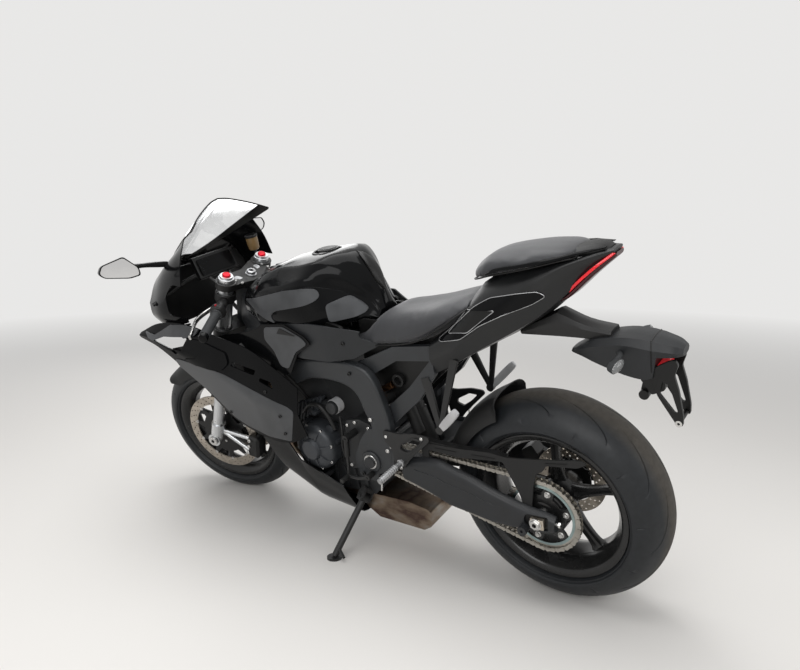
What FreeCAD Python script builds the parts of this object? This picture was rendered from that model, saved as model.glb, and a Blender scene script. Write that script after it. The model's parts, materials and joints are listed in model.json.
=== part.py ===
import FreeCAD, Part
import math
import os

# Supersport motorcycle, parked on its side stand with the bars turned to the left.
# It is laid out upright and straight ahead, in millimetres: X forward from the rear
# axle, Y to the rider's left, Z up from the floor. The last lines turn the steering,
# lean the machine on its stand and move the origin below the middle of its box.

Vector = FreeCAD.Vector
X_AXIS = Vector(1, 0, 0)
Y_AXIS = Vector(0, 1, 0)
Z_AXIS = Vector(0, 0, 1)

# Chassis geometry
WHEELBASE = 1455.0
RAKE_DEG = 24.0
TRAIL = 102.0
LEAN_DEG = 14.0
STEER_REST_DEG = 12.0

# Wheels and tyres
FRONT_TYRE_RADIUS = 300.0
FRONT_TYRE_WIDTH = 120.0
REAR_TYRE_RADIUS = 326.0
REAR_TYRE_WIDTH = 195.0
TYRE_SHOULDER_RADIUS = 247.0
RIM_SEAT_RADIUS = 216.0
GUARD_GAP = 12.0
RIM_FLANGE_HEIGHT = 15.0
RIM_WELL_DEPTH = 24.0
RIM_WALL = 6.0
REAR_SPACER_RADIUS = 17.0
FRONT_RIM_WIDTH = 96.0
REAR_RIM_WIDTH = 164.0
SPOKE_COUNT = 5
SPOKE_ROOT_WIDTH = 46.0
SPOKE_TIP_WIDTH = 30.0
FRONT_HUB_RADIUS = 34.0
REAR_HUB_RADIUS = 58.0
AXLE_RADIUS = 12.5
AXLE_BORE_RADIUS = 7.0
RUNNING_CLEARANCE = 0.3

# Brakes
FRONT_DISC_RADIUS = 165.0
FRONT_DISC_OFFSET = 66.0
REAR_DISC_RADIUS = 110.0
REAR_HUB_HALF = 76.0
DISC_THICKNESS = 5.0
PAD_GAP = 5.2
CALIPER_REACH = 158.0
DISC_BAND = 36.0
CARRIER_RADIUS = 66.0
DISC_BORE_RADIUS = 23.0
CARRIER_ARMS = 10

# Chain drive
CHAIN_PITCH = 15.875
REAR_TEETH = 43
FRONT_TEETH = 16
CHAIN_LINE = 115.0
CHAIN_PLATE_HEIGHT = 15.0
CHAIN_PLATE = 4.5
CHAIN_INNER_WIDTH = 10.0
CHAIN_PIN_RADIUS = 3.0
CHAIN_CLEARANCE = 4.0
SPROCKET_THICKNESS = 6.0
COUNTERSHAFT = (655.0, 420.0)

# Fork and steering head
FORK_SPACING = 210.0
FORK_OUTER_RADIUS = 27.5
FORK_LOWER_RADIUS = 21.5
FORK_CAP_HEIGHT = 753.0
FORK_OUTER_START = 300.0
FORK_LUG_TOP = 78.0
TOP_CLAMP = (706.0, 728.0)
BOTTOM_CLAMP = (500.0, 540.0)
STEM_RADIUS = 14.0
STEM_BORE_RADIUS = 8.0
HEAD_RADIUS = 34.0
BAR_RADIUS = 11.0
GRIP_RADIUS = 16.5
CLIP_HEIGHT = 672.0
CLIP_WIDTH = 32.0
BAR_END = (1100.0, 345.0, 868.0)

# Swingarm and rear suspension
PIVOT = (566.0, 399.0)
PIVOT_RADIUS = 30.0
PIVOT_BOLT_RADIUS = 10.7
ARM_INNER = 128.0
ARM_OUTER = 156.0
SHOCK_FOOT = (424.0, 346.0)
SHOCK_HEAD = (500.0, 606.0)
SHOCK_SPRING_RADIUS = 29.0
SPOOL = (38.0, 300.0)
SPOOL_HOLE_RADIUS = 4.0
SPOOL_HOLE_DEPTH = 18.0
SPOOL_HEIGHT = 22.0
SPOOL_RADIUS = 14.0

# Frame and engine
FRAME_FACE = 160.0
CASE_HALF_WIDTH = 112.0
GENERATOR_CENTRE = (815.0, 400.0)
GENERATOR_RADIUS = 86.0
GENERATOR_FACE = 190.0
CLUTCH_CENTRE = (720.0, 385.0)
CLUTCH_RADIUS = 92.0
CLUTCH_FACE = 186.0

SILENCER_Y = -214.0
PAN_BOSS = (800.0, 285.0)

# Bodywork
SKIN = 4.0
SCREEN_WALL = 3.0
SEAM = 0.3

FILLER_X = 734.0
FILLER_HEIGHT = 1044.0
FILLER_RADIUS = 43.0
CAP_THICKNESS = 6.0

# Side stand
STAND_PIVOT = (656.0, 137.0, 225.0)
STAND_FOOT = (697.0, 294.0)
STAND_TUBE_RADIUS = 11.0
STAND_BOLT_RADIUS = 6.0
STAND_FOOT_THICKNESS = 7.0

REAR_AXLE = Vector(0, 0, REAR_TYRE_RADIUS)
FRONT_AXLE = Vector(WHEELBASE, 0, FRONT_TYRE_RADIUS)
RAKE = math.radians(RAKE_DEG)
STEER_UP = Vector(-math.sin(RAKE), 0, math.cos(RAKE))
STEER_AHEAD = Vector(math.cos(RAKE), 0, math.sin(RAKE))
STEER_GROUND = Vector(WHEELBASE + TRAIL, 0, 0)
FORK_OFFSET = (FRONT_AXLE - STEER_GROUND).dot(STEER_AHEAD)
STEER_FOOT = FRONT_AXLE - STEER_AHEAD * FORK_OFFSET
FORK_Y = FORK_SPACING / 2
CAP_HINGE = Vector(FILLER_X + FILLER_RADIUS - 5, 0, FILLER_HEIGHT + CAP_THICKNESS)


def steer_point(height, ahead, side):
    """A point in the fork's own frame: up the steering axis, ahead of it and to the left."""
    return STEER_FOOT + STEER_UP * height + STEER_AHEAD * ahead + Y_AXIS * side


def fork_point(height, side=0.0):
    return steer_point(height, FORK_OFFSET, side)


# Shape helpers

def closed_wire(points):
    return Part.makePolygon(list(points) + [points[0]])


def rounded_wire(points, radii):
    """A closed outline whose corners are arcs; a radius of 0 keeps the corner sharp."""
    count = len(points)
    starts, ends, mids = [], [], []
    for i in range(count):
        corner = points[i]
        before = points[i - 1] - corner
        after = points[(i + 1) % count] - corner
        radius = radii[i]
        if radius <= 0:
            starts.append(corner)
            ends.append(corner)
            mids.append(None)
            continue
        a = Vector(before).normalize()
        b = Vector(after).normalize()
        half = a.getAngle(b) / 2
        reach = min(radius / math.tan(half), 0.48 * before.Length, 0.48 * after.Length)
        radius = reach * math.tan(half)
        starts.append(corner + a * reach)
        ends.append(corner + b * reach)
        middle = (a + b).normalize()
        mids.append(corner + middle * (radius / math.sin(half) - radius))
    edges = []
    for i in range(count):
        if mids[i] is not None:
            edges.append(Part.Arc(starts[i], mids[i], ends[i]).toShape())
        nxt = (i + 1) % count
        if (ends[i] - starts[nxt]).Length > 1e-6:
            edges.append(Part.LineSegment(ends[i], starts[nxt]).toShape())
    return Part.Wire(edges)


def side_plate(outline, y0, y1, radius=0.0):
    """A plate with its outline in side view, as (x, z) or (x, z, corner radius)."""
    points = [Vector(p[0], y0, p[1]) for p in outline]
    radii = [p[2] if len(p) > 2 else radius for p in outline]
    return Part.Face(rounded_wire(points, radii)).extrude(Vector(0, y1 - y0, 0))


def rod(start, end, radius):
    return Part.makeCylinder(radius, (end - start).Length, start, end - start)


def cone(start, end, radius0, radius1):
    return Part.makeCone(radius0, radius1, (end - start).Length, start, end - start)


def cross_rod(x, z, y0, y1, radius):
    return rod(Vector(x, y0, z), Vector(x, y1, z), radius)


def loft(sections):
    """A straight-sided loft through closed outlines that have the same number of points."""
    return Part.makeLoft([closed_wire(s) for s in sections], True, True)


def spin(profile, axle, angle=360.0):
    """Turn a closed (y, radius) profile about a wheel axle, starting straight up."""
    points = [Vector(axle.x, p[0], axle.z + p[1]) for p in profile]
    return Part.Face(closed_wire(points)).revolve(axle, Y_AXIS, angle)


def bent_tube(points, radius, bend):
    """A round tube along straight runs joined by tangent arcs."""
    count = len(points)
    edges = []
    last = points[0]
    for i in range(1, count - 1):
        a = (points[i - 1] - points[i]).normalize()
        b = (points[i + 1] - points[i]).normalize()
        half = a.getAngle(b) / 2
        reach = bend / math.tan(half)
        start = points[i] + a * reach
        end = points[i] + b * reach
        middle = points[i] + (a + b).normalize() * (bend / math.sin(half) - bend)
        edges.append(Part.LineSegment(last, start).toShape())
        edges.append(Part.Arc(start, middle, end).toShape())
        last = end
    edges.append(Part.LineSegment(last, points[-1]).toShape())
    path = Part.Wire(edges)
    circle = Part.Wire(Part.Circle(points[0], points[1] - points[0], radius).toShape())
    return path.makePipeShell([circle], True, False)


def mirrored(shape):
    return shape.mirror(Vector(0, 0, 0), Y_AXIS)


def joined(shapes):
    result = shapes[0]
    for other in shapes[1:]:
        result = result.fuse(other)
    return result.removeSplitter()


def pair(shape):
    """The left shape and its mirror image, as two solids of one node."""
    return Part.makeCompound([shape, mirrored(shape)])


def toward_centre(points, wall):
    """The inner line of a wall whose outer line is given as (y, z) from top to bottom."""
    inner = []
    for i, (y, z) in enumerate(points):
        before = points[max(i - 1, 0)]
        after = points[min(i + 1, len(points) - 1)]
        dy, dz = after[0] - before[0], after[1] - before[1]
        length = math.hypot(dy, dz)
        inner.append((y + wall * dz / length, z - wall * dy / length))
    return inner


def largest(shape):
    return max(shape.Solids, key=lambda solid: solid.Volume)


def seated(piece, *shells):
    """The piece trimmed where it meets each shell, without what is left beyond them."""
    for shell in shells:
        piece = piece.cut(shell)
    return largest(piece)


def panel(stations, wall=SKIN):
    """A body panel through stations (x, outer line from top to bottom), left side."""
    sections = []
    for x, line in stations:
        inner = toward_centre(line, wall)
        ring = line + inner[::-1]
        sections.append([Vector(x, y, z) for y, z in ring])
    return loft(sections)


def solid_body(stations):
    """A symmetrical solid through stations (x, left outline from top to bottom)."""
    sections = []
    for x, line in stations:
        ring = line + [(-y, z) for y, z in line[::-1] if y > 0]
        sections.append([Vector(x, y, z) for y, z in ring])
    return loft(sections)


# Wheels

def rim(axle, width, hub_radius, hub_half):
    half = width / 2
    seat = RIM_SEAT_RADIUS
    flange = seat + RIM_FLANGE_HEIGHT
    well = seat - RIM_WELL_DEPTH
    outer = [(-half, flange), (-half + 5, flange), (-half + 9, seat), (-half * 0.55, seat - 3),
             (-half * 0.38, well), (half * 0.38, well), (half * 0.55, seat - 3),
             (half - 9, seat), (half - 5, flange), (half, flange)]
    inner = [(half, flange - 10), (half - 6, seat - RIM_WALL), (half * 0.5, well - 2),
             (half * 0.34, well - RIM_WALL), (-half * 0.34, well - RIM_WALL),
             (-half * 0.5, well - 2), (-half + 6, seat - RIM_WALL), (-half, flange - 10)]
    shape = spin(outer + inner, axle)
    hub = spin([(-hub_half, AXLE_RADIUS + RUNNING_CLEARANCE), (-hub_half, hub_radius * 0.75),
                (-hub_half * 0.55, hub_radius), (hub_half * 0.55, hub_radius),
                (hub_half, hub_radius * 0.75), (hub_half, AXLE_RADIUS + RUNNING_CLEARANCE)], axle)
    parts = [shape, hub]
    tip = well - RIM_WALL + 3
    depth = min(hub_half * 0.5, half * 0.34)
    for k in range(SPOKE_COUNT):
        arm = spoke(axle, hub_radius - 6, tip, depth)
        arm.rotate(axle, Y_AXIS, 360.0 * k / SPOKE_COUNT)
        parts.append(arm)
    return joined(parts)


def spoke(axle, root, tip, depth):
    """One spoke, straight up: wide at the hub, with a raised middle rib."""
    sections = []
    for radius, half, thick in ((root, SPOKE_ROOT_WIDTH / 2, depth),
                                ((root + tip) / 2, SPOKE_TIP_WIDTH / 2 * 0.9, depth * 0.8),
                                (tip, SPOKE_TIP_WIDTH / 2, depth * 0.9)):
        outline = [(-half, thick * 0.5), (0, thick), (half, thick * 0.5),
                   (half, -thick * 0.5), (0, -thick), (-half, -thick * 0.5)]
        sections.append([axle + Vector(x, y, radius) for x, y in outline])
    return loft(sections)


def crown_radius(radius, width):
    """Radius of the arc across the tread."""
    drop = radius - TYRE_SHOULDER_RADIUS
    return ((width / 2) ** 2 + drop ** 2) / (2 * drop)


def tyre(axle, radius, width, rim_width):
    """A solid tyre with a round crown, standing on the rim's bead seats."""
    bead = rim_width / 2 - 9 - SEAM
    lip = rim_width / 2 - 5 - SEAM
    seat = RIM_SEAT_RADIUS + SEAM
    flange = RIM_SEAT_RADIUS + RIM_FLANGE_HEIGHT + SEAM
    side = [(bead, seat), (lip, flange), (width / 2, TYRE_SHOULDER_RADIUS)]
    left = [Vector(axle.x, y, axle.z + r) for y, r in side]
    right = [Vector(axle.x, -y, axle.z + r) for y, r in side]
    top = Vector(axle.x, 0, axle.z + radius)
    edges = [Part.LineSegment(right[0], left[0]).toShape(), Part.LineSegment(left[0], left[1]).toShape(),
             Part.LineSegment(left[1], left[2]).toShape(), Part.Arc(left[2], top, right[2]).toShape(),
             Part.LineSegment(right[2], right[1]).toShape(), Part.LineSegment(right[1], right[0]).toShape()]
    return Part.Face(Part.Wire(edges)).revolve(axle, Y_AXIS, 360.0)


def disc(axle, offset, radius, hub_radius):
    """A brake disc: a flat band on a carrier with arms."""
    y0 = offset - DISC_THICKNESS / 2
    band = spin([(y0, radius - DISC_BAND), (y0 + DISC_THICKNESS, radius - DISC_BAND),
                 (y0 + DISC_THICKNESS, radius), (y0, radius)], axle)
    ring = spin([(y0, hub_radius + RUNNING_CLEARANCE), (y0 + DISC_THICKNESS, hub_radius + RUNNING_CLEARANCE),
                 (y0 + DISC_THICKNESS, CARRIER_RADIUS), (y0, CARRIER_RADIUS)], axle)
    parts = [band, ring]
    for k in range(CARRIER_ARMS):
        arm = side_plate([(axle.x - 7, axle.z + CARRIER_RADIUS - 3),
                          (axle.x + 7, axle.z + CARRIER_RADIUS - 3),
                          (axle.x + 7, axle.z + radius - DISC_BAND + 5),
                          (axle.x - 7, axle.z + radius - DISC_BAND + 5)], y0, y0 + DISC_THICKNESS)
        arm.rotate(axle, Y_AXIS, 360.0 * k / CARRIER_ARMS)
        parts.append(arm)
    return joined(parts)


REAR_DISC_OFFSET = REAR_HUB_HALF + SEAM + DISC_THICKNESS / 2
REAR_PITCH_RADIUS = CHAIN_PITCH / (2 * math.sin(math.pi / REAR_TEETH))
FRONT_PITCH_RADIUS = CHAIN_PITCH / (2 * math.sin(math.pi / FRONT_TEETH))
SPROCKET_WINDOW = REAR_PITCH_RADIUS - 16


def toothed_plate(centre, teeth, pitch_radius, bore):
    """A sprocket plate with pointed teeth round its rim."""
    points = []
    for k in range(teeth):
        for part, radius in ((0.0, pitch_radius - 4.5), (0.5, pitch_radius + 4.5)):
            angle = 2 * math.pi * (k + part) / teeth
            points.append(Vector(centre.x + radius * math.cos(angle), 0, centre.z + radius * math.sin(angle)))
    plate = Part.Face(closed_wire(points)).extrude(Vector(0, SPROCKET_THICKNESS, 0))
    plate.translate(Vector(0, CHAIN_LINE - SPROCKET_THICKNESS / 2, 0))
    return plate.cut(cross_rod(centre.x, centre.z, CHAIN_LINE - 20, CHAIN_LINE + 20, bore))


def rear_sprocket():
    """The toothed ring, its spider and the carrier that reaches the hub."""
    ring = toothed_plate(REAR_AXLE, REAR_TEETH, REAR_PITCH_RADIUS, SPROCKET_WINDOW)
    y0 = CHAIN_LINE - SPROCKET_THICKNESS / 2
    bore = AXLE_RADIUS + 8
    spider = spin([(REAR_HUB_HALF + SEAM, bore), (y0 + SPROCKET_THICKNESS, bore),
                   (y0 + SPROCKET_THICKNESS, 62), (y0, 70), (REAR_HUB_HALF + SEAM, 70)], REAR_AXLE)
    parts = [ring, spider]
    for k in range(SPOKE_COUNT):
        arm = side_plate([(-13, REAR_AXLE.z + 58), (13, REAR_AXLE.z + 58),
                          (9, REAR_AXLE.z + SPROCKET_WINDOW + 3), (-9, REAR_AXLE.z + SPROCKET_WINDOW + 3)],
                         y0, y0 + SPROCKET_THICKNESS)
        arm.rotate(REAR_AXLE, Y_AXIS, 360.0 * (k + 0.5) / SPOKE_COUNT)
        parts.append(arm)
    return joined(parts)


FRONT_HUB_HALF = FRONT_DISC_OFFSET - DISC_THICKNESS / 2 - SEAM


def chain_loop(offset):
    """The side outline of the chain at a distance from its pitch line."""
    front = Vector(COUNTERSHAFT[0], 0, COUNTERSHAFT[1])
    gap = front - REAR_AXLE
    tilt = math.atan2(gap.z, gap.x)
    lean = math.acos((REAR_PITCH_RADIUS - FRONT_PITCH_RADIUS) / gap.Length)
    big, small = REAR_PITCH_RADIUS + offset, FRONT_PITCH_RADIUS + offset

    def at(centre, radius, angle):
        return centre + Vector(radius * math.cos(angle), 0, radius * math.sin(angle))

    top, bottom = tilt + lean, tilt - lean
    edges = [Part.LineSegment(at(REAR_AXLE, big, top), at(front, small, top)).toShape(),
             Part.Arc(at(front, small, top), at(front, small, tilt), at(front, small, bottom)).toShape(),
             Part.LineSegment(at(front, small, bottom), at(REAR_AXLE, big, bottom)).toShape(),
             Part.Arc(at(REAR_AXLE, big, bottom), at(REAR_AXLE, big, tilt + math.pi),
                      at(REAR_AXLE, big, top)).toShape()]
    return Part.Wire(edges)


def chain():
    """Two plate ribbons round both sprockets, held together by the pins of the straight runs."""
    half = CHAIN_PLATE_HEIGHT / 2
    parts = []
    for y in (CHAIN_LINE + CHAIN_INNER_WIDTH / 2, CHAIN_LINE - CHAIN_INNER_WIDTH / 2 - CHAIN_PLATE):
        outer = Part.Face(chain_loop(half)).extrude(Vector(0, CHAIN_PLATE, 0))
        inner = Part.Face(chain_loop(-half)).extrude(Vector(0, CHAIN_PLATE, 0))
        ribbon = outer.cut(inner)
        ribbon.translate(Vector(0, y, 0))
        parts.append(ribbon)
    front = Vector(COUNTERSHAFT[0], 0, COUNTERSHAFT[1])
    gap = front - REAR_AXLE
    tilt = math.atan2(gap.z, gap.x)
    lean = math.acos((REAR_PITCH_RADIUS - FRONT_PITCH_RADIUS) / gap.Length)
    pins = 8
    for angle in (tilt + lean, tilt - lean):
        out = Vector(math.cos(angle), 0, math.sin(angle))
        start = REAR_AXLE + out * REAR_PITCH_RADIUS
        run = front + out * FRONT_PITCH_RADIUS - start
        for k in range(pins):
            centre = start + run * ((k + 1.0) / (pins + 1.0))
            parts.append(cross_rod(centre.x, centre.z, CHAIN_LINE - CHAIN_INNER_WIDTH / 2 - 1,
                                   CHAIN_LINE + CHAIN_INNER_WIDTH / 2 + 1, CHAIN_PIN_RADIUS))
    for k in range(-4, 5):
        angle = 2 * math.pi * k / FRONT_TEETH
        parts.append(cross_rod(front.x + FRONT_PITCH_RADIUS * math.cos(angle),
                               front.z + FRONT_PITCH_RADIUS * math.sin(angle),
                               CHAIN_LINE - CHAIN_INNER_WIDTH / 2 - 1,
                               CHAIN_LINE + CHAIN_INNER_WIDTH / 2 + 1, CHAIN_PIN_RADIUS))
    return joined(parts)


# Steering group

def fork_leg(side):
    """Outer tube, polished lower tube, axle lug and top cap of one fork leg."""
    y = FORK_Y * side
    outer = rod(fork_point(FORK_OUTER_START, y), fork_point(FORK_CAP_HEIGHT - 10, y), FORK_OUTER_RADIUS)
    lower = rod(fork_point(FORK_LUG_TOP - 8, y), fork_point(FORK_OUTER_START + 4, y), FORK_LOWER_RADIUS)
    lug = rod(fork_point(-4, y), fork_point(FORK_LUG_TOP, y), FORK_LOWER_RADIUS + 5)
    boss = cross_rod(FRONT_AXLE.x, FRONT_AXLE.z, y - 24, y + 24, 27.0)
    cap = rod(fork_point(FORK_CAP_HEIGHT - 12, y), fork_point(FORK_CAP_HEIGHT, y), FORK_OUTER_RADIUS - 5)
    arms = []
    for along, back in ((52, 16 - CALIPER_REACH), (-10, 16 - CALIPER_REACH)):
        root = steer_point(40, FORK_OFFSET - 8, y - 8 * side)
        tip = steer_point(along, FORK_OFFSET + back, FRONT_DISC_OFFSET * side + 18 * side)
        arms.append(rod(root, tip, 9.0))
    leg = joined([outer, lower, lug, boss, cap] + arms)
    leg = leg.cut(cross_rod(FRONT_AXLE.x, FRONT_AXLE.z, 0, side * (FORK_Y - 24), 17.0 + SEAM))
    return leg.cut(cross_rod(FRONT_AXLE.x, FRONT_AXLE.z, y - 40, y + 40, AXLE_RADIUS + RUNNING_CLEARANCE))


def clamp_plate(levels, back, front, radius):
    """One fork clamp: an outline across both legs, seen along the steering axis."""
    wide = FORK_Y + FORK_OUTER_RADIUS + 12
    outline = [(back, -34), (FORK_OFFSET - 30, -wide), (FORK_OFFSET + 26, -wide), (front, -40),
               (front, 40), (FORK_OFFSET + 26, wide), (FORK_OFFSET - 30, wide), (back, 34)]
    points = [steer_point(levels[0], a, b) for a, b in outline]
    face = Part.Face(rounded_wire(points, [radius] * len(points)))
    return face.extrude(STEER_UP * (levels[1] - levels[0]))


def triple_clamps():
    top = clamp_plate(TOP_CLAMP, -32, FORK_OFFSET + 14, 16)
    bottom = clamp_plate(BOTTOM_CLAMP, -30, FORK_OFFSET + 8, 16)
    stem = rod(steer_point(BOTTOM_CLAMP[0], 0, 0), steer_point(TOP_CLAMP[1] + 6, 0, 0), STEM_RADIUS)
    shape = joined([top, bottom, stem])
    for side in (1, -1):
        shape = shape.cut(rod(fork_point(BOTTOM_CLAMP[0] - 20, FORK_Y * side),
                              fork_point(TOP_CLAMP[1] + 40, FORK_Y * side), FORK_OUTER_RADIUS))
        for ahead in (2, 24):
            shape = shape.cut(rod(steer_point(TOP_CLAMP[0] - 5, ahead, 46 * side),
                                  steer_point(TOP_CLAMP[1] + 5, ahead, 46 * side), 9))
    return shape.cut(rod(steer_point(BOTTOM_CLAMP[0] - 5, 0, 0), steer_point(TOP_CLAMP[1] + 20, 0, 0),
                         STEM_BORE_RADIUS))


def front_axle():
    shape = cross_rod(FRONT_AXLE.x, FRONT_AXLE.z, -FORK_Y - 27, FORK_Y + 27, AXLE_RADIUS)
    for y0, y1 in ((FORK_Y + 27, FORK_Y + 33), (-FORK_Y - 33, -FORK_Y - 27)):
        shape = shape.fuse(cross_rod(FRONT_AXLE.x, FRONT_AXLE.z, y0, y1, 19.0))
    collars = []
    for y0, y1 in ((FRONT_HUB_HALF + 3, FORK_Y - 24.3), (-FORK_Y + 24.3, -FRONT_HUB_HALF - 3)):
        collars.append(cross_rod(FRONT_AXLE.x, FRONT_AXLE.z, y0, y1, 17.0))
    shape = joined([shape] + collars)
    return shape.cut(cross_rod(FRONT_AXLE.x, FRONT_AXLE.z, -200, 200, AXLE_BORE_RADIUS))


def front_mudguard():
    """A thin arched guard over the front tyre with a tab to each fork leg."""
    radius = FRONT_TYRE_RADIUS + GUARD_GAP
    line = [(FORK_Y - 33, radius - 62), (FORK_Y - 36, radius - 38), (44, radius - 12), (0, radius)]
    outer = line + [(-y, r) for y, r in line[-2::-1]]
    inner = [(y - 3 * (1 if y > 0 else -1) if abs(y) > 1 else 0, r - 3) for y, r in outer[::-1]]
    guard = spin(outer + inner, FRONT_AXLE, 118.0)
    guard.rotate(FRONT_AXLE, Y_AXIS, -78.0)
    tabs = []
    for side in (1, -1):
        lug = steer_point(262, FORK_OFFSET, side * (FORK_Y - FORK_LOWER_RADIUS - SEAM))
        inner_end = steer_point(262, FORK_OFFSET, side * (FORK_Y - 37))
        tabs.append(rod(inner_end, lug, 12.0))
    return joined([guard] + tabs)


def handlebar():
    """Left clip-on: split clamp on the fork leg, bar, switch block, grip and end weight."""
    clamp = rod(fork_point(CLIP_HEIGHT - CLIP_WIDTH / 2, FORK_Y),
                fork_point(CLIP_HEIGHT + CLIP_WIDTH / 2, FORK_Y), FORK_OUTER_RADIUS + 8)
    end = Vector(*BAR_END)
    start = steer_point(CLIP_HEIGHT, FORK_OFFSET - 16, FORK_Y + FORK_OUTER_RADIUS)
    along = (end - start).normalize()
    bar = rod(start, end - along * 4, BAR_RADIUS)
    switch = rod(start + along * 52, start + along * 84, 21)
    grip = rod(start + along * 92, end - along * 16, GRIP_RADIUS)
    weight = cone(end - along * 16, end + along * 12, 14, 12)
    shape = joined([clamp, bar, switch, grip, weight])
    return shape.cut(rod(fork_point(CLIP_HEIGHT - 40, FORK_Y), fork_point(CLIP_HEIGHT + 40, FORK_Y),
                         FORK_OUTER_RADIUS))


def lever():
    """Left lever: perch round the bar and a blade curving ahead of the grip."""
    end = Vector(*BAR_END)
    start = steer_point(CLIP_HEIGHT, FORK_OFFSET - 16, FORK_Y + FORK_OUTER_RADIUS)
    along = (end - start).normalize()
    ahead = Vector(0.97, 0.2, -0.1)
    perch = rod(start + along * 20, start + along * 46, 19)
    perch = perch.cut(rod(start, end, BAR_RADIUS))
    root = start + along * 33
    knee = root + ahead * 50 + along * 22
    middle = root + ahead * 74 + along * 70
    tip = end + ahead * 58 - along * 20
    blade = joined([rod(root + ahead * 15, knee, 8), Part.makeSphere(8, knee), rod(knee, middle, 7),
                    Part.makeSphere(7, middle), rod(middle, tip, 6), Part.makeSphere(8, tip)])
    return joined([perch, blade])


def reservoir(bar):
    """Brake fluid cup on its arm above the right bar."""
    base = steer_point(CLIP_HEIGHT + 60, FORK_OFFSET + 62, -(FORK_Y + 48))
    cup = rod(base, base + Z_AXIS * 50, 22)
    lid = rod(base + Z_AXIS * 50, base + Z_AXIS * 58, 24)
    foot = steer_point(CLIP_HEIGHT + 8, FORK_OFFSET + 16, -(FORK_Y + 28))
    stay = rod(foot, base + Z_AXIS * 6, 6)
    return seated(joined([cup, lid, stay]), bar)


def front_caliper(leg):
    """Left radial caliper astride the disc, behind the fork lug."""
    centre = steer_point(18, FORK_OFFSET - CALIPER_REACH, 0)
    length, height = 100.0, 52.0
    block = Part.makeBox(height, 62, length, Vector(-height / 2, FRONT_DISC_OFFSET - 31, -length / 2))
    block = block.makeChamfer(9, block.Edges)
    block.rotate(Vector(0, 0, 0), Y_AXIS, -RAKE_DEG + 8)
    block.translate(centre)
    inner = FRONT_DISC_OFFSET - DISC_THICKNESS / 2 - PAD_GAP
    outer = FRONT_DISC_OFFSET + DISC_THICKNESS / 2 + PAD_GAP
    rim_side = FRONT_DISC_RADIUS + PAD_GAP
    slot = spin([(inner, 60), (outer, 60), (outer, rim_side), (inner, rim_side)], FRONT_AXLE)
    return block.cut(slot).cut(leg)


# Frame and engine

SPAR_STATIONS = (
    # outer x, outer z, inner x, inner z, y in, y out
    (1146, 896, 1186, 790, 30, 50),
    (1056, 850, 1084, 726, 66, 96),
    (940, 778, 965, 655, 112, 146),
    (845, 724, 862, 626, 126, FRAME_FACE - 2),
    (710, 730, 765, 660, 128, FRAME_FACE),
    (590, 732, 645, 660, 128, FRAME_FACE),
    (520, 704, 588, 632, 126, FRAME_FACE - 2),
    (484, 630, 562, 572, 129, FRAME_FACE),
    (466, 520, 548, 508, 130, FRAME_FACE),
    (486, 400, 606, 410, 130, FRAME_FACE),
    (530, 330, 618, 336, 130, FRAME_FACE - 4),
)


def headstock():
    """Steering head tube with the web that carries both spars."""
    tube = rod(steer_point(BOTTOM_CLAMP[1] + 8, 0, 0), steer_point(TOP_CLAMP[0] - 8, 0, 0), HEAD_RADIUS)
    web = side_plate([(1172, 934, 10), (1108, 905, 20), (1090, 820, 20), (1118, 742, 20), (1212, 792, 10)],
                     -44, 44)
    shape = joined([tube, web])
    return shape.cut(rod(steer_point(BOTTOM_CLAMP[1] - 10, 0, 0), steer_point(TOP_CLAMP[1], 0, 0),
                         STEM_RADIUS + 1))


def frame_side(head):
    """Left spar: from the steering head over the engine and down to the swingarm pivot."""
    sections = []
    for ox, oz, ix, iz, y0, y1 in SPAR_STATIONS:
        sections.append([Vector(ox, y0, oz), Vector(ox, y1, oz), Vector(ix, y1, iz), Vector(ix, y0, iz)])
    spar = loft(sections)
    boss = cross_rod(PIVOT[0], PIVOT[1], 128, FRAME_FACE + 6, 34)
    shape = joined([spar, boss]).cut(head)
    return shape.cut(cross_rod(PIVOT[0], PIVOT[1], 100, 200, PIVOT_BOLT_RADIUS + RUNNING_CLEARANCE))


CASE_OUTLINE = [(548, 318, 20), (620, 232, 20), (850, 222, 20), (948, 290, 20), (962, 400, 20),
                (900, 468, 10), (612, 482, 20), (598, 430, 10)]
BANK_OUTLINE = [(700, 470, 6), (900, 462, 6), (985, 626, 10), (1000, 700, 14), (818, 742, 14), (782, 690, 10)]


def engine_block(frames, pan):
    """Crankcase and forward-leaning cylinder bank."""
    case = side_plate(CASE_OUTLINE, -CASE_HALF_WIDTH, CASE_HALF_WIDTH)
    bank = side_plate(BANK_OUTLINE, -CASE_HALF_WIDTH + 4, CASE_HALF_WIDTH - 4)
    crank_cheek = side_plate([(745, 320, 16), (900, 320, 16), (920, 440, 16), (740, 455, 16)], -118, 118)
    pad = side_plate([(745, 330, 10), (880, 330, 10), (880, 452, 10), (742, 452, 10)], -110, 110)
    shape = joined([case, bank, crank_cheek, pad])
    for frame in frames:
        shape = shape.cut(frame)
    run = CHAIN_LINE - CHAIN_INNER_WIDTH / 2 - CHAIN_PLATE - CHAIN_CLEARANCE
    pocket = side_plate([(530, 330), (706, 350), (712, 420), (706, 486), (530, 500)], run, run + 60)
    shaft = cross_rod(COUNTERSHAFT[0], COUNTERSHAFT[1], run - 1, CHAIN_LINE - SPROCKET_THICKNESS / 2, 20)
    shape = shape.cut(pocket)
    shape = shape.cut(cross_rod(PIVOT[0], PIVOT[1], -200, 200, PIVOT_RADIUS + 6))
    bosses = [seated(cross_rod(PAN_BOSS[0], PAN_BOSS[1], side * 105, side * 174, 9), pan) for side in (1, -1)]
    return joined([shape, shaft, front_sprocket()] + bosses)


def front_sprocket():
    centre = Vector(COUNTERSHAFT[0], 0, COUNTERSHAFT[1])
    return toothed_plate(centre, FRONT_TEETH, FRONT_PITCH_RADIUS, 8)


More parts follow.
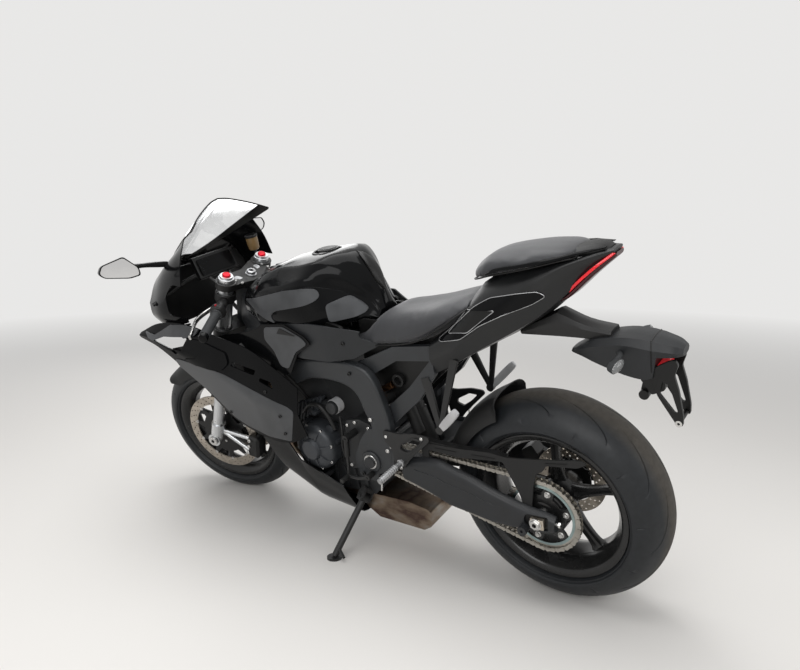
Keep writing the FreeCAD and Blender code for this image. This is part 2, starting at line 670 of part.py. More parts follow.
def round_cover(centre, radius, face, side):
    """A stepped round engine cover on its axis."""
    base = 118.0
    axle = Vector(centre[0], 0, centre[1])
    reach = face - base
    profile = [(base, 0), (base, radius), (base + reach * 0.3, radius), (base + reach * 0.55, radius * 0.9),
               (base + reach * 0.9, radius * 0.62), (base + reach * 0.9, radius * 0.36),
               (face, radius * 0.33), (face, 0)]
    cover = spin([(side * y, r) for y, r in profile], axle)
    return cover


def engine_covers():
    """Generator cover, sprocket cover and clutch cover, each seated on the crankcase."""
    generator = round_cover(GENERATOR_CENTRE, GENERATOR_RADIUS, GENERATOR_FACE, 1)
    clutch = round_cover(CLUTCH_CENTRE, CLUTCH_RADIUS, CLUTCH_FACE, -1)
    guard = side_plate([(624, 366, 12), (716, 366, 12), (728, 420, 12), (722, 492, 12), (630, 484, 12)],
                       CASE_HALF_WIDTH, CHAIN_LINE + 22)
    inside = side_plate([(600, 360), (706, 352), (712, 420), (706, 488), (600, 500)], CASE_HALF_WIDTH - 5,
                        CHAIN_LINE + 15)
    return [generator, clutch, guard.cut(inside).cut(generator)]


def subframe(frame, saddle, tail):
    """Left seat rail: the arm under the saddle and the strut below it, meeting at the tail."""
    # each section: x and z of its top edge, x and z of its bottom edge, inner and outer side
    rail, strut = (
        loft([[Vector(x0, inner, z0), Vector(x0, outer, z0), Vector(x1, outer, z1), Vector(x1, inner, z1)]
              for x0, z0, x1, z1, inner, outer in sections])
        for sections in (
            ((582, 724, 560, 672, 108, 126), (430, 792, 424, 748, 108, 128), (296, 806, 296, 760, 104, 124)),
            ((520, 560, 500, 510, 108, 128), (390, 668, 362, 628, 108, 128), (296, 770, 296, 716, 104, 124))))
    foot = side_plate([(470, 560, 8), (524, 560, 8), (516, 508, 8), (470, 512, 8)], 108, 134)
    head = side_plate([(530, 700, 8), (584, 728, 8), (600, 700, 8), (560, 668, 8)], 108, 134)
    shape = joined([rail, strut, foot, head])
    return shape.cut(frame).cut(saddle).cut(tail)


def passenger_peg(tail, rail):
    """Left passenger footrest: a forged V hanger below the tail, with its peg folded up."""
    pivot = Vector(258, 152, 590)
    arms = [rod(start, pivot, 7) for start in (Vector(330, 128, 700), Vector(226, 118, 762))]
    knuckle = cross_rod(pivot.x, pivot.z, pivot.y - 14, pivot.y + 12, 11)
    peg = rod(pivot + Vector(0, 20, 0), Vector(206, 182, 646), 9.5)
    joint = cross_rod(pivot.x, pivot.z, pivot.y + 10, pivot.y + 26, 8)
    return joined([knuckle, peg, joint] + arms).cut(tail).cut(rail)


def radiator(frames):
    """Slanted core with its two side tanks, the stays to the spars and the oil cooler below."""
    core = side_plate([(1052, 470), (1084, 462), (1118, 700), (1086, 708)], -150, 150)
    tanks = [side_plate([(1048, 466), (1088, 458), (1122, 706), (1082, 714)], y0, y1)
             for y0, y1 in ((150, 172), (-172, -150))]
    cooler = side_plate([(1044, 330), (1070, 326), (1084, 430), (1058, 434)], -110, 110)
    link = side_plate([(1058, 420), (1080, 418), (1084, 480), (1058, 482)], -20, 20)
    stays = [rod(Vector(1098, 104 * side, 690), Vector(1000, 100 * side, 745), 8) for side in (1, -1)]
    shape = joined([core, cooler, link] + tanks + stays)
    for frame in frames:
        shape = shape.cut(frame)
    return largest(shape)


def exhaust(engine):
    """Four headers into the collector box under the engine, and the pipe to the silencer."""
    parts = []
    for y in (-120, -40, 40, 120):
        lower_y = y * 0.42
        points = [Vector(968, y * 0.86, 617), Vector(1030, y * 0.86, 590), Vector(1000, y * 0.7, 330),
                  Vector(900, lower_y, 190), Vector(700, lower_y, 172)]
        parts.append(bent_tube(points, 19.0, 32.0))
    box = side_plate([(436, 128, 18), (470, 106, 12), (660, 106, 12), (712, 140, 12), (712, 196, 12),
                      (520, 204, 12), (430, 190, 18)], -92, 74)
    link = bent_tube([Vector(450, -50, 160), Vector(385, -70, 172), Vector(335, SILENCER_Y + 14, 230),
                      Vector(282, SILENCER_Y, 254)], 26.0, 30.0)
    return largest(joined(parts + [box, link]).cut(engine))


def silencer(pipes):
    """Short tapered silencer on the right side, with a recessed outlet."""
    eight = [(-1, 0.45), (-0.55, 1), (0.55, 1), (1, 0.45), (1, -0.45), (0.55, -1), (-0.55, -1), (-1, -0.45)]
    sections = ((300, 246, 34, 34), (262, 262, 42, 58), (102, 334, 44, 60), (62, 352, 38, 52))
    body = loft([[Vector(x, SILENCER_Y + half_y * a, z + half_z * b) for a, b in eight]
                 for x, z, half_y, half_z in sections])
    outlet = rod(Vector(108, SILENCER_Y, 331), Vector(42, SILENCER_Y, 361), 26)
    return body.cut(outlet).cut(pipes)


# Swingarm and rear

ARM_STATIONS = (
    # x, z top, z bottom
    (448, 432, 352),
    (400, 434, 338),
    (286, 430, 298),
    (204, 404, 288),
    (129, 378, 280),
    (40, 362, 284),
    (-52, 352, 296),
)


def swing_arms():
    """Two deep arms outside the chain, with the axle slots."""
    sections = []
    for x, z_top, z_bottom in ARM_STATIONS:
        sections.append([Vector(x, ARM_INNER, z_bottom), Vector(x, ARM_OUTER, z_bottom + 8),
                         Vector(x, ARM_OUTER, z_top - 8), Vector(x, ARM_INNER, z_top)])
    slot = side_plate([(-30, REAR_AXLE.z - 15), (28, REAR_AXLE.z - 15), (28, REAR_AXLE.z + 15),
                       (-30, REAR_AXLE.z + 15)], ARM_INNER - 5, ARM_OUTER + 5, 10)
    return pair(loft(sections).cut(slot))


def stand_spools():
    """Bosses on the outside of the arms, threaded for the bobbins of a rear stand."""
    tip = ARM_OUTER + SPOOL_HEIGHT
    hole = cross_rod(SPOOL[0], SPOOL[1], tip - SPOOL_HOLE_DEPTH, tip + 1, SPOOL_HOLE_RADIUS)
    return pair(cross_rod(SPOOL[0], SPOOL[1], ARM_OUTER, tip, SPOOL_RADIUS).cut(hole))


def swingarm():
    """Cross box between the two arms, its legs to the pivot tube, and the pivot bolt."""
    cross = side_plate([(368, 344, 10), (448, 352, 8), (448, 424, 8), (368, 424, 10)], -ARM_INNER, ARM_INNER)
    legs = [side_plate([(440, 354, 8), (566, 372, 6), (566, 426, 6), (440, 422, 8)], y0, y1)
            for y0, y1 in ((58, 98), (-98, -58))]
    shape = joined([cross, cross_rod(PIVOT[0], PIVOT[1], -98, 98, PIVOT_RADIUS)] + legs)
    room = rod(Vector(SHOCK_FOOT[0], 0, 300), Vector(SHOCK_FOOT[0], 0, 460), SHOCK_SPRING_RADIUS + 3)
    shape = shape.cut(room)
    bolt = cross_rod(PIVOT[0], PIVOT[1], -FRAME_FACE - 12, FRAME_FACE + 12, PIVOT_BOLT_RADIUS)
    heads = [cross_rod(PIVOT[0], PIVOT[1], side * (FRAME_FACE + 6 + SEAM), side * (FRAME_FACE + 14), 19)
             for side in (1, -1)]
    return joined([shape, bolt] + heads)


def rear_axle():
    """Hollow spindle, its adjuster blocks, spacers and nuts."""
    spindle = cross_rod(0, REAR_AXLE.z, -ARM_OUTER - 8, ARM_OUTER + 8, AXLE_RADIUS)
    parts = [spindle]
    for side in (1, -1):
        block = Part.makeBox(34, 6, 29.4, Vector(-17, 0, REAR_AXLE.z - 14.7))
        block.translate(Vector(0, ARM_OUTER + 0.2 if side > 0 else -ARM_OUTER - 6.2, 0))
        nut = cross_rod(0, REAR_AXLE.z, side * (ARM_OUTER + 6), side * (ARM_OUTER + 16), 19)
        inner = ARM_INNER - 0.3
        hub_end = CHAIN_LINE + SPROCKET_THICKNESS / 2 + 1.0 if side > 0 else REAR_HUB_HALF + 1.0
        spacer = cross_rod(0, REAR_AXLE.z, side * hub_end, side * inner, REAR_SPACER_RADIUS)
        parts += [block, nut, spacer]
    shape = joined(parts)
    return shape.cut(cross_rod(0, REAR_AXLE.z, -300, 300, AXLE_BORE_RADIUS))


def rear_caliper():
    """Rear caliper and its bracket, on the right, above the arm."""
    y = -REAR_DISC_OFFSET
    block = side_plate([(88, 398, 8), (128, 372, 8), (150, 404, 8), (110, 432, 8)], y - 24, y + 22)
    bracket = side_plate([(20, 322, 6), (60, 330, 6), (110, 388, 6), (90, 402, 6), (28, 352, 6)],
                         y - 24, y - 12)
    half, rim_side = DISC_THICKNESS / 2 + PAD_GAP, REAR_DISC_RADIUS + PAD_GAP
    ring = cross_rod(0, REAR_AXLE.z, y - 24, y - 12, 30)
    slot = spin([(y - half, 30), (y + half, 30), (y + half, rim_side), (y - half, rim_side)], REAR_AXLE)
    shape = joined([block, bracket, ring]).cut(slot)
    return shape.cut(cross_rod(0, REAR_AXLE.z, y - 30, y, REAR_SPACER_RADIUS + SEAM))


def rear_shock(frames):
    """Damper, spring sleeve and side cylinder, hung from a beam between the spars."""
    foot = Vector(SHOCK_FOOT[0], 0, SHOCK_FOOT[1])
    head = Vector(SHOCK_HEAD[0], 0, SHOCK_HEAD[1])
    along = (head - foot).normalize()
    body = rod(foot, head, 15)
    spring = rod(foot + along * 54, foot + along * 186, SHOCK_SPRING_RADIUS)
    collar = rod(foot + along * 186, foot + along * 236, SHOCK_SPRING_RADIUS - 2)
    aside = Vector(-20, 52, 0)
    side_cup = rod(foot + along * 130 + aside, foot + along * 240 + aside, 19)
    bridge = rod(foot + along * 214, foot + along * 214 + aside, 12)
    pin = cross_rod(foot.x, foot.z, -46, 46, 8)
    beam = cross_rod(head.x, head.z, -140, 140, 17)
    shape = joined([body, spring, collar, side_cup, bridge, pin, beam])
    for frame in frames:
        shape = shape.cut(frame)
    return largest(shape)


def hugger(arms):
    """Curved guard close over the front of the rear tyre, with a pin to each arm."""
    outer_radius = REAR_TYRE_RADIUS + 24
    line = [(96, outer_radius - 62), (98, outer_radius - 34), (70, outer_radius - 9), (0, outer_radius)]
    outer = line + [(-y, r) for y, r in line[-2::-1]]
    inner = [(y * 0.965, r - 3) for y, r in outer[::-1]]
    guard = spin(outer + inner, REAR_AXLE, 52.0)
    guard.rotate(REAR_AXLE, Y_AXIS, 24.0)
    pins = [cross_rod(292, 415, side * 94, side * (ARM_INNER + 4), 7) for side in (1, -1)]
    return joined([guard] + pins).cut(arms)


def chain_guard(arms):
    """Triangular guard above the upper run with its see-through slot and two feet on the arm."""
    outline = [(404, 502, 4), (240, 492, 8), (120, 500, 6), (-128, 516, 3), (-20, 470, 10), (24, 340, 6),
               (44, 340, 6), (92, 470, 12), (240, 462, 8), (352, 468, 4), (356, 424, 3), (374, 424, 3),
               (380, 476, 4), (404, 482, 4)]
    plate = side_plate(outline, ARM_INNER + 1, ARM_INNER + 6)
    slot = side_plate([(-2, 468), (84, 478), (100, 488), (0, 492)], ARM_INNER - 5, ARM_INNER + 12, 5)
    return largest(plate.cut(slot).cut(arms))


def footpeg(frame):
    """Left rider footrest: plate on the frame and the peg with its feeler."""
    face = FRAME_FACE + SEAM
    plate = side_plate([(492, 526, 8), (430, 524, 8), (352, 546, 8), (312, 542, 8), (352, 486, 8),
                        (404, 424, 8), (436, 396, 8), (462, 420, 8), (466, 480, 10), (492, 488, 8)],
                       face, face + 6)
    stem = rod(Vector(440, face + 4, 424), Vector(452, 262, 410), 10)
    feeler = rod(Vector(450, 252, 410), Vector(455, 256, 376), 4)
    return joined([plate, stem, feeler]).cut(frame)


def gear_lever(frame):
    """Shift pedal on its frame boss, and the rod up to the lever of the gearbox shaft."""
    pivot = Vector(572, 184, 352)
    toe = Vector(664, 176, 332)
    pedal = rod(toe, pivot, 5)
    boss = cross_rod(pivot.x, pivot.z, FRAME_FACE - 15, 192, 8).cut(frame)
    tip = cross_rod(toe.x, toe.z, 172, 206, 8)
    top = Vector(650, 170, 470)
    link = rod(toe, top, 4)
    shaft = cross_rod(top.x, top.z, CHAIN_LINE + 22, 174, 6)
    return joined([pedal, boss, tip, link, shaft])


# Bodywork

def fuel_tank():
    """Tank and airbox cover as one closed form."""
    stations = [
        (1058, [(0, 946), (60, 940), (104, 918), (112, 884), (96, 850), (0, 846)]),
        (980, [(0, 990), (70, 982), (132, 948), (152, 900), (138, 846), (0, 838)]),
        (880, [(0, 1022), (80, 1012), (154, 968), (178, 910), (168, 842), (0, 826)]),
        (765, [(0, 1042), (84, 1034), (160, 984), (184, 916), (170, 838), (0, 818)]),
        (660, [(0, 1049), (80, 1042), (148, 992), (170, 922), (154, 838), (0, 818)]),
        (580, [(0, 1040), (66, 1030), (120, 984), (138, 922), (122, 846), (0, 830)]),
        (532, [(0, 958), (56, 950), (96, 926), (112, 896), (100, 852), (0, 838)]),
        (500, [(0, 900), (46, 896), (80, 884), (94, 872), (84, 852), (0, 844)]),
    ]
    shape = solid_body(stations)
    filler = Vector(FILLER_X, 0, FILLER_HEIGHT)
    shape = shape.cut(rod(filler - Z_AXIS * 32, filler + Z_AXIS * 60, FILLER_RADIUS + 4))
    return joined([shape, rod(filler - Z_AXIS * 33, filler, FILLER_RADIUS)])


def fuel_cap():
    """Flat filler lid, hinged at its front edge on the filler ring."""
    base = Vector(FILLER_X, 0, FILLER_HEIGHT + SEAM)
    lid = rod(base, base + Z_AXIS * CAP_THICKNESS, FILLER_RADIUS - 8)
    top = base + Z_AXIS * CAP_THICKNESS
    return joined([lid, rod(top, top + Z_AXIS * 2, FILLER_RADIUS - 16)])


def side_cover(tank, frame):
    """Matte cover between tank and spar."""
    plate = side_plate([(838, 846, 10), (512, 838, 14), (530, 760, 14), (600, 742, 8), (800, 744, 14)],
                       162, 184)
    inner = side_plate([(826, 840, 10), (528, 832, 14), (544, 766, 14), (600, 750, 8), (792, 752, 14)],
                       120, 162)
    return joined([plate, inner]).cut(tank).cut(frame)


def rider_seat(tank):
    """Saddle from the back of the tank to the foot of the pillion pad."""
    stations = [
        (596, [(0, 800), (60, 800), (104, 792), (116, 776), (104, 764), (0, 764)]),
        (548, [(0, 824), (60, 824), (104, 816), (120, 796), (112, 772), (0, 772)]),
        (486, [(0, 876), (56, 874), (98, 858), (124, 822), (118, 786), (0, 780)]),
        (413, [(0, 884), (66, 884), (112, 868), (134, 832), (128, 798), (0, 790)]),
        (330, [(0, 896), (72, 897), (120, 884), (140, 852), (134, 820), (0, 806)]),
        (250, [(0, 918), (66, 918), (112, 908), (134, 884), (130, 864), (0, 840)]),
        (165, [(0, 942), (40, 942), (80, 938), (104, 930), (104, 918), (0, 900)]),
    ]
    return solid_body(stations).cut(tank)


def pillion_seat():
    stations = [
        (176, [(0, 1010), (28, 1006), (48, 996), (50, 988), (40, 982), (0, 982)]),
        (140, [(0, 1036), (44, 1032), (78, 1016), (86, 1002), (78, 994), (0, 990)]),
        (96, [(0, 1058), (56, 1054), (94, 1038), (104, 1018), (96, 1008), (0, 1000)]),
        (0, [(0, 1070), (58, 1068), (98, 1056), (110, 1038), (102, 1028), (0, 1020)]),
        (-90, [(0, 1074), (50, 1072), (80, 1066), (90, 1054), (84, 1046), (0, 1038)]),
        (-128, [(0, 1070), (36, 1068), (58, 1064), (66, 1058), (60, 1052), (0, 1046)]),
    ]
    return solid_body(stations)


def tail_cowl(seats):
    """Tail body under both seats, closed below, ending in the lamp face."""
    stations = [
        (300, [(0, 812), (90, 818), (124, 806), (132, 770), (112, 716), (0, 706)]),
        (210, [(0, 888), (90, 884), (124, 862), (134, 812), (112, 766), (0, 752)]),
        (130, [(0, 985), (64, 982), (112, 940), (128, 872), (104, 812), (0, 796)]),
        (60, [(0, 1012), (72, 1006), (108, 964), (120, 912), (94, 850), (0, 834)]),
        (-20, [(0, 1034), (66, 1028), (98, 1000), (104, 958), (78, 898), (0, 884)]),
        (-92, [(0, 1052), (54, 1048), (80, 1034), (80, 1010), (58, 956), (0, 946)]),
        (-160, [(0, 1064), (40, 1062), (56, 1054), (56, 1040), (40, 1016), (0, 1012)]),
        (-208, [(0, 1064), (22, 1063), (30, 1060), (30, 1056), (22, 1052), (0, 1050)]),
    ]
    shape = solid_body(stations)
    for seat in seats:
        shape = shape.cut(seat)
    return shape


def tail_light(tail):
    """Lamp strip along the slanted rear edge of the tail."""
    stations = [
        (-70, [(0, 940), (46, 940), (46, 934), (0, 930)]),
        (-100, [(0, 955), (50, 962), (50, 950), (0, 946)]),
        (-160, [(0, 1012), (42, 1020), (42, 1004), (0, 1000)]),
        (-212, [(0, 1054), (24, 1056), (24, 1046), (0, 1044)]),
    ]
    return solid_body(stations).cut(tail)


def plate_bracket(tail):
    """Arm down from the tail, lamp body and the forked bracket for a plate."""
    arm = solid_body([
        (60, [(0, 842), (26, 840), (30, 834), (24, 826), (0, 826)]),
        (-50, [(0, 902), (28, 896), (34, 868), (26, 830), (0, 826)]),
        (-120, [(0, 872), (26, 868), (32, 856), (26, 830), (0, 826)]),
        (-190, [(0, 856), (26, 854), (32, 846), (26, 828), (0, 822)]),
    ])
    body = solid_body([
        (-82, [(0, 806), (20, 804), (30, 796), (24, 788), (0, 786)]),
        (-150, [(0, 842), (40, 838), (54, 822), (40, 768), (0, 762)]),
        (-220, [(0, 862), (44, 856), (58, 836), (48, 742), (0, 732)]),
        (-282, [(0, 852), (42, 846), (54, 828), (44, 738), (0, 732)]),
        (-340, [(0, 842), (32, 838), (42, 824), (34, 800), (0, 796)]),
        (-362, [(0, 834), (20, 832), (28, 824), (22, 812), (0, 810)]),
    ])
    mount = side_plate([(-258, 740), (-300, 776), (-320, 772), (-318, 716), (-286, 700)], -34, 34, 6)
    legs = []
    for side in (1, -1):
        legs.append(side_plate([(-300, 772, 4), (-336, 786, 6), (-346, 770, 4), (-352, 690, 4),
                                (-362, 636, 6), (-352, 622, 6), (-338, 634, 4), (-318, 700, 4)],
                               side * 34 - 5, side * 34 + 5))
    bar = rod(Vector(-350, -34, 634), Vector(-350, 34, 634), 6)
    lamp = rod(Vector(-262, -22, 690), Vector(-262, 22, 690), 13)
    lamp_neck = side_plate([(-250, 696), (-276, 696), (-284, 742), (-256, 742)], -10, 10)
    return joined([arm, body, mount, bar, lamp, lamp_neck] + legs).cut(tail)


def rear_indicator(bracket):
    """Left indicator: stalk from the lamp body and the oval lens housing."""
    stalk = rod(Vector(-214, 40, 806), Vector(-222, 96, 802), 8)
    head = Part.makeCylinder(15, 26, Vector(-212, 104, 800), Vector(-1, 0.12, 0))
    neck = rod(Vector(-222, 90, 802), Vector(-224, 104, 800), 9)
    return seated(joined([stalk, head, neck]), bracket)


COWL_STATIONS = (
    (1246, [(158, 1118), (196, 1044), (222, 944), (228, 880), (222, 838)]),
    (1310, [(136, 1088), (186, 1034), (226, 934), (232, 868), (224, 822)]),
    (1400, [(104, 1049), (172, 1002), (222, 902), (226, 846), (204, 796)]),
    (1500, [(52, 1010), (140, 962), (192, 886), (192, 838), (158, 788)]),
)
NOSE_STATIONS = (
    (1500, [(0, 1018), (52, 1010), (140, 962), (192, 886), (192, 838), (158, 788)]),
    (1575, [(0, 958), (40, 950), (104, 918), (142, 866), (142, 830), (112, 786)]),
    (1622, [(0, 888), (28, 884), (60, 870), (74, 848), (72, 826), (52, 800)]),
)


def upper_cowl():
    """Nose and both flanks of the upper fairing, open behind for the cockpit."""
    flank = panel(COWL_STATIONS)
    sections = []
    for x, line in NOSE_STATIONS:
        inner = toward_centre(line, SKIN)
        inner[0] = (0.0, line[0][1] - SKIN)
        outer_ring = [(-y, z) for y, z in line[:0:-1]] + line
        inner_ring = inner[::-1] + [(-y, z) for y, z in inner[1:]]
        sections.append([Vector(x, y, z) for y, z in outer_ring + inner_ring])
    nose = loft(sections)
    cowl = joined([flank, mirrored(flank), nose])
    hand_room = side_plate([(1200, 850, 10), (1330, 862, 24), (1340, 930, 24), (1300, 972, 24),
                            (1200, 960, 10)], -300, 300)
    window = lamp_window(0)
    return cowl.cut(hand_room).cut(window).cut(mirrored(window))


SCREEN_STATIONS = (
    # base x, base half width, base z, rise of the arch
    (1165, 175, 1151, 71),
    (1240, 160, 1120, 58),
    (1320, 134, 1085, 44),
    (1411, 100, 1045, 26),
    (1480, 60, 1017, 11),
    (1518, 16, 1001, 4),
)
SCREEN_ARCH = ((1.0, 0.0), (0.8, 0.28), (0.57, 0.56), (0.23, 0.89), (0.0, 1.0))
SCREEN_TILT = 0.75


def windscreen():
    """Clear bubble over the cockpit, standing on the edge of the upper fairing."""
    sections = []
    for base_x, half, base_z, rise in SCREEN_STATIONS:
        outer = [(half * u, base_z + rise * v) for u, v in SCREEN_ARCH]
        shrink = (half - SCREEN_WALL) / half
        inner = [(y * shrink, base_z + (z - base_z) * (rise - SCREEN_WALL) / rise) for y, z in outer]
        ring = outer + [(-y, z) for y, z in outer[-2::-1]] + [(-y, z) for y, z in inner] + inner[-2::-1]
        sections.append([Vector(base_x + SCREEN_TILT * (z - base_z), y, z + SKIN) for y, z in ring])
    return loft(sections)


def instrument_panel(head, cowl):
    """Dash slab on the stay that carries the nose from the steering head."""
    dash = side_plate([(1330, 1030, 6), (1300, 950, 6), (1316, 944, 6), (1350, 1024, 6)], -88, 88)
    stays = []
    for side in (1, -1):
        stays.append(rod(Vector(1222, 24 * side, 822), Vector(1330, 60 * side, 960), 7))
        stays.append(rod(Vector(1330, 60 * side, 960), Vector(1430, 226 * side, 892), 7))
    return seated(joined([dash] + stays), head, cowl)


def lamp_window(grow):
    """The side outline of the lamp opening in the nose, as a block across it."""
    return side_plate([(1512 - grow, 864 + grow, 6), (1594 + grow, 864 + grow, 6),
                       (1606 + grow, 838 - grow, 6), (1522 - grow, 806 - grow, 6)], 30, 260)


def headlight(cowl):
    """Left lamp unit, standing in its opening in the nose."""
    stations = []
    for x, line in NOSE_STATIONS:
        stations.append((x, toward_centre(line, 1.5)[2:]))
    return largest(panel(stations, 26).common(lamp_window(6)).cut(cowl))


SIDE_STATIONS = (
    # x, outer line from top to bottom: top edge, crease, lower edge
    (1512, [(250, 792), (262, 784), (258, 774)]),
    (1400, [(238, 830), (264, 772), (258, 736)]),
    (1250, [(232, 834), (262, 726), (244, 622)]),
    (1110, [(230, 804), (258, 682), (230, 490)]),
    (960, [(226, 770), (252, 604), (220, 434)]),
    (862, [(216, 706), (244, 572), (214, 436)]),
    (788, [(204, 642), (226, 560), (206, 470)]),
)


def side_fairing(cowl):
    """Left flank panel with its duct: outer skin and the wing that ties it to the nose."""
    skin = panel(SIDE_STATIONS)
    wing = loft([[Vector(x, 206, z), Vector(x, 250, z - 2), Vector(x, 250, z - 7), Vector(x, 206, z - 5)]
                 for x, z in ((1470, 786), (1260, 830))])
    return largest(joined([skin, wing]).cut(cowl))


def belly_pan():
    """V-shaped pan below the engine, open above."""
    sections = []
    stations = (
        (1010, [(210, 430), (168, 320), (112, 236), (0, 222)]),
        (880, [(212, 430), (158, 268), (104, 156), (0, 138)]),
        (866, [(192, 356), (156, 262), (104, 152), (0, 134)]),
        (706, [(172, 276), (146, 210), (100, 132), (0, 120)]),
    )
    for x, line in stations:
        inner = toward_centre(line, SKIN)
        inner[-1] = (0.0, line[-1][1] + SKIN)
        ring = line + [(-y, z) for y, z in line[-2::-1]] + [(-y, z) for y, z in inner] + inner[-2::-1]
        sections.append([Vector(x, y, z) for y, z in ring])
    return loft(sections)


def mirror(cowl):
    """Left mirror: arm from the upper fairing and the pointed housing."""
    root = ((1422, 1016), (1390, 1012), (1390, 1032), (1422, 1034))
    tip = ((1432, 1042), (1408, 1040), (1408, 1052), (1432, 1054))
    arm = loft([[Vector(x, 146, z) for x, z in root], [Vector(x, 262, z) for x, z in tip]])
    front = [(252, 1042), (292, 1092), (366, 1078), (380, 1052), (366, 1034), (288, 1012), (252, 1014)]
    back_face = [Vector(1400 + (y - 252) * 0.3, y, z) for y, z in front]
    shell = [Vector(1426 + (y - 252) * 0.3, 316 + (y - 316) * 0.86, 1050 + (z - 1050) * 0.8)
             for y, z in front]
    tip = [Vector(1448 + (y - 252) * 0.3, 316 + (y - 316) * 0.5, 1050 + (z - 1050) * 0.45) for y, z in front]
    return largest(joined([loft([back_face, shell, tip]), arm]).cut(cowl))


# Side stand

def stand_direction():
    foot = Vector(STAND_FOOT[0], STAND_FOOT[1], STAND_FOOT_THICKNESS)
    return upright(foot)


def side_stand():
    """Leg, pivot lug and foot plate that lies flat on the floor as parked."""
    pivot = Vector(*STAND_PIVOT)
    foot = stand_direction()
    along = (foot - pivot).normalize()
    leg = rod(pivot, foot - along * 2, STAND_TUBE_RADIUS)
    lug = rod(pivot - STAND_AXIS * 13, pivot + STAND_AXIS * 13, 15)
    prong = rod(pivot + along * (foot - pivot).Length * 0.86, pivot + along * (foot - pivot).Length * 0.86
                + Vector(-44, 26, -6), 5)
    sole = rod(upright(Vector(STAND_FOOT[0], STAND_FOOT[1], 0)),
               upright(Vector(STAND_FOOT[0], STAND_FOOT[1], STAND_FOOT_THICKNESS)), 25)
    shape = joined([leg, lug, prong, sole])
    hole = rod(pivot - STAND_AXIS * 40, pivot + STAND_AXIS * 40, STAND_BOLT_RADIUS + RUNNING_CLEARANCE)
    return shape.cut(hole)


def stand_bracket(engine):
    """Two cheeks, the bridge between them and the arm that reaches the crankcase."""
    pivot = Vector(*STAND_PIVOT)
    aside = STAND_AXIS.cross(STAND_DOWN)

    def slab(outline, near, far):
        return loft([[pivot + STAND_AXIS * reach + STAND_DOWN * u + aside * v for u, v in outline]
                     for reach in (near, far)])

    cheek = [(-34, -13), (-34, 13), (-6, 18), (12, 11), (12, -11), (-6, -18)]
    bridge = [(-34, -13), (-34, 13), (-20, 13), (-20, -13)]
    cheeks = [slab(cheek, 13.3, 20), slab(cheek, -20, -13.3), slab(bridge, -16, 16)]
    bolt = rod(pivot - STAND_AXIS * 23, pivot + STAND_AXIS * 23, STAND_BOLT_RADIUS)
    arm = rod(pivot - STAND_DOWN * 27 - STAND_AXIS * 10, Vector(656, 100, 268), 12)
    return joined(cheeks + [bolt, arm]).cut(engine)


# Pose: steering turned, machine leaned, tyres and stand on the floor

def turned(shape):
    """Turn a steering part from straight ahead to the parked angle."""
    result = shape.copy()
    result.rotate(STEER_FOOT, STEER_UP, STEER_REST_DEG)
    return result


def lowest(centre, axle_direction, ring, crown):
    return centre.z - ring * math.sqrt(max(0.0, 1 - axle_direction.z ** 2)) - crown


def parked_placement():
    """Lean to the left, then level both tyres on the floor."""
    lean = FreeCAD.Rotation(X_AXIS, -LEAN_DEG)
    steer = FreeCAD.Placement(Vector(0, 0, 0), FreeCAD.Rotation(STEER_UP, STEER_REST_DEG), STEER_FOOT)
    crown_front = crown_radius(FRONT_TYRE_RADIUS, FRONT_TYRE_WIDTH)
    crown_rear = crown_radius(REAR_TYRE_RADIUS, REAR_TYRE_WIDTH)
    pitch = 0.0
    placement = FreeCAD.Placement(Vector(0, 0, 0), lean)
    for _ in range(6):
        rotation = FreeCAD.Rotation(Y_AXIS, pitch).multiply(lean)
        placement = FreeCAD.Placement(Vector(0, 0, 0), rotation)
        rear = lowest(placement.multVec(REAR_AXLE), rotation.multVec(Y_AXIS),
                      REAR_TYRE_RADIUS - crown_rear, crown_rear)
        front_side = rotation.multVec(steer.Rotation.multVec(Y_AXIS))
        front = lowest(placement.multVec(steer.multVec(FRONT_AXLE)), front_side,
                       FRONT_TYRE_RADIUS - crown_front, crown_front)
        pitch += math.degrees(math.atan2(front - rear, WHEELBASE))
        placement.Base = Vector(0, 0, -rear)
    return placement


PARKED = parked_placement()


def upright(point):
    """A point of the parked machine in the upright layout."""
    return PARKED.inverse().multVec(point)


STAND_DOWN = (upright(Vector(STAND_FOOT[0], STAND_FOOT[1], 0)) - Vector(*STAND_PIVOT)).normalize()
STAND_BACK = Vector(-0.965, 0.24, 0.11).normalize()
STAND_AXIS = STAND_DOWN.cross(STAND_BACK).normalize()
STAND_SWING_DEG = math.degrees(STAND_DOWN.getAngle(STAND_BACK))


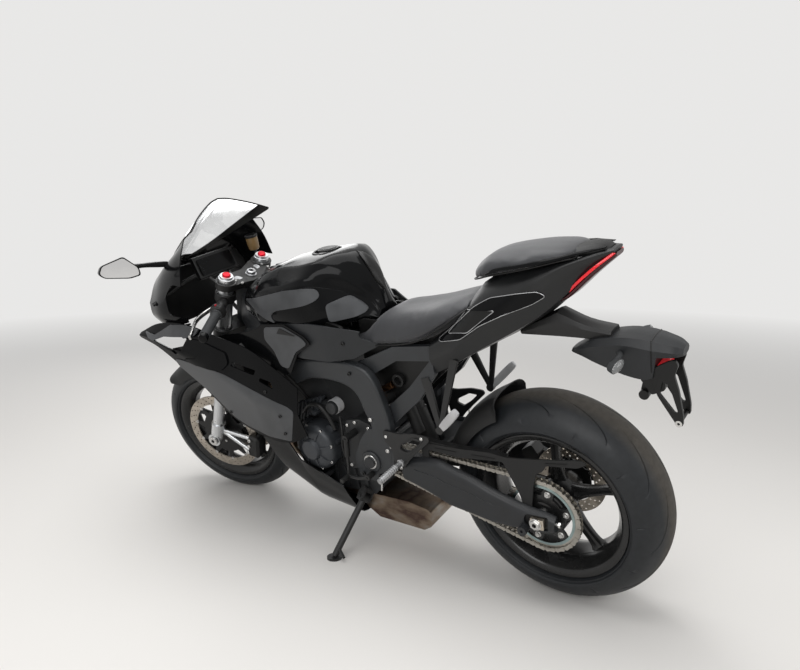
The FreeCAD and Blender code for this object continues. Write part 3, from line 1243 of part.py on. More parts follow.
def build():
    head = headstock()
    left_frame = frame_side(head)
    right_frame = mirrored(left_frame)
    engine = engine_block((left_frame, right_frame), belly_pan())
    tank = fuel_tank()
    saddle = rider_seat(tank)
    pad = pillion_seat()
    tail = tail_cowl((saddle, pad))
    cover = side_cover(tank, left_frame).cut(saddle)
    tank = tank.cut(left_frame).cut(right_frame)
    rail = subframe(left_frame, saddle, tail)
    cowl = upper_cowl()
    flank = side_fairing(cowl)
    pipes = exhaust(engine)
    leg = fork_leg(1)
    bar = handlebar()
    bridge = swingarm()
    arms = swing_arms()
    bracket = plate_bracket(tail)
    pan = belly_pan()
    root = {
        "headstock": head,
        "frame_spars": Part.makeCompound([left_frame, right_frame]),
        "engine_block": engine,
        "engine_covers": Part.makeCompound(engine_covers()),
        "radiator": radiator((left_frame, right_frame)),
        "exhaust": pipes,
        "silencer": silencer(pipes),
        "subframe": pair(rail),
        "passenger_pegs": pair(passenger_peg(tail, rail)),
        "stand_bracket": stand_bracket(engine),
        "swingarm": bridge,
        "swingarm_arms": arms,
        "stand_spools": stand_spools(),
        "rear_axle": rear_axle(),
        "rear_caliper": rear_caliper(),
        "rear_shock": rear_shock((left_frame, right_frame, bridge)),
        "hugger": hugger(arms),
        "chain_guard": chain_guard(arms),
        "chain": chain(),
        "foot_controls": Part.makeCompound([footpeg(left_frame), mirrored(footpeg(left_frame)),
                                            gear_lever(left_frame)]),
        "fuel_tank": tank,
        "side_covers": pair(cover),
        "rider_seat": saddle,
        "pillion_seat": pad,
        "tail_cowl": tail,
        "tail_light": tail_light(tail),
        "plate_bracket": bracket,
        "rear_indicators": pair(rear_indicator(bracket)),
        "upper_cowl": cowl,
        "windscreen": windscreen(),
        "instrument_panel": instrument_panel(head, cowl),
        "headlights": pair(headlight(cowl)),
        "side_fairings": pair(flank),
        "belly_pan": pan,
        "mirrors": pair(mirror(cowl)),
        "fuel_cap": fuel_cap(),
        "side_stand": side_stand(),
        "rear_rim": rim(REAR_AXLE, REAR_RIM_WIDTH, REAR_HUB_RADIUS, REAR_HUB_HALF),
        "rear_tyre": tyre(REAR_AXLE, REAR_TYRE_RADIUS, REAR_TYRE_WIDTH, REAR_RIM_WIDTH),
        "rear_disc": disc(REAR_AXLE, -REAR_DISC_OFFSET, REAR_DISC_RADIUS, DISC_BORE_RADIUS),
        "rear_sprocket": rear_sprocket(),
    }
    steering = {
        "triple_clamps": triple_clamps(),
        "fork_legs": pair(leg),
        "front_axle": front_axle(),
        "front_mudguard": front_mudguard(),
        "handlebars": pair(bar),
        "hand_controls": Part.makeCompound([lever(), mirrored(lever()), reservoir(mirrored(bar))]),
        "front_calipers": pair(front_caliper(leg)),
        "front_rim": rim(FRONT_AXLE, FRONT_RIM_WIDTH, FRONT_HUB_RADIUS, FRONT_HUB_HALF),
        "front_tyre": tyre(FRONT_AXLE, FRONT_TYRE_RADIUS, FRONT_TYRE_WIDTH, FRONT_RIM_WIDTH),
        "front_discs": pair(disc(FRONT_AXLE, FRONT_DISC_OFFSET, FRONT_DISC_RADIUS, DISC_BORE_RADIUS)),
    }
    nodes = dict(root)
    for name, shape in steering.items():
        nodes[name] = turned(shape)
    return nodes


def place(nodes):
    """Lean every node and move the origin below the middle of the whole machine."""
    parked = {}
    for name, shape in nodes.items():
        moved = shape.copy()
        moved.Placement = PARKED.multiply(moved.Placement)
        parked[name] = moved
    box = FreeCAD.BoundBox()
    for shape in parked.values():
        box.add(shape.BoundBox)
    shift = Vector(-(box.XMin + box.XMax) / 2, -(box.YMin + box.YMax) / 2, 0)
    for shape in parked.values():
        shape.translate(shift)
    return parked, shift


def report_axes(shift):
    """Print the joint pins and directions in the finished frame."""
    turn = PARKED.Rotation
    steer = FreeCAD.Rotation(STEER_UP, STEER_REST_DEG)

    def spot(point):
        return [round(v / 1000, 5) for v in PARKED.multVec(point) + shift]

    def way(direction):
        return [round(v, 6) for v in turn.multVec(direction)]

    print("shift", shift)
    print("steering", spot(steer_point(620, 0, 0)), way(STEER_UP))
    front = steer.multVec(FRONT_AXLE - STEER_FOOT) + STEER_FOOT
    print("front_wheel", spot(front), way(steer.multVec(Y_AXIS)))
    print("rear_wheel", spot(REAR_AXLE), way(Y_AXIS))
    print("side_stand", spot(Vector(*STAND_PIVOT)), way(STAND_AXIS), round(STAND_SWING_DEG, 1))
    print("fuel_cap", spot(CAP_HINGE), way(Y_AXIS))
    print("steering_stem", spot(steer_point((BOTTOM_CLAMP[0] + TOP_CLAMP[1]) / 2, 0, 0)), way(STEER_UP))
    for side in (1, -1):
        middle = ARM_OUTER + SPOOL_HEIGHT - SPOOL_HOLE_DEPTH / 2
        print("spool", spot(Vector(SPOOL[0], side * middle, SPOOL[1])), way(Y_AXIS * side))
    print("plate_seat", spot(Vector(-349, 34, 730)), way(Vector(-80, 0, 6).normalize()))


if __name__ == "__main__":
    os.makedirs("parts", exist_ok=True)
    finished, offset = place(build())
    for node, solid in finished.items():
        solid.exportStep("parts/" + node + ".step")
    report_axes(offset)
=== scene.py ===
import json
import logging
import math
from dataclasses import dataclass, field
from enum import Enum
from typing import Callable, Iterable, Sequence

import bmesh
import bpy
from mathutils import Matrix, Vector
from mathutils.bvhtree import BVHTree


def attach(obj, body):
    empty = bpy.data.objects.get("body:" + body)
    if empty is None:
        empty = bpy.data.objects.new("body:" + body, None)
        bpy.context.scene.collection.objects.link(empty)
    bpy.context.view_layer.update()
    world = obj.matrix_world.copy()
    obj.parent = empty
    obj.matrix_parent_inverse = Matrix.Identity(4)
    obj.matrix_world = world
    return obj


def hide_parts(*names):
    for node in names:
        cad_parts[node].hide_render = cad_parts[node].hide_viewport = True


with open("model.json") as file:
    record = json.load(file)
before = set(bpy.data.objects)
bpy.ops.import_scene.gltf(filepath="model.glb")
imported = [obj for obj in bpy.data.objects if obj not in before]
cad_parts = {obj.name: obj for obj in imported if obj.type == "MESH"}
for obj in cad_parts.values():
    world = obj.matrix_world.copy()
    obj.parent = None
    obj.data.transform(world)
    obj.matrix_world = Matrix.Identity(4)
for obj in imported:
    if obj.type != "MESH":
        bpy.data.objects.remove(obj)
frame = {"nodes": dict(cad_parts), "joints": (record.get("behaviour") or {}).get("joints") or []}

# The looks of a supersport motorcycle on its side stand. Every piece is drawn upright and
# straight ahead, in millimetres, X forward from the rear axle, Y to the rider's left and
# Z up from the floor. Stance then leans it, and turns what the steering carries.

LOG = logging.getLogger("motorcycle")
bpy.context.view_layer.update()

MM = 0.001
RAKE = math.radians(24.0)
TURN = 2 * math.pi
ROUND_STEPS = 40
STEER_UP = Vector((-math.sin(RAKE), 0.0, math.cos(RAKE)))
STEER_AHEAD = Vector((math.cos(RAKE), 0.0, math.sin(RAKE)))
LEFT = Vector((0.0, 1.0, 0.0))
REAR_RADIUS = 326.0
FRONT_RADIUS = 300.0
WHEELBASE = 1455.0
TRAIL = 102.0
REAR_AXLE = Vector((0.0, 0.0, REAR_RADIUS))
FRONT_AXLE = Vector((WHEELBASE, 0.0, FRONT_RADIUS))
FORK_OFFSET = (FRONT_AXLE - Vector((WHEELBASE + TRAIL, 0.0, 0.0))).dot(STEER_AHEAD)
STEER_FOOT = FRONT_AXLE - STEER_AHEAD * FORK_OFFSET


def steer_point(height: float, ahead: float, side: float) -> Vector:
    """A point in the fork's own frame.

    Args:
        height: millimetres up the steering axis from the foot of the fork.
        ahead: millimetres in front of the steering axis.
        side: millimetres to the left.

    Returns:
        The point in the upright layout.
    """
    return STEER_FOOT + STEER_UP * height + STEER_AHEAD * ahead + LEFT * side


def fork_point(height: float, side: float = 0.0) -> Vector:
    """A point on the line of the fork legs."""
    return steer_point(height, FORK_OFFSET, side)


class Body(Enum):
    """The moving bodies of the machine."""

    CHASSIS = "chassis"
    STEERING = "steering"
    FRONT_WHEEL = "front_wheel"
    REAR_WHEEL = "rear_wheel"
    STAND = "side_stand"
    CAP = "fuel_cap"


@dataclass(frozen=True)
class Stance:
    """Matrices from the upright layout to the parked machine.

    Args:
        chassis: for what leans with the machine.
        steering: for what also turns with the bars.
    """

    chassis: Matrix
    steering: Matrix

    @classmethod
    def read(cls, joints: Sequence[dict]) -> "Stance":
        """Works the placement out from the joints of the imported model.

        Args:
            joints: the joints with their positions and axes at rest.

        Returns:
            The two matrices.
        """
        named = {joint["name"]: joint for joint in joints}
        side = Vector(named["rear_wheel_spin"]["axis"]).normalized()
        up = Vector(named["steering"]["axis"]).normalized()
        parked = Matrix((side.cross(up), side, up)).transposed()
        drawn = Matrix((STEER_AHEAD, LEFT, STEER_UP))
        turn = parked @ drawn
        hub = Vector(named["rear_wheel_spin"]["pos_m"])
        chassis = (Matrix.Translation(hub - turn @ (REAR_AXLE * MM)) @ turn.to_4x4()
                   @ Matrix.Scale(MM, 4))
        front = Vector(named["front_wheel_spin"]["axis"]).normalized()
        angle = math.atan2(side.cross(front).dot(up), side.dot(front))
        pivot = Matrix.Translation(Vector(named["steering"]["pos_m"]))
        steering = pivot @ Matrix.Rotation(angle, 4, up) @ pivot.inverted() @ chassis
        return cls(chassis, steering)

    def matrix(self, body: Body) -> Matrix:
        """The matrix for pieces that ride on a body."""
        turned = body in (Body.STEERING, Body.FRONT_WHEEL)
        return self.steering if turned else self.chassis


STANCE = Stance.read(frame["joints"])


class Shader:
    """One node material under construction, with a Principled surface."""

    def __init__(self, name: str) -> None:
        """Args:
            name: the material's name.
        """
        self.material = bpy.data.materials.new(name)
        self.material.use_nodes = True
        self.nodes = self.material.node_tree.nodes
        self.links = self.material.node_tree.links
        self.surface = self.nodes["Principled BSDF"]
        self.place = self.nodes.new("ShaderNodeTexCoord").outputs["Object"]

    def put(self, **values: object) -> "Shader":
        """Sets constant sockets of the surface.

        Args:
            values: socket names with underscores for spaces.

        Returns:
            The shader itself.
        """
        for name, value in values.items():
            self.surface.inputs[name.replace("_", " ")].default_value = value
        return self

    def noise(self, scale: float, detail: float = 3.0,
              stretch: tuple[float, float, float] = (1, 1, 1)) -> object:
        """Grain over the object's own space.

        Args:
            scale: cells a metre.
            detail: layers of finer grain.
            stretch: scale along each axis.

        Returns:
            The grain's value socket.
        """
        mapping = self.nodes.new("ShaderNodeMapping")
        mapping.inputs["Scale"].default_value = stretch
        self.links.new(self.place, mapping.inputs["Vector"])
        grain = self.nodes.new("ShaderNodeTexNoise")
        grain.inputs["Scale"].default_value = scale
        grain.inputs["Detail"].default_value = detail
        self.links.new(mapping.outputs["Vector"], grain.inputs["Vector"])
        return grain.outputs["Fac"]

    def cells(self, scale: float) -> object:
        """Rounded cells, as in leather grain or cast metal, as a distance socket."""
        grain = self.nodes.new("ShaderNodeTexVoronoi")
        grain.inputs["Scale"].default_value = scale
        self.links.new(self.place, grain.inputs["Vector"])
        return grain.outputs["Distance"]

    def attribute(self, name: str) -> object:
        """The value of a mesh attribute as a socket."""
        node = self.nodes.new("ShaderNodeAttribute")
        node.attribute_name = name
        return node.outputs["Fac"]

    def spread(self, value: object, low: float, high: float, start: float = 0.3, end: float = 0.7) -> object:
        """Maps a value socket onto a range.

        Args:
            value: the socket.
            low: result at and below start.
            high: result at and above end.
            start: value that gives low.
            end: value that gives high.

        Returns:
            The mapped socket.
        """
        node = self.nodes.new("ShaderNodeMapRange")
        node.inputs["From Min"].default_value = start
        node.inputs["From Max"].default_value = end
        node.inputs["To Min"].default_value = low
        node.inputs["To Max"].default_value = high
        self.links.new(value, node.inputs["Value"])
        return node.outputs["Result"]

    def blend(self, value: object, colours: Sequence[tuple[float, tuple[float, float, float]]]) -> object:
        """A colour ramp over a value socket.

        Args:
            value: the socket.
            colours: pairs of place and colour.

        Returns:
            The colour socket.
        """
        node = self.nodes.new("ShaderNodeValToRGB")
        stops = node.color_ramp.elements
        while len(stops) < len(colours):
            stops.new(0.5)
        for stop, (where, colour) in zip(stops, colours):
            stop.position = where
            stop.color = (*colour, 1.0)
        self.links.new(value, node.inputs["Fac"])
        return node.outputs["Color"]

    def feed(self, socket: object, name: str) -> "Shader":
        """Links a socket to an input of the surface."""
        self.links.new(socket, self.surface.inputs[name])
        return self

    def bump(self, height: object, depth_mm: float, strength: float = 1.0) -> "Shader":
        """Adds relief to the surface, over any relief that is there.

        Args:
            height: the height socket.
            depth_mm: depth of the relief in millimetres.
            strength: share of the effect.

        Returns:
            The shader itself.
        """
        node = self.nodes.new("ShaderNodeBump")
        node.inputs["Strength"].default_value = strength
        node.inputs["Distance"].default_value = depth_mm * MM
        self.links.new(height, node.inputs["Height"])
        normal = self.surface.inputs["Normal"]
        if normal.is_linked:
            self.links.new(normal.links[0].from_socket, node.inputs["Normal"])
        self.links.new(node.outputs["Normal"], normal)
        return self


def grey(value: float, tint: tuple[float, float, float] = (1.0, 1.0, 1.0)) -> tuple[float, float, float]:
    """A linear colour from a level and a tint."""
    return tuple(value * part for part in tint)


@dataclass(frozen=True)
class Lacquer:
    """Gloss paint under a clear coat, with faint orange peel and handling haze.

    Args:
        name: the finish.
        colour: the pigment.
        haze: roughness of the hazed places.
    """

    name: str
    colour: tuple[float, float, float]
    haze: float = 0.2

    def material(self) -> bpy.types.Material:
        """Builds the material."""
        shader = Shader(self.name)
        cloud = shader.noise(9.0, 4.0)
        low = tuple(part * 0.85 for part in self.colour)
        shader.feed(shader.blend(cloud, [(0.3, low), (0.7, self.colour)]), "Base Color")
        shader.feed(shader.spread(cloud, 0.1, self.haze), "Roughness")
        shader.put(Coat_Weight=0.12, Coat_Roughness=0.04, Specular_IOR_Level=0.06)
        return shader.bump(shader.noise(260.0, 1.0), 0.02, 0.35).material


@dataclass(frozen=True)
class PowderCoat:
    """Satin coating on cast or pressed metal, with a fine grain and rubbed places.

    Args:
        name: the finish.
        colour: the coating.
        roughness: its middle roughness.
        grain: cells a metre.
        depth_mm: depth of the grain.
        metal: how metallic it looks.
    """

    name: str
    colour: tuple[float, float, float]
    roughness: float = 0.42
    grain: float = 900.0
    depth_mm: float = 0.05
    metal: float = 0.0

    def material(self) -> bpy.types.Material:
        """Builds the material.

        Returns:
            The node material.
        """
        shader = Shader(self.name)
        cloud = shader.noise(14.0, 5.0)
        low = tuple(part * 0.78 for part in self.colour)
        high = tuple(min(1.0, part * 1.18) for part in self.colour)
        shader.feed(shader.blend(cloud, [(0.3, low), (0.72, high)]), "Base Color")
        shader.feed(shader.spread(cloud, self.roughness - 0.07, self.roughness + 0.09), "Roughness")
        shader.put(Metallic=self.metal, Specular_IOR_Level=0.4)
        return shader.bump(shader.noise(self.grain, 2.0), self.depth_mm, 0.5).material


@dataclass(frozen=True)
class BareMetal:
    """Uncoated metal with tool marks and small differences of polish.

    Args:
        name: the finish.
        colour: the metal.
        roughness: its middle roughness.
        marks: tool marks a metre.
        stretch: how the marks run along the three axes.
        stain: colour of darker, handled places.
    """

    name: str
    colour: tuple[float, float, float]
    roughness: float = 0.3
    marks: float = 700.0
    stretch: tuple[float, float, float] = (1.0, 1.0, 1.0)
    stain: float = 0.75

    def material(self) -> bpy.types.Material:
        """Builds the material."""
        shader = Shader(self.name)
        cloud = shader.noise(30.0, 5.0)
        dark = tuple(part * self.stain for part in self.colour)
        shader.feed(shader.blend(cloud, [(0.32, dark), (0.62, self.colour)]), "Base Color")
        shader.feed(shader.spread(cloud, self.roughness + 0.1, self.roughness - 0.05), "Roughness")
        shader.put(Metallic=1.0)
        return shader.bump(shader.noise(self.marks, 2.0, self.stretch), 0.03, 0.5).material


@dataclass(frozen=True)
class TyreRubber:
    """Tyre compound: a scrubbed, dusty crown over smooth, bluish-black walls.

    Args:
        name: the finish.
        wall: colour of the side wall.
        crown: colour of the scrubbed tread.
    """

    name: str
    wall: tuple[float, float, float]
    crown: tuple[float, float, float]

    def material(self) -> bpy.types.Material:
        """Builds the material.

        Returns:
            The node material.
        """
        shader = Shader(self.name)
        tread = shader.attribute("tread")
        colour = shader.blend(tread, [(0.0, self.wall), (0.45, self.wall), (0.8, self.crown)])
        mottle = shader.blend(shader.noise(60.0, 6.0), [(0.3, grey(0.75)), (0.7, grey(1.1))])
        mix = shader.nodes.new("ShaderNodeMix")
        mix.data_type = "RGBA"
        mix.blend_type = "MULTIPLY"
        mix.inputs["Factor"].default_value = 1.0
        shader.links.new(colour, mix.inputs[6])
        shader.links.new(mottle, mix.inputs[7])
        shader.feed(mix.outputs[2], "Base Color")
        shader.feed(shader.spread(tread, 0.46, 0.78, 0.3, 0.8), "Roughness")
        shader.put(Specular_IOR_Level=0.35)
        shader.bump(shader.noise(1400.0, 2.0), 0.05, 0.4)
        return shader.bump(shader.noise(90.0, 3.0), 0.15, 0.25).material


@dataclass(frozen=True)
class Moulding:
    """Moulded plastic or hard rubber with a spark-eroded grain.

    Args:
        name: the finish.
        colour: its colour.
        roughness: its middle roughness.
        grain: cells a metre.
        depth_mm: depth of the grain.
    """

    name: str
    colour: tuple[float, float, float]
    roughness: float = 0.5
    grain: float = 1100.0
    depth_mm: float = 0.06

    def material(self) -> bpy.types.Material:
        """Builds the material."""
        shader = Shader(self.name)
        cloud = shader.noise(18.0, 4.0)
        low = tuple(part * 0.8 for part in self.colour)
        shader.feed(shader.blend(cloud, [(0.3, low), (0.7, self.colour)]), "Base Color")
        shader.feed(shader.spread(cloud, self.roughness - 0.06, self.roughness + 0.08), "Roughness")
        shader.put(Specular_IOR_Level=0.3)
        return shader.bump(shader.cells(self.grain), self.depth_mm, 0.45).material


@dataclass(frozen=True)
class Upholstery:
    """Grained seat vinyl with a soft sheen.

    Args:
        name: the finish.
        colour: its colour.
        sheen: strength of the sheen.
    """

    name: str
    colour: tuple[float, float, float]
    sheen: float = 0.25

    def material(self) -> bpy.types.Material:
        """Builds the material.

        Returns:
            The node material.
        """
        shader = Shader(self.name)
        cloud = shader.noise(8.0, 4.0)
        low = tuple(part * 0.82 for part in self.colour)
        shader.feed(shader.blend(cloud, [(0.3, low), (0.7, self.colour)]), "Base Color")
        shader.feed(shader.spread(cloud, 0.42, 0.56), "Roughness")
        shader.put(Sheen_Weight=self.sheen, Sheen_Roughness=0.4, Specular_IOR_Level=0.45)
        shader.bump(shader.cells(620.0), 0.14, 0.5)
        return shader.bump(shader.noise(1500.0, 2.0), 0.05, 0.4).material


@dataclass(frozen=True)
class ClearPart:
    """Clear or tinted plastic and glass.

    Args:
        name: the finish.
        colour: the tint.
        roughness: its haze.
        through: how much light passes.
        glow: strength of a painted lit look, an emission that stands in for the light that the reflector
            behind gives.
    """

    name: str
    colour: tuple[float, float, float]
    roughness: float = 0.03
    through: float = 1.0
    glow: float = 0.0

    def material(self) -> bpy.types.Material:
        """Builds the material.

        Returns:
            The node material.
        """
        shader = Shader(self.name)
        cloud = shader.noise(20.0, 3.0)
        low = tuple(part * 0.93 for part in self.colour)
        shader.feed(shader.blend(cloud, [(0.3, low), (0.7, self.colour)]), "Base Color")
        shader.feed(shader.spread(cloud, self.roughness, self.roughness + 0.03), "Roughness")
        shader.put(Transmission_Weight=self.through, IOR=1.45)
        # Painted light: the emission makes the part shine by itself, in place of light that a reflector
        # behind would send back.
        if self.glow:
            shader.put(Emission_Color=(*self.colour, 1.0), Emission_Strength=self.glow)
        return shader.material


@dataclass(frozen=True)
class HeatStained:
    """Exhaust steel, straw to brown where it has run hot.

    Args:
        name: the finish.
        pale: colour of the coolest metal.
        straw: colour of the warm metal.
        brown: colour of the hottest metal.
    """

    name: str
    pale: tuple[float, float, float]
    straw: tuple[float, float, float]
    brown: tuple[float, float, float]

    def material(self) -> bpy.types.Material:
        """Builds the material."""
        shader = Shader(self.name)
        cloud = shader.noise(9.0, 5.0, (1.0, 1.0, 2.2))
        ramp = [(0.3, self.pale), (0.48, self.straw), (0.62, self.brown), (0.75, self.straw)]
        shader.feed(shader.blend(cloud, ramp), "Base Color")
        shader.feed(shader.spread(cloud, 0.28, 0.5), "Roughness")
        shader.put(Metallic=0.9)
        return shader.bump(shader.noise(180.0, 4.0), 0.1, 0.4).material


class Palette:
    """Every finish of the machine, each built once."""

    BLACK_GLOSS = Lacquer("gloss_black_lacquer", grey(0.004, (0.95, 1.0, 1.1)))
    FRAME = PowderCoat("frame_satin_black", grey(0.024, (0.92, 1.0, 1.1)), 0.4)
    ARM = PowderCoat("swingarm_satin_black", grey(0.015, (0.92, 1.0, 1.12)), 0.42)
    ENGINE = PowderCoat("engine_case_black", grey(0.016, (0.95, 1.0, 1.06)), 0.46, 500.0, 0.12)
    COVER = PowderCoat("engine_cover_grey", grey(0.045, (0.92, 1.0, 1.12)), 0.38, 700.0, 0.08, 0.3)
    BRACKET = PowderCoat("bracket_black", grey(0.011), 0.45)
    RIM = PowderCoat("wheel_black", grey(0.012), 0.24, 500.0, 0.02)
    PANEL = Moulding("side_cover_grey_plastic", grey(0.022, (0.94, 1.0, 1.08)), 0.46)
    PANEL_SATIN = PowderCoat("panel_satin_grey", grey(0.062, (0.96, 1.0, 1.06)), 0.34, 700.0, 0.02, 0.35)
    TAIL = PowderCoat("tail_satin_black", grey(0.008, (0.95, 1.0, 1.06)), 0.36, 800.0, 0.02)
    PLASTIC = Moulding("black_plastic", grey(0.012), 0.5)
    BLACK_DEEP = Moulding("deep_black_plastic", grey(0.005), 0.38, 700.0, 0.03)
    SOFT = Moulding("grip_rubber", grey(0.035, (0.95, 1.0, 1.05)), 0.62, 900.0, 0.12)
    HOSE = Moulding("hose_rubber", grey(0.014), 0.42, 500.0, 0.04)
    VINYL = Upholstery("seat_vinyl", grey(0.027, (0.95, 0.98, 1.1)))
    TYRE = TyreRubber("tyre_rubber", grey(0.013, (0.88, 1.0, 1.15)), grey(0.05, (1.12, 1.0, 0.84)))
    STEEL = BareMetal("bright_steel", grey(0.62, (1.0, 0.99, 0.97)), 0.26)
    CHAIN = BareMetal("chain_nickel", grey(0.42, (1.0, 0.95, 0.86)), 0.34, 500.0)
    CHAMPAGNE = BareMetal("champagne_alloy", (0.56, 0.5, 0.42), 0.36)
    DISC = BareMetal("disc_steel", (0.47, 0.42, 0.36), 0.38, 900.0)
    ALLOY = BareMetal("cast_alloy", grey(0.5, (0.99, 1.0, 1.02)), 0.34)
    FORK = BareMetal("fork_tube_silver", grey(0.66, (0.98, 1.0, 1.02)), 0.3, 500.0, (1, 1, 1), 0.92)
    BRONZE = BareMetal("bronze_anodised", (0.32, 0.16, 0.08), 0.28)
    TEAL = BareMetal("blued_ring", (0.3, 0.38, 0.38), 0.3)
    RED = BareMetal("red_anodised", (0.62, 0.02, 0.035), 0.32)
    MIRROR = BareMetal("mirror_silver", grey(0.86), 0.02, 60.0, (1, 1, 1), 0.98)
    HEADER = HeatStained("heat_stained_steel", (0.36, 0.34, 0.31), (0.25, 0.19, 0.14), (0.09, 0.055, 0.045))
    CORE = BareMetal("radiator_core", grey(0.05), 0.5, 400.0)
    SCREEN = ClearPart("clear_screen", (0.93, 0.94, 0.95))
    LENS = ClearPart("clear_lens", (0.93, 0.94, 0.94), 0.05, 0.85)
    # Painted light: the red lens emits a little light of its own, standing in for the lit look of the
    # reflector behind it.
    RED_LENS = ClearPart("red_lens", (0.75, 0.02, 0.03), 0.12, 0.35, 0.25)
    DARK_LENS = ClearPart("smoked_red_lens", (0.05, 0.006, 0.008), 0.12, 0.2, 0.0)
    SILVER = PowderCoat("silver_paint", grey(0.42, (1.0, 1.0, 1.01)), 0.36, 700.0, 0.01)
    DARK_STEEL = BareMetal("black_oxide_screw", grey(0.05), 0.4)
    # Painted light: the fluid cup emits a faint amber light of its own, though it is no lamp.
    FLUID = ClearPart("fluid_amber", (0.22, 0.14, 0.06), 0.1, 0.3, 0.05)

    built: dict[str, bpy.types.Material] = {}

    @classmethod
    def of(cls, finish: object) -> bpy.types.Material:
        """The material of a finish.

        Args:
            finish: one of the finishes above.

        Returns:
            The Blender material, made on first use.
        """
        if finish.name not in cls.built:
            cls.built[finish.name] = finish.material()
        return cls.built[finish.name]


def finish_mesh(mesh: bpy.types.Mesh, finish: object, smooth_deg: float) -> None:
    """Shades a mesh smooth between its sharp edges and gives it its finish.

    Args:
        mesh: the mesh.
        finish: its finish.
        smooth_deg: edges that turn further than this stay sharp.
    """
    mesh.shade_smooth()
    mesh.set_sharp_from_angle(angle=math.radians(smooth_deg))
    mesh.materials.clear()
    mesh.materials.append(Palette.of(finish))


def mount(mesh: bpy.types.Mesh, name: str, body: Body, replaces: Sequence[str] = (),
          weighted: bool = False) -> bpy.types.Object:
    """Makes a finished mesh a piece of the machine.

    Args:
        mesh: a mesh in its final place.
        name: the piece.
        body: what it moves with.
        replaces: plain nodes that it stands for.
        weighted: whether flat faces keep their own shading beside rounded edges.

    Returns:
        The piece.
    """
    piece = bpy.data.objects.new(name, mesh)
    bpy.context.scene.collection.objects.link(piece)
    if weighted:
        modifier = piece.modifiers.new("flat_faces", "WEIGHTED_NORMAL")
        modifier.keep_sharp = True
    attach(piece, body.value)
    if replaces:
        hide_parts(*replaces)
    LOG.info("%s: %d faces on %s", name, len(mesh.polygons), body.value)
    return piece


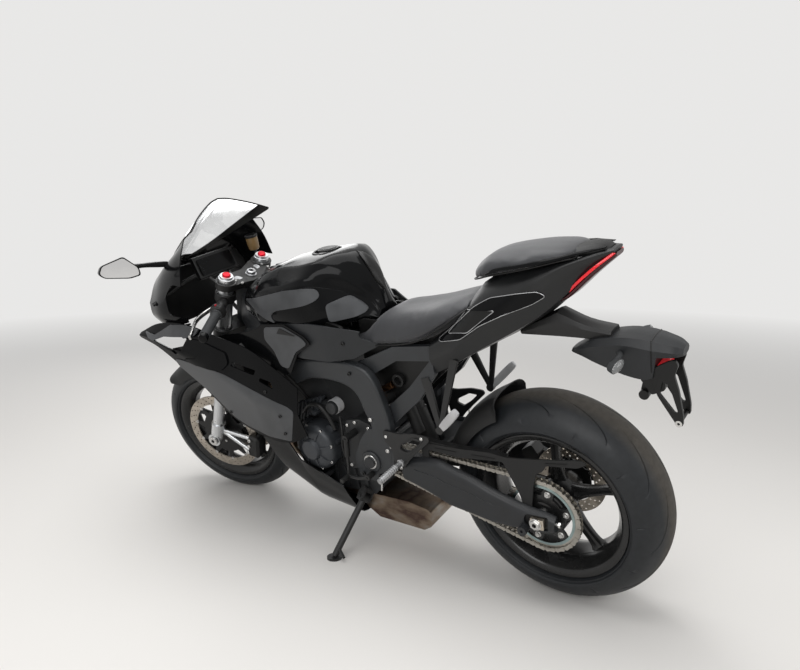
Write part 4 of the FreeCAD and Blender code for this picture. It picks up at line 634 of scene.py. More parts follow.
@dataclass
class Form:
    """Points and faces of a piece in the upright layout.

    Args:
        points: its points, in millimetres.
        faces: its faces, as numbers of points.
    """

    points: list[Vector] = field(default_factory=list)
    faces: list[tuple[int, ...]] = field(default_factory=list)

    def add(self, points: Iterable[Vector], faces: Iterable[Sequence[int]]) -> "Form":
        """Adds faces that count from the first of the new points."""
        base = len(self.points)
        self.points.extend(Vector(point) for point in points)
        self.faces.extend(tuple(base + i for i in face) for face in faces)
        return self

    def join(self, other: "Form") -> "Form":
        """Adds another form."""
        return self.add(other.points, other.faces)

    def moved(self, matrix: Matrix) -> "Form":
        """A copy under a matrix."""
        return Form([matrix @ point for point in self.points], list(self.faces))

    def mirrored(self) -> "Form":
        """The right-hand copy of a left-hand form."""
        flipped = [Vector((p.x, -p.y, p.z)) for p in self.points]
        return Form(flipped, [face[::-1] for face in self.faces])

    def both(self) -> "Form":
        """The form with its mirror image."""
        other = self.mirrored()
        return self.join(other)

    def skin(self, rings: Sequence[Sequence[Vector]], closed: bool = True, capped: bool = True,
             looped: bool = False) -> "Form":
        """Skins equal rings of points one after another.

        Args:
            rings: the rings in order.
            closed: whether each ring closes on itself.
            capped: whether the first and last rings are filled.
            looped: whether the last ring joins the first.

        Returns:
            The form itself.
        """
        count = len(rings[0])
        faces: list[tuple[int, ...]] = []
        for r in range(len(rings) if looped else len(rings) - 1):
            a, b = r * count, (r + 1) % len(rings) * count
            for i in range(count if closed else count - 1):
                j = (i + 1) % count
                faces.append((a + i, a + j, b + j, b + i))
        if capped and not looped:
            faces.append(tuple(range(count - 1, -1, -1)))
            last = (len(rings) - 1) * count
            faces.append(tuple(range(last, last + count)))
        return self.add([point for ring in rings for point in ring], faces)

    def spin(self, profile: Sequence[tuple[float, float]], centre: Vector, axis: Vector = LEFT,
             steps: int = 96, start: float = 0.0, sweep: float = TURN, closed: bool = False) -> "Form":
        """Turns a profile about an axis.

        Args:
            profile: pairs of distance along the axis and radius.
            centre: a point on the axis.
            axis: its direction.
            steps: segments of the turn.
            start: angle of the first ring, from straight up for a cross axis.
            sweep: angle turned through.
            closed: whether the profile closes on itself.

        Returns:
            The form itself.
        """
        axis = Vector(axis).normalized()
        seed = Vector((0.0, 0.0, 1.0))
        if abs(axis.z) > 0.9:
            seed = Vector((1.0, 0.0, 0.0))
        seed = (seed - axis * seed.dot(axis)).normalized()
        other = axis.cross(seed)
        full = sweep > TURN - 1e-6
        rings = []
        for k in range(steps if full else steps + 1):
            angle = start + sweep * k / steps
            out = seed * math.cos(angle) + other * math.sin(angle)
            rings.append([centre + axis * along + out * radius for along, radius in profile])
        return self.skin(rings, closed, not full, full)

    def rod(self, start: Vector, end: Vector, radius: float, end_radius: float | None = None,
            steps: int = 24) -> "Form":
        """A round bar or cone between two points."""
        start, end = Vector(start), Vector(end)
        length = (end - start).length
        tip = radius if end_radius is None else end_radius
        profile = [(0.0, 0.0), (0.0, radius), (length, tip), (length, 0.0)]
        return self.spin(profile, start, end - start, steps)

    def tube(self, path: Sequence[Vector], radius: float | Sequence[float], sides: int = 12) -> "Form":
        """A round tube along a line of points.

        Args:
            path: the centre line.
            radius: one radius, or one for each point.
            sides: corners of the section.

        Returns:
            The form itself.
        """
        path = [Vector(point) for point in path]
        radii = list(radius) if isinstance(radius, Sequence) else [radius] * len(path)
        ways = [(path[min(i + 1, len(path) - 1)] - path[max(i - 1, 0)]).normalized()
                for i in range(len(path))]
        side = ways[0].orthogonal().normalized()
        rings = []
        for point, way, size in zip(path, ways, radii):
            side = (side - way * side.dot(way)).normalized()
            other = way.cross(side)
            rings.append([point + (side * math.cos(TURN * k / sides)
                                   + other * math.sin(TURN * k / sides)) * size
                          for k in range(sides)])
        return self.skin(rings)

    def prism(self, outline: Sequence[tuple[float, float]], y0: float, y1: float) -> "Form":
        """A plate from its outline in side view."""
        rings = [[Vector((x, y, z)) for x, z in outline] for y in (y0, y1)]
        return self.skin(rings)

    def ring_plate(self, outer: Sequence[tuple[float, float]], inner: Sequence[tuple[float, float]],
                   y0: float, y1: float) -> "Form":
        """A flat ring between two outlines with as many points."""
        rings = [[Vector((x, y, z)) for x, z in line]
                 for y, line in ((y0, outer), (y1, outer), (y1, inner), (y0, inner))]
        return self.skin(rings, looped=True)

    def sheet(self, grid: Sequence[Sequence[Vector]], wall: float, outward: Vector) -> "Form":
        """A panel with a wall behind a grid of points.

        Args:
            grid: rows of points on the outer face.
            wall: its thickness.
            outward: roughly where the outer face looks.

        Returns:
            The form itself.
        """
        rows, columns = len(grid), len(grid[0])
        normals = []
        total = Vector()
        for r in range(rows):
            line = []
            for c in range(columns):
                along = grid[min(r + 1, rows - 1)][c] - grid[max(r - 1, 0)][c]
                across = grid[r][min(c + 1, columns - 1)] - grid[r][max(c - 1, 0)]
                normal = along.cross(across)
                line.append(normal.normalized() if normal.length > 1e-9 else Vector(outward))
                total += line[-1]
            normals.append(line)
        sign = 1.0 if total.dot(Vector(outward)) > 0 else -1.0
        back = [[grid[r][c] - normals[r][c] * (wall * sign) for c in range(columns)] for r in range(rows)]
        rings = [list(front) + list(behind)[::-1] for front, behind in zip(grid, back)]
        return self.skin(rings)

    def mesh(self, name: str, finish: object, body: Body, bevel: float = 0.0, smooth_deg: float = 35.0,
             bevel_deg: float = 38.0) -> bpy.types.Mesh:
        """Makes the Blender mesh in its parked place.

        Args:
            name: the mesh.
            finish: its finish.
            body: what it rides on.
            bevel: width of its rounded edges.
            smooth_deg: shading limit.
            bevel_deg: edges sharper than this are rounded.

        Returns:
            The mesh.
        """
        mesh = bpy.data.meshes.new(name)
        mesh.from_pydata(self.points, [], self.faces)
        work = bmesh.new()
        work.from_mesh(mesh)
        bmesh.ops.remove_doubles(work, verts=work.verts, dist=0.01)
        bmesh.ops.dissolve_degenerate(work, edges=work.edges, dist=0.001)
        bmesh.ops.recalc_face_normals(work, faces=work.faces)
        round_edges(work, bevel, bevel_deg)
        work.to_mesh(mesh)
        work.free()
        mesh.transform(STANCE.matrix(body))
        finish_mesh(mesh, finish, smooth_deg)
        return mesh

    def piece(self, name: str, finish: object, body: Body, slot: str, replaces: Sequence[str] = (),
              bevel: float = 0.0, smooth_deg: float = 35.0, bevel_deg: float = 38.0) -> bpy.types.Object:
        """Makes the form a piece of the machine; see mesh and mount for the arguments."""
        mesh = self.mesh(name, finish, body, bevel, smooth_deg, bevel_deg)
        return mount(mesh, name, body, replaces, weighted=bevel > 0)


def round_edges(work: bmesh.types.BMesh, width: float, limit_deg: float) -> None:
    """Rounds the sharp edges of a closed mesh.

    Args:
        work: the mesh under edit.
        width: width of the rounding; 0 leaves it as it is.
        limit_deg: edges that turn further than this are rounded.
    """
    if width <= 0:
        return
    limit = math.radians(limit_deg)
    edges = [edge for edge in work.edges if len(edge.link_faces) == 2 and edge.calc_face_angle(0.0) > limit]
    bmesh.ops.bevel(work, geom=edges, offset=width, segments=2, profile=0.5, affect="EDGES",
                    clamp_overlap=True, loop_slide=True)


def flow(points: Sequence[Vector], steps: int, corners: Sequence[int] = (),
         looped: bool = False) -> list[Vector]:
    """A smooth line through points.

    Args:
        points: what it passes through.
        steps: pieces of each gap.
        corners: points where it may turn sharply.
        looped: whether it closes on itself.

    Returns:
        The points of the line.
    """
    count = len(points)

    def slope(i: int, ahead: bool) -> Vector:
        """The tangent at a point, of the gap ahead or behind."""
        if not looped and i in (0, count - 1) or i in corners:
            j = i + 1 if ahead else i - 1
            step = points[j % count] - points[i]
            return step if ahead else -step
        return (points[(i + 1) % count] - points[i - 1]) / 2

    line = []
    for i in range(count if looped else count - 1):
        a, b = points[i], points[(i + 1) % count]
        m, n = slope(i, True), slope((i + 1) % count, False)
        for k in range(steps):
            t = k / steps
            line.append(a * (2 * t ** 3 - 3 * t ** 2 + 1) + m * (t ** 3 - 2 * t ** 2 + t)
                        + b * (3 * t ** 2 - 2 * t ** 3) + n * (t ** 3 - t ** 2))
    if not looped:
        line.append(points[-1].copy())
    return line


def stations_grid(stations: Sequence[tuple[float, Sequence[tuple[float, float]]]], across: int, along: int,
                  corners: Sequence[int] = (), breaks: Sequence[int] = (),
                  looped: bool = False) -> list[list[Vector]]:
    """A smooth grid through cross sections.

    Args:
        stations: pairs of x and the section's (y, z) points.
        across: pieces of each gap within a section.
        along: pieces of each gap between sections.
        corners: points of a section that stay creases.
        breaks: sections that stay creases.
        looped: whether the sections close on themselves.

    Returns:
        Rows of points, one row for each place along the body.
    """
    rows = [flow([Vector((x, y, z)) for y, z in line], across, corners, looped) for x, line in stations]
    columns = [flow(list(column), along, breaks) for column in zip(*rows)]
    return [list(row) for row in zip(*columns)]


def dress(name: str, finish: object, body: Body, bevel: float = 1.0, piece: str = "",
          keep: Callable[[Vector], bool] | None = None, smooth_deg: float = 33.0) -> bpy.types.Object:
    """Rounds the edges of a node's own shape and gives it its finish.

    Args:
        name: the node.
        finish: its finish.
        body: what it rides on.
        bevel: width of the rounded edges in millimetres.
        piece: name of the piece; the node's name with a suffix if left out.
        keep: test of a face's middle, to dress one part of the node alone.
        smooth_deg: shading limit.

    Returns:
        The piece.
    """
    mesh = frame["nodes"][name].data.copy()
    mesh.name = piece or name + "_finished"
    work = bmesh.new()
    work.from_mesh(mesh)
    bmesh.ops.remove_doubles(work, verts=work.verts, dist=1e-6)
    if keep is not None:
        inverse = STANCE.matrix(body).inverted()
        islands = loose_parts(work)
        drop = [vert for island in islands if not keep(inverse @ middle_of(island)) for vert in island]
        bmesh.ops.delete(work, geom=drop, context="VERTS")
    bmesh.ops.dissolve_limit(work, angle_limit=math.radians(0.6), verts=work.verts, edges=work.edges)
    round_edges(work, bevel * MM, 38.0)
    work.to_mesh(mesh)
    work.free()
    finish_mesh(mesh, finish, smooth_deg)
    return mount(mesh, mesh.name, body, (name,), weighted=bevel > 0)


def loose_parts(work: bmesh.types.BMesh) -> list[list[bmesh.types.BMVert]]:
    """The vertices of each part of a mesh that hangs together.

    Args:
        work: the mesh.

    Returns:
        One list of vertices for each part.
    """
    seen: set[int] = set()
    parts = []
    for vert in work.verts:
        if vert.index in seen:
            continue
        stack, part = [vert], []
        seen.add(vert.index)
        while stack:
            current = stack.pop()
            part.append(current)
            for edge in current.link_edges:
                other = edge.other_vert(current)
                if other.index not in seen:
                    seen.add(other.index)
                    stack.append(other)
        parts.append(part)
    return parts


def middle_of(verts: Sequence[bmesh.types.BMVert]) -> Vector:
    """The mean place of some vertices."""
    return sum((vert.co for vert in verts), Vector()) / len(verts)

def soft_ring(points: Sequence[Vector], radius: float, steps: int = 3) -> list[Vector]:
    """Rounds the corners of a closed line.

    Args:
        points: its corners.
        radius: how far from a corner the rounding starts.
        steps: pieces of each rounding.

    Returns:
        The rounded line.
    """
    ring = []
    for i, corner in enumerate(points):
        before, after = points[i - 1] - corner, points[(i + 1) % len(points)] - corner
        a = corner + before.normalized() * min(radius, before.length * 0.45)
        b = corner + after.normalized() * min(radius, after.length * 0.45)
        for k in range(steps + 1):
            t = k / steps
            ring.append(a * (1 - t) ** 2 + corner * (2 * t * (1 - t)) + b * t ** 2)
    return ring


def soft(outline: Sequence[tuple[float, float]], radius: float, steps: int = 3) -> list[tuple[float, float]]:
    """Rounds the corners of an outline; see soft_ring."""
    return [(p.x, p.z) for p in soft_ring([Vector((x, 0.0, z)) for x, z in outline], radius, steps)]


def flow_rings(rings: Sequence[Sequence[Vector]], steps: int,
               breaks: Sequence[int] = ()) -> list[list[Vector]]:
    """Smooth rings between given ones.

    Args:
        rings: rings with as many points each.
        steps: pieces of each gap.
        breaks: rings that stay creases.

    Returns:
        All the rings.
    """
    columns = [flow(list(column), steps, breaks) for column in zip(*rings)]
    return [list(ring) for ring in zip(*columns)]


def draped(outline: Sequence[tuple[float, float]], surface: Callable[[float, float], float], out: float,
           wall: float, step: float = 26.0) -> Form:
    """A panel with a given outline in side view, laid on a curved flank.

    Args:
        outline: its (x, z) corners.
        surface: distance to the left of the flank at x and z.
        out: how far its face stands off the flank.
        wall: its thickness.
        step: width of the strips that follow the curve.

    Returns:
        The closed panel on the left side.
    """
    work = bmesh.new()
    work.faces.new([work.verts.new((x, 0.0, z)) for x, z in outline])
    for axis in (0, 2):
        spread = [corner[axis // 2] for corner in outline]
        cut = min(spread) + step
        while cut < max(spread) - step * 0.3:
            place, normal = Vector(), Vector()
            place[axis], normal[axis] = cut, 1.0
            bmesh.ops.bisect_plane(work, geom=work.verts[:] + work.edges[:] + work.faces[:], plane_co=place,
                                   plane_no=normal, dist=0.05)
            cut += step
    bmesh.ops.remove_doubles(work, verts=work.verts, dist=0.05)
    work.verts.index_update()
    count = len(work.verts)
    front = [Vector((v.co.x, surface(v.co.x, v.co.z) + out, v.co.z)) for v in work.verts]
    back = [point - LEFT * wall for point in front]
    faces: list[tuple[int, ...]] = []
    for face in work.faces:
        ring = [vert.index for vert in face.verts]
        faces.append(tuple(ring))
        faces.append(tuple(i + count for i in reversed(ring)))
    for edge in work.edges:
        if len(edge.link_faces) == 1:
            a, b = (vert.index for vert in edge.verts)
            faces.append((a, b, b + count, a + count))
    work.free()
    return Form().add(front + back, faces)


class Skin:
    """The left flank of a closed form, to lay panels and lines on."""

    def __init__(self, form: Form) -> None:
        """Args:
            form: the form whose left side is used.
        """
        self.tree = BVHTree.FromPolygons(form.points, form.faces)

    def __call__(self, x: float, z: float) -> float:
        """Distance to the left of the flank at a place in side view."""
        hit = self.tree.ray_cast(Vector((x, 600.0, z)), -LEFT)[0]
        if hit is None:
            hit = self.tree.find_nearest(Vector((x, 150.0, z)))[0]
        return hit.y

    def laid(self, outline: Sequence[tuple[float, float]], y: float, slant: tuple[float, float]) -> list[
            tuple[float, float]]:
        """Moves the corners of an outline slantwise onto the flank.

        Args:
            outline: (x, z) corners drawn on the plane at a distance to the left.
            y: that distance.
            slant: change of x and of z for each millimetre to the right.

        Returns:
            The (x, z) places where they meet the flank.
        """
        way = Vector((slant[0], -1.0, slant[1])).normalized()
        placed = []
        for x, z in outline:
            start = Vector((x, y, z)) - way * 120.0
            hit = self.tree.ray_cast(start, way)[0]
            if hit is None:
                hit = self.tree.find_nearest(Vector((x, y, z)))[0]
            placed.append((hit.x, hit.z))
        return placed


def level(y: float) -> Callable[[float, float], float]:
    """A flat flank at a distance to the left, for draped."""
    return lambda x, z: y


def carved(form: Form, cutter: Form) -> Form:
    """Takes one closed form out of another.

    Args:
        form: what is cut.
        cutter: what is taken away.

    Returns:
        The form that is left.
    """
    objects = []
    for name, shape in (("carved_form", form), ("carving_form", cutter)):
        mesh = bpy.data.meshes.new(name)
        mesh.from_pydata(shape.points, [], shape.faces)
        work = bmesh.new()
        work.from_mesh(mesh)
        bmesh.ops.remove_doubles(work, verts=work.verts, dist=0.01)
        bmesh.ops.recalc_face_normals(work, faces=work.faces)
        work.to_mesh(mesh)
        work.free()
        piece = bpy.data.objects.new(name, mesh)
        bpy.context.scene.collection.objects.link(piece)
        objects.append(piece)
    target, tool = objects
    modifier = target.modifiers.new("carve", "BOOLEAN")
    modifier.operation = "DIFFERENCE"
    modifier.solver = "EXACT"
    modifier.object = tool
    result = as_form(evaluated(target))
    for piece in objects:
        mesh = piece.data
        bpy.data.objects.remove(piece)
        bpy.data.meshes.remove(mesh)
    return result


def evaluated(piece: bpy.types.Object) -> bpy.types.Mesh:
    """The mesh of an object with its modifiers applied."""
    graph = bpy.context.evaluated_depsgraph_get()
    graph.update()
    return bpy.data.meshes.new_from_object(piece.evaluated_get(graph), depsgraph=graph)


def as_form(mesh: bpy.types.Mesh) -> Form:
    """The points and faces of a mesh, which is then removed."""
    form = Form([vert.co.copy() for vert in mesh.vertices], [tuple(face.vertices) for face in mesh.polygons])
    bpy.data.meshes.remove(mesh)
    return form


class NodeTree:
    """A Geometry Nodes tree under construction."""

    def __init__(self, name: str, inputs: Sequence[tuple[str, str, object]]) -> None:
        """Args:
            name: the tree.
            inputs: name, socket type and value of each input after the geometry.
        """
        self.tree = bpy.data.node_groups.new(name, "GeometryNodeTree")
        self.tree.interface.new_socket("Geometry", in_out="INPUT", socket_type="NodeSocketGeometry")
        self.keys: dict[str, str] = {}
        for label, kind, value in inputs:
            socket = self.tree.interface.new_socket(label, in_out="INPUT", socket_type=kind)
            if value is not None:
                socket.default_value = value
            self.keys[label] = socket.identifier
        self.tree.interface.new_socket("Geometry", in_out="OUTPUT", socket_type="NodeSocketGeometry")
        self.source = self.add("NodeGroupInput").outputs

    def add(self, kind: str, links: dict[object, object] | None = None, **settings: object) -> object:
        """Adds a node.

        Args:
            kind: the node's type.
            links: a socket or a value for each input, by name or number.
            settings: the node's own settings.

        Returns:
            The node.
        """
        node = self.tree.nodes.new(kind)
        for label, value in settings.items():
            setattr(node, label, value)
        for place, value in (links or {}).items():
            if isinstance(value, bpy.types.NodeSocket):
                self.tree.links.new(value, node.inputs[place])
            else:
                node.inputs[place].default_value = value
        return node

    def named(self, label: str, kind: str) -> object:
        """The socket of a named attribute."""
        return self.add("GeometryNodeInputNamedAttribute", {"Name": label},
                        data_type=kind).outputs["Attribute"]

    def close(self, geometry: object, finish: object) -> None:
        """Realizes the instances, sets the material and ends the tree.

        Args:
            geometry: the last geometry socket.
            finish: the finish of the result.
        """
        real = self.add("GeometryNodeRealizeInstances", {"Geometry": geometry})
        dressed = self.add("GeometryNodeSetMaterial", {"Geometry": real.outputs[0],
                                                       "Material": Palette.of(finish)})
        self.add("NodeGroupOutput", {"Geometry": dressed.outputs[0]})

    def grow(self, seed: Form, values: dict[str, object],
             attributes: dict[str, Sequence[object]] | None = None) -> Form:
        """Runs the tree on a form.

        Args:
            seed: the geometry that goes in; faces of two points are edges.
            values: the value of each named input.
            attributes: numbers or vectors for each point of the seed.

        Returns:
            What the tree makes.
        """
        mesh = bpy.data.meshes.new(self.tree.name)
        edges = [face for face in seed.faces if len(face) == 2]
        mesh.from_pydata(seed.points, edges, [face for face in seed.faces if len(face) > 2])
        for label, data in (attributes or {}).items():
            vectors = isinstance(data[0], Vector)
            store = mesh.attributes.new(label, "FLOAT_VECTOR" if vectors else "FLOAT", "POINT")
            flat = [part for value in data for part in value] if vectors else list(data)
            store.data.foreach_set("vector" if vectors else "value", flat)
        piece = bpy.data.objects.new(self.tree.name, mesh)
        bpy.context.scene.collection.objects.link(piece)
        modifier = piece.modifiers.new("grow", "NODES")
        modifier.node_group = self.tree
        for label, value in values.items():
            modifier[self.keys[label]] = value
        form = as_form(evaluated(piece))
        bpy.data.objects.remove(piece)
        bpy.data.meshes.remove(mesh)
        return form


@dataclass(frozen=True)
class Spot:
    """Where one small repeated part sits.

    Args:
        place: its foot.
        way: the direction it points in.
        size: its size against the pattern part.
    """

    place: Vector
    way: Vector
    size: float = 1.0


class Scatter:
    """Sets copies of one small part on many spots with Geometry Nodes."""

    def __init__(self, name: str, pattern: Form, finish: object) -> None:
        """Args:
            name: the tree.
            pattern: the part, pointing along +Z from the origin.
            finish: its finish.
        """
        self.finish = finish
        mesh = bpy.data.meshes.new(name + "_pattern")
        mesh.from_pydata(pattern.points, [], pattern.faces)
        self.pattern = bpy.data.objects.new(name + "_pattern", mesh)
        bpy.context.scene.collection.objects.link(self.pattern)
        tree = NodeTree(name, [("Part", "NodeSocketObject", None), ("Scale", "NodeSocketFloat", 1.0)])
        part = tree.add("GeometryNodeObjectInfo", {"Object": tree.source["Part"]})
        turn = tree.add("FunctionNodeAlignRotationToVector", {"Vector": tree.named("way", "FLOAT_VECTOR")},
                        axis="Z")
        size = tree.add("ShaderNodeMath", {0: tree.named("size", "FLOAT"), 1: tree.source["Scale"]},
                        operation="MULTIPLY")
        placed = tree.add("GeometryNodeInstanceOnPoints",
                          {"Points": tree.source["Geometry"], "Instance": part.outputs["Geometry"],
                           "Rotation": turn.outputs["Rotation"], "Scale": size.outputs[0]})
        tree.close(placed.outputs[0], finish)
        self.tree = tree

    def grow(self, spots: Sequence[Spot], scale: float = 1.0) -> Form:
        """The copies on a list of spots as one form."""
        seed = Form([spot.place for spot in spots], [])
        return self.tree.grow(seed, {"Part": self.pattern, "Scale": scale},
                              {"way": [spot.way.normalized() for spot in spots],
                               "size": [spot.size for spot in spots]})

    def done(self) -> None:
        """Removes the pattern part."""
        mesh = self.pattern.data
        bpy.data.objects.remove(self.pattern)
        bpy.data.meshes.remove(mesh)


@dataclass
class RoadTyre:
    """A radial road tyre with long curved sipes and short cuts at the shoulders.

    Args:
        name: the piece.
        node: the plain node it stands for.
        body: the wheel.
        axle: the wheel's middle.
        radius: outer radius.
        width: width over the side walls.
        rim_width: width of the rim.
        pitches: repeats of the tread pattern.
        trail: which way round the sipes sweep, 1 or -1.
        widest: radius at which the side wall is widest.
        bead: radius of the bead seat.
        depth: depth of the sipes.
        groove: width of a sipe.
        sweep: angle that a long sipe runs through.
        rows: rows of faces from the middle to one shoulder.
        wall: points of the side wall, as shares of its width and height.
    """

    name: str
    node: str
    body: Body
    axle: Vector
    radius: float
    width: float
    rim_width: float
    pitches: int
    trail: float = 1.0
    widest: float = 247.0
    bead: float = 216.3
    depth: float = 3.4
    groove: float = 4.6
    sweep: float = 0.66
    rows: int = 24
    wall: Sequence[tuple[float, float]] = ((0.93, 0.79), (0.84, 0.62), (0.8, 0.6), (0.6, 0.42), (0.57, 0.3),
                                           (0.3, 0.1), (0.0, 0.0))

    def arc(self) -> float:
        """Radius of the crown's cross section."""
        drop = self.radius - self.widest
        return ((self.width / 2) ** 2 + drop ** 2) / (2 * drop)

    def lean(self, share: float) -> float:
        """How far round the tread a long sipe has swept at a share of the way to the shoulder."""
        t = min(max((share - 0.1) / 0.56, 0.0), 1.0)
        return self.trail * self.sweep * (1 - (1 - t) ** 2)

    def half_width(self, share: float, radius: float) -> float:
        """Half the angle that a sipe covers round the wheel, so that it stays equally wide."""
        t = min(max((share - 0.1) / 0.56, 0.0), 1.0)
        run = radius * self.sweep * 2 * (1 - t) / 0.56 if 0.1 < share < 0.66 else 0.0
        across = self.arc() * math.asin(self.width / 2 / self.arc())
        return self.groove / 2 / radius * min(math.hypot(run, across) / across, 4.0)

    def cut(self, share: float, long_sipe: bool) -> float:
        """Depth of a sipe at a share of the way to the shoulder."""
        start, end = (0.15, 0.62) if long_sipe else (0.74, 0.93)
        if not start < share < end:
            return 0.0
        return self.depth * min(1.0, (share - start) / 0.07, (end - share) / 0.05)

    def row(self, y: float, radius: float, share: float, left: bool) -> list[Vector]:
        """One ring of points round the wheel.

        Args:
            y: distance to the left.
            radius: its radius without sipes.
            share: share of the way from the middle to the shoulder.
            left: which half of the tread it is on.

        Returns:
            The points.
        """
        pitch = TURN / self.pitches
        half = self.half_width(share, radius)
        points = []
        for k in range(self.pitches):
            for sipe in (0, 1):
                base = pitch * (k + sipe / 2)
                depth = self.cut(share, left == (sipe == 0))
                steps = [(-half, 0.0), (-half * 0.5, depth), (half * 0.5, depth), (half, 0.0)]
                gap = pitch / 2 - 2 * half
                steps += [(half + gap * part, 0.0) for part in (0.2, 0.4, 0.6, 0.8)]
                for offset, cut in steps:
                    angle = base + offset - self.lean(share)
                    out = radius - cut
                    points.append(self.axle + Vector((out * math.sin(angle), y, out * math.cos(angle))))
        return points

    def half(self, side: int) -> list[list[Vector]]:
        """The rings from the middle of the tread to the bead on one side.

        Args:
            side: 1 for the left side, -1 for the right.

        Returns:
            The rings, from the tread outwards.
        """
        arc, left = self.arc(), side > 0
        limit = math.asin(self.width / 2 / arc)
        rings = []
        for j in range(0 if left else 1, self.rows + 1):
            share = j / self.rows
            angle = limit * share
            rings.append(self.row(side * arc * math.sin(angle), self.radius - arc + arc * math.cos(angle),
                                  share, left))
        lip_y, lip_radius = self.rim_width / 2 - 5.3, self.bead + 15.0
        for out, up in self.wall:
            y = lip_y + (self.width / 2 - lip_y) * out
            rings.append(self.row(side * y, lip_radius + (self.widest - lip_radius) * up, 1.0, left))
        rings.append(self.row(side * (self.rim_width / 2 - 9.3), self.bead, 1.0, left))
        return rings

    def build(self) -> None:
        """Builds the tyre with its tread attribute."""
        rings = self.half(1)[::-1] + self.half(-1)
        form = Form().skin(rings, looped=True)
        mesh = form.mesh(self.name, Palette.TYRE, self.body, smooth_deg=32.0)
        inverse = STANCE.matrix(self.body).inverted()
        store = mesh.attributes.new("tread", "FLOAT", "POINT")
        for vert, value in zip(mesh.vertices, store.data):
            local = inverse @ vert.co - self.axle
            out = math.hypot(local.x, local.z)
            value.value = max(0.0, 1.0 - abs(local.y) / (self.width / 2)) if out > self.widest else 0.0
        mount(mesh, self.name, self.body, (self.node,))


@dataclass
class CastWheel:
    """A five-spoke cast wheel.

    Args:
        name: the piece.
        node: the plain node it stands for.
        body: the wheel.
        axle: its middle.
        width: width of the rim.
        hub_radius: radius of the hub.
        hub_half: half the hub's length.
        seat: radius of the bead seat.
        bore: radius of the axle bore.
        spokes: how many spokes.
    """

    name: str
    node: str
    body: Body
    axle: Vector
    width: float
    hub_radius: float
    hub_half: float
    seat: float = 216.0
    bore: float = 12.8
    spokes: int = 5

    def barrel(self) -> Form:
        """The rim's barrel with rounded flanges and a drop centre.

        Returns:
            The barrel with its flanges.
        """
        half, seat, flange, well = self.width / 2, self.seat, self.seat + 15, self.seat - 24
        outer = [(-half, flange), (-half + 5, flange), (-half + 9, seat), (-half * 0.55, seat - 3),
                 (-half * 0.38, well), (half * 0.38, well), (half * 0.55, seat - 3), (half - 9, seat),
                 (half - 5, flange), (half, flange)]
        inner = [(half, flange - 10), (half - 6, seat - 6), (half * 0.5, well - 2), (half * 0.34, well - 6),
                 (-half * 0.34, well - 6), (-half * 0.5, well - 2), (-half + 6, seat - 6),
                 (-half, flange - 10)]
        return Form().spin(soft(outer + inner, 5.0, 2), self.axle, steps=128, closed=True)

    def hub(self) -> Form:
        """The hub, waisted towards its ends."""
        half, radius = self.hub_half, self.hub_radius
        profile = [(-half, self.bore), (-half, radius * 0.75), (-half * 0.86, radius * 0.77),
                   (-half * 0.55, radius), (half * 0.55, radius), (half * 0.86, radius * 0.77),
                   (half, radius * 0.75), (half, self.bore)]
        return Form().spin(profile, self.axle, steps=64, closed=True)

    def spoke(self, angle: float) -> Form:
        """One spoke with its middle ridge, flared into hub and barrel.

        Args:
            angle: the spoke's turn round the axle.

        Returns:
            The spoke's form.
        """
        root, tip = self.hub_radius - 6, self.seat - 27
        depth = min(self.hub_half * 0.5, self.width / 2 * 0.34)
        stations = [(0.0, 27.0, 1.0), (0.1, 22.0, 0.98), (0.35, 15.0, 0.86), (0.65, 13.0, 0.78),
                    (0.86, 15.5, 0.82), (0.95, 20.0, 0.95), (1.0, 29.0, 1.1)]
        rings = []
        for share, half, thick in stations:
            d, up = depth * thick, root + (tip - root) * share
            side = [(-half, 0.3 * d), (-half * 0.82, 0.56 * d), (-half * 0.3, 0.62 * d), (0.0, 0.95 * d),
                    (half * 0.3, 0.62 * d), (half * 0.82, 0.56 * d), (half, 0.3 * d)]
            ring = side + [(x, -y) for x, y in side[::-1]]
            rings.append([Vector((x, y, up)) for x, y in ring])
        form = Form().skin(flow_rings(rings, 3))
        turn = Matrix.Translation(self.axle) @ Matrix.Rotation(angle, 4, "Y")
        return form.moved(turn)

    def valve(self) -> Form:
        """The tyre valve on the barrel's left flank."""
        foot = self.axle + Vector((0.0, self.width / 2 * 0.42, -(self.seat - 22)))
        return Form().rod(foot, foot + Vector((0.0, 9.0, 22.0)), 4.0, 3.2, 10)

    def build(self) -> None:
        """Builds the wheel."""
        form = self.barrel().join(self.hub()).join(self.valve())
        for k in range(self.spokes):
            form.join(self.spoke(TURN * k / self.spokes))
        form.piece(self.name, Palette.RIM, self.body, "rim_paint", (self.node,), smooth_deg=38.0)


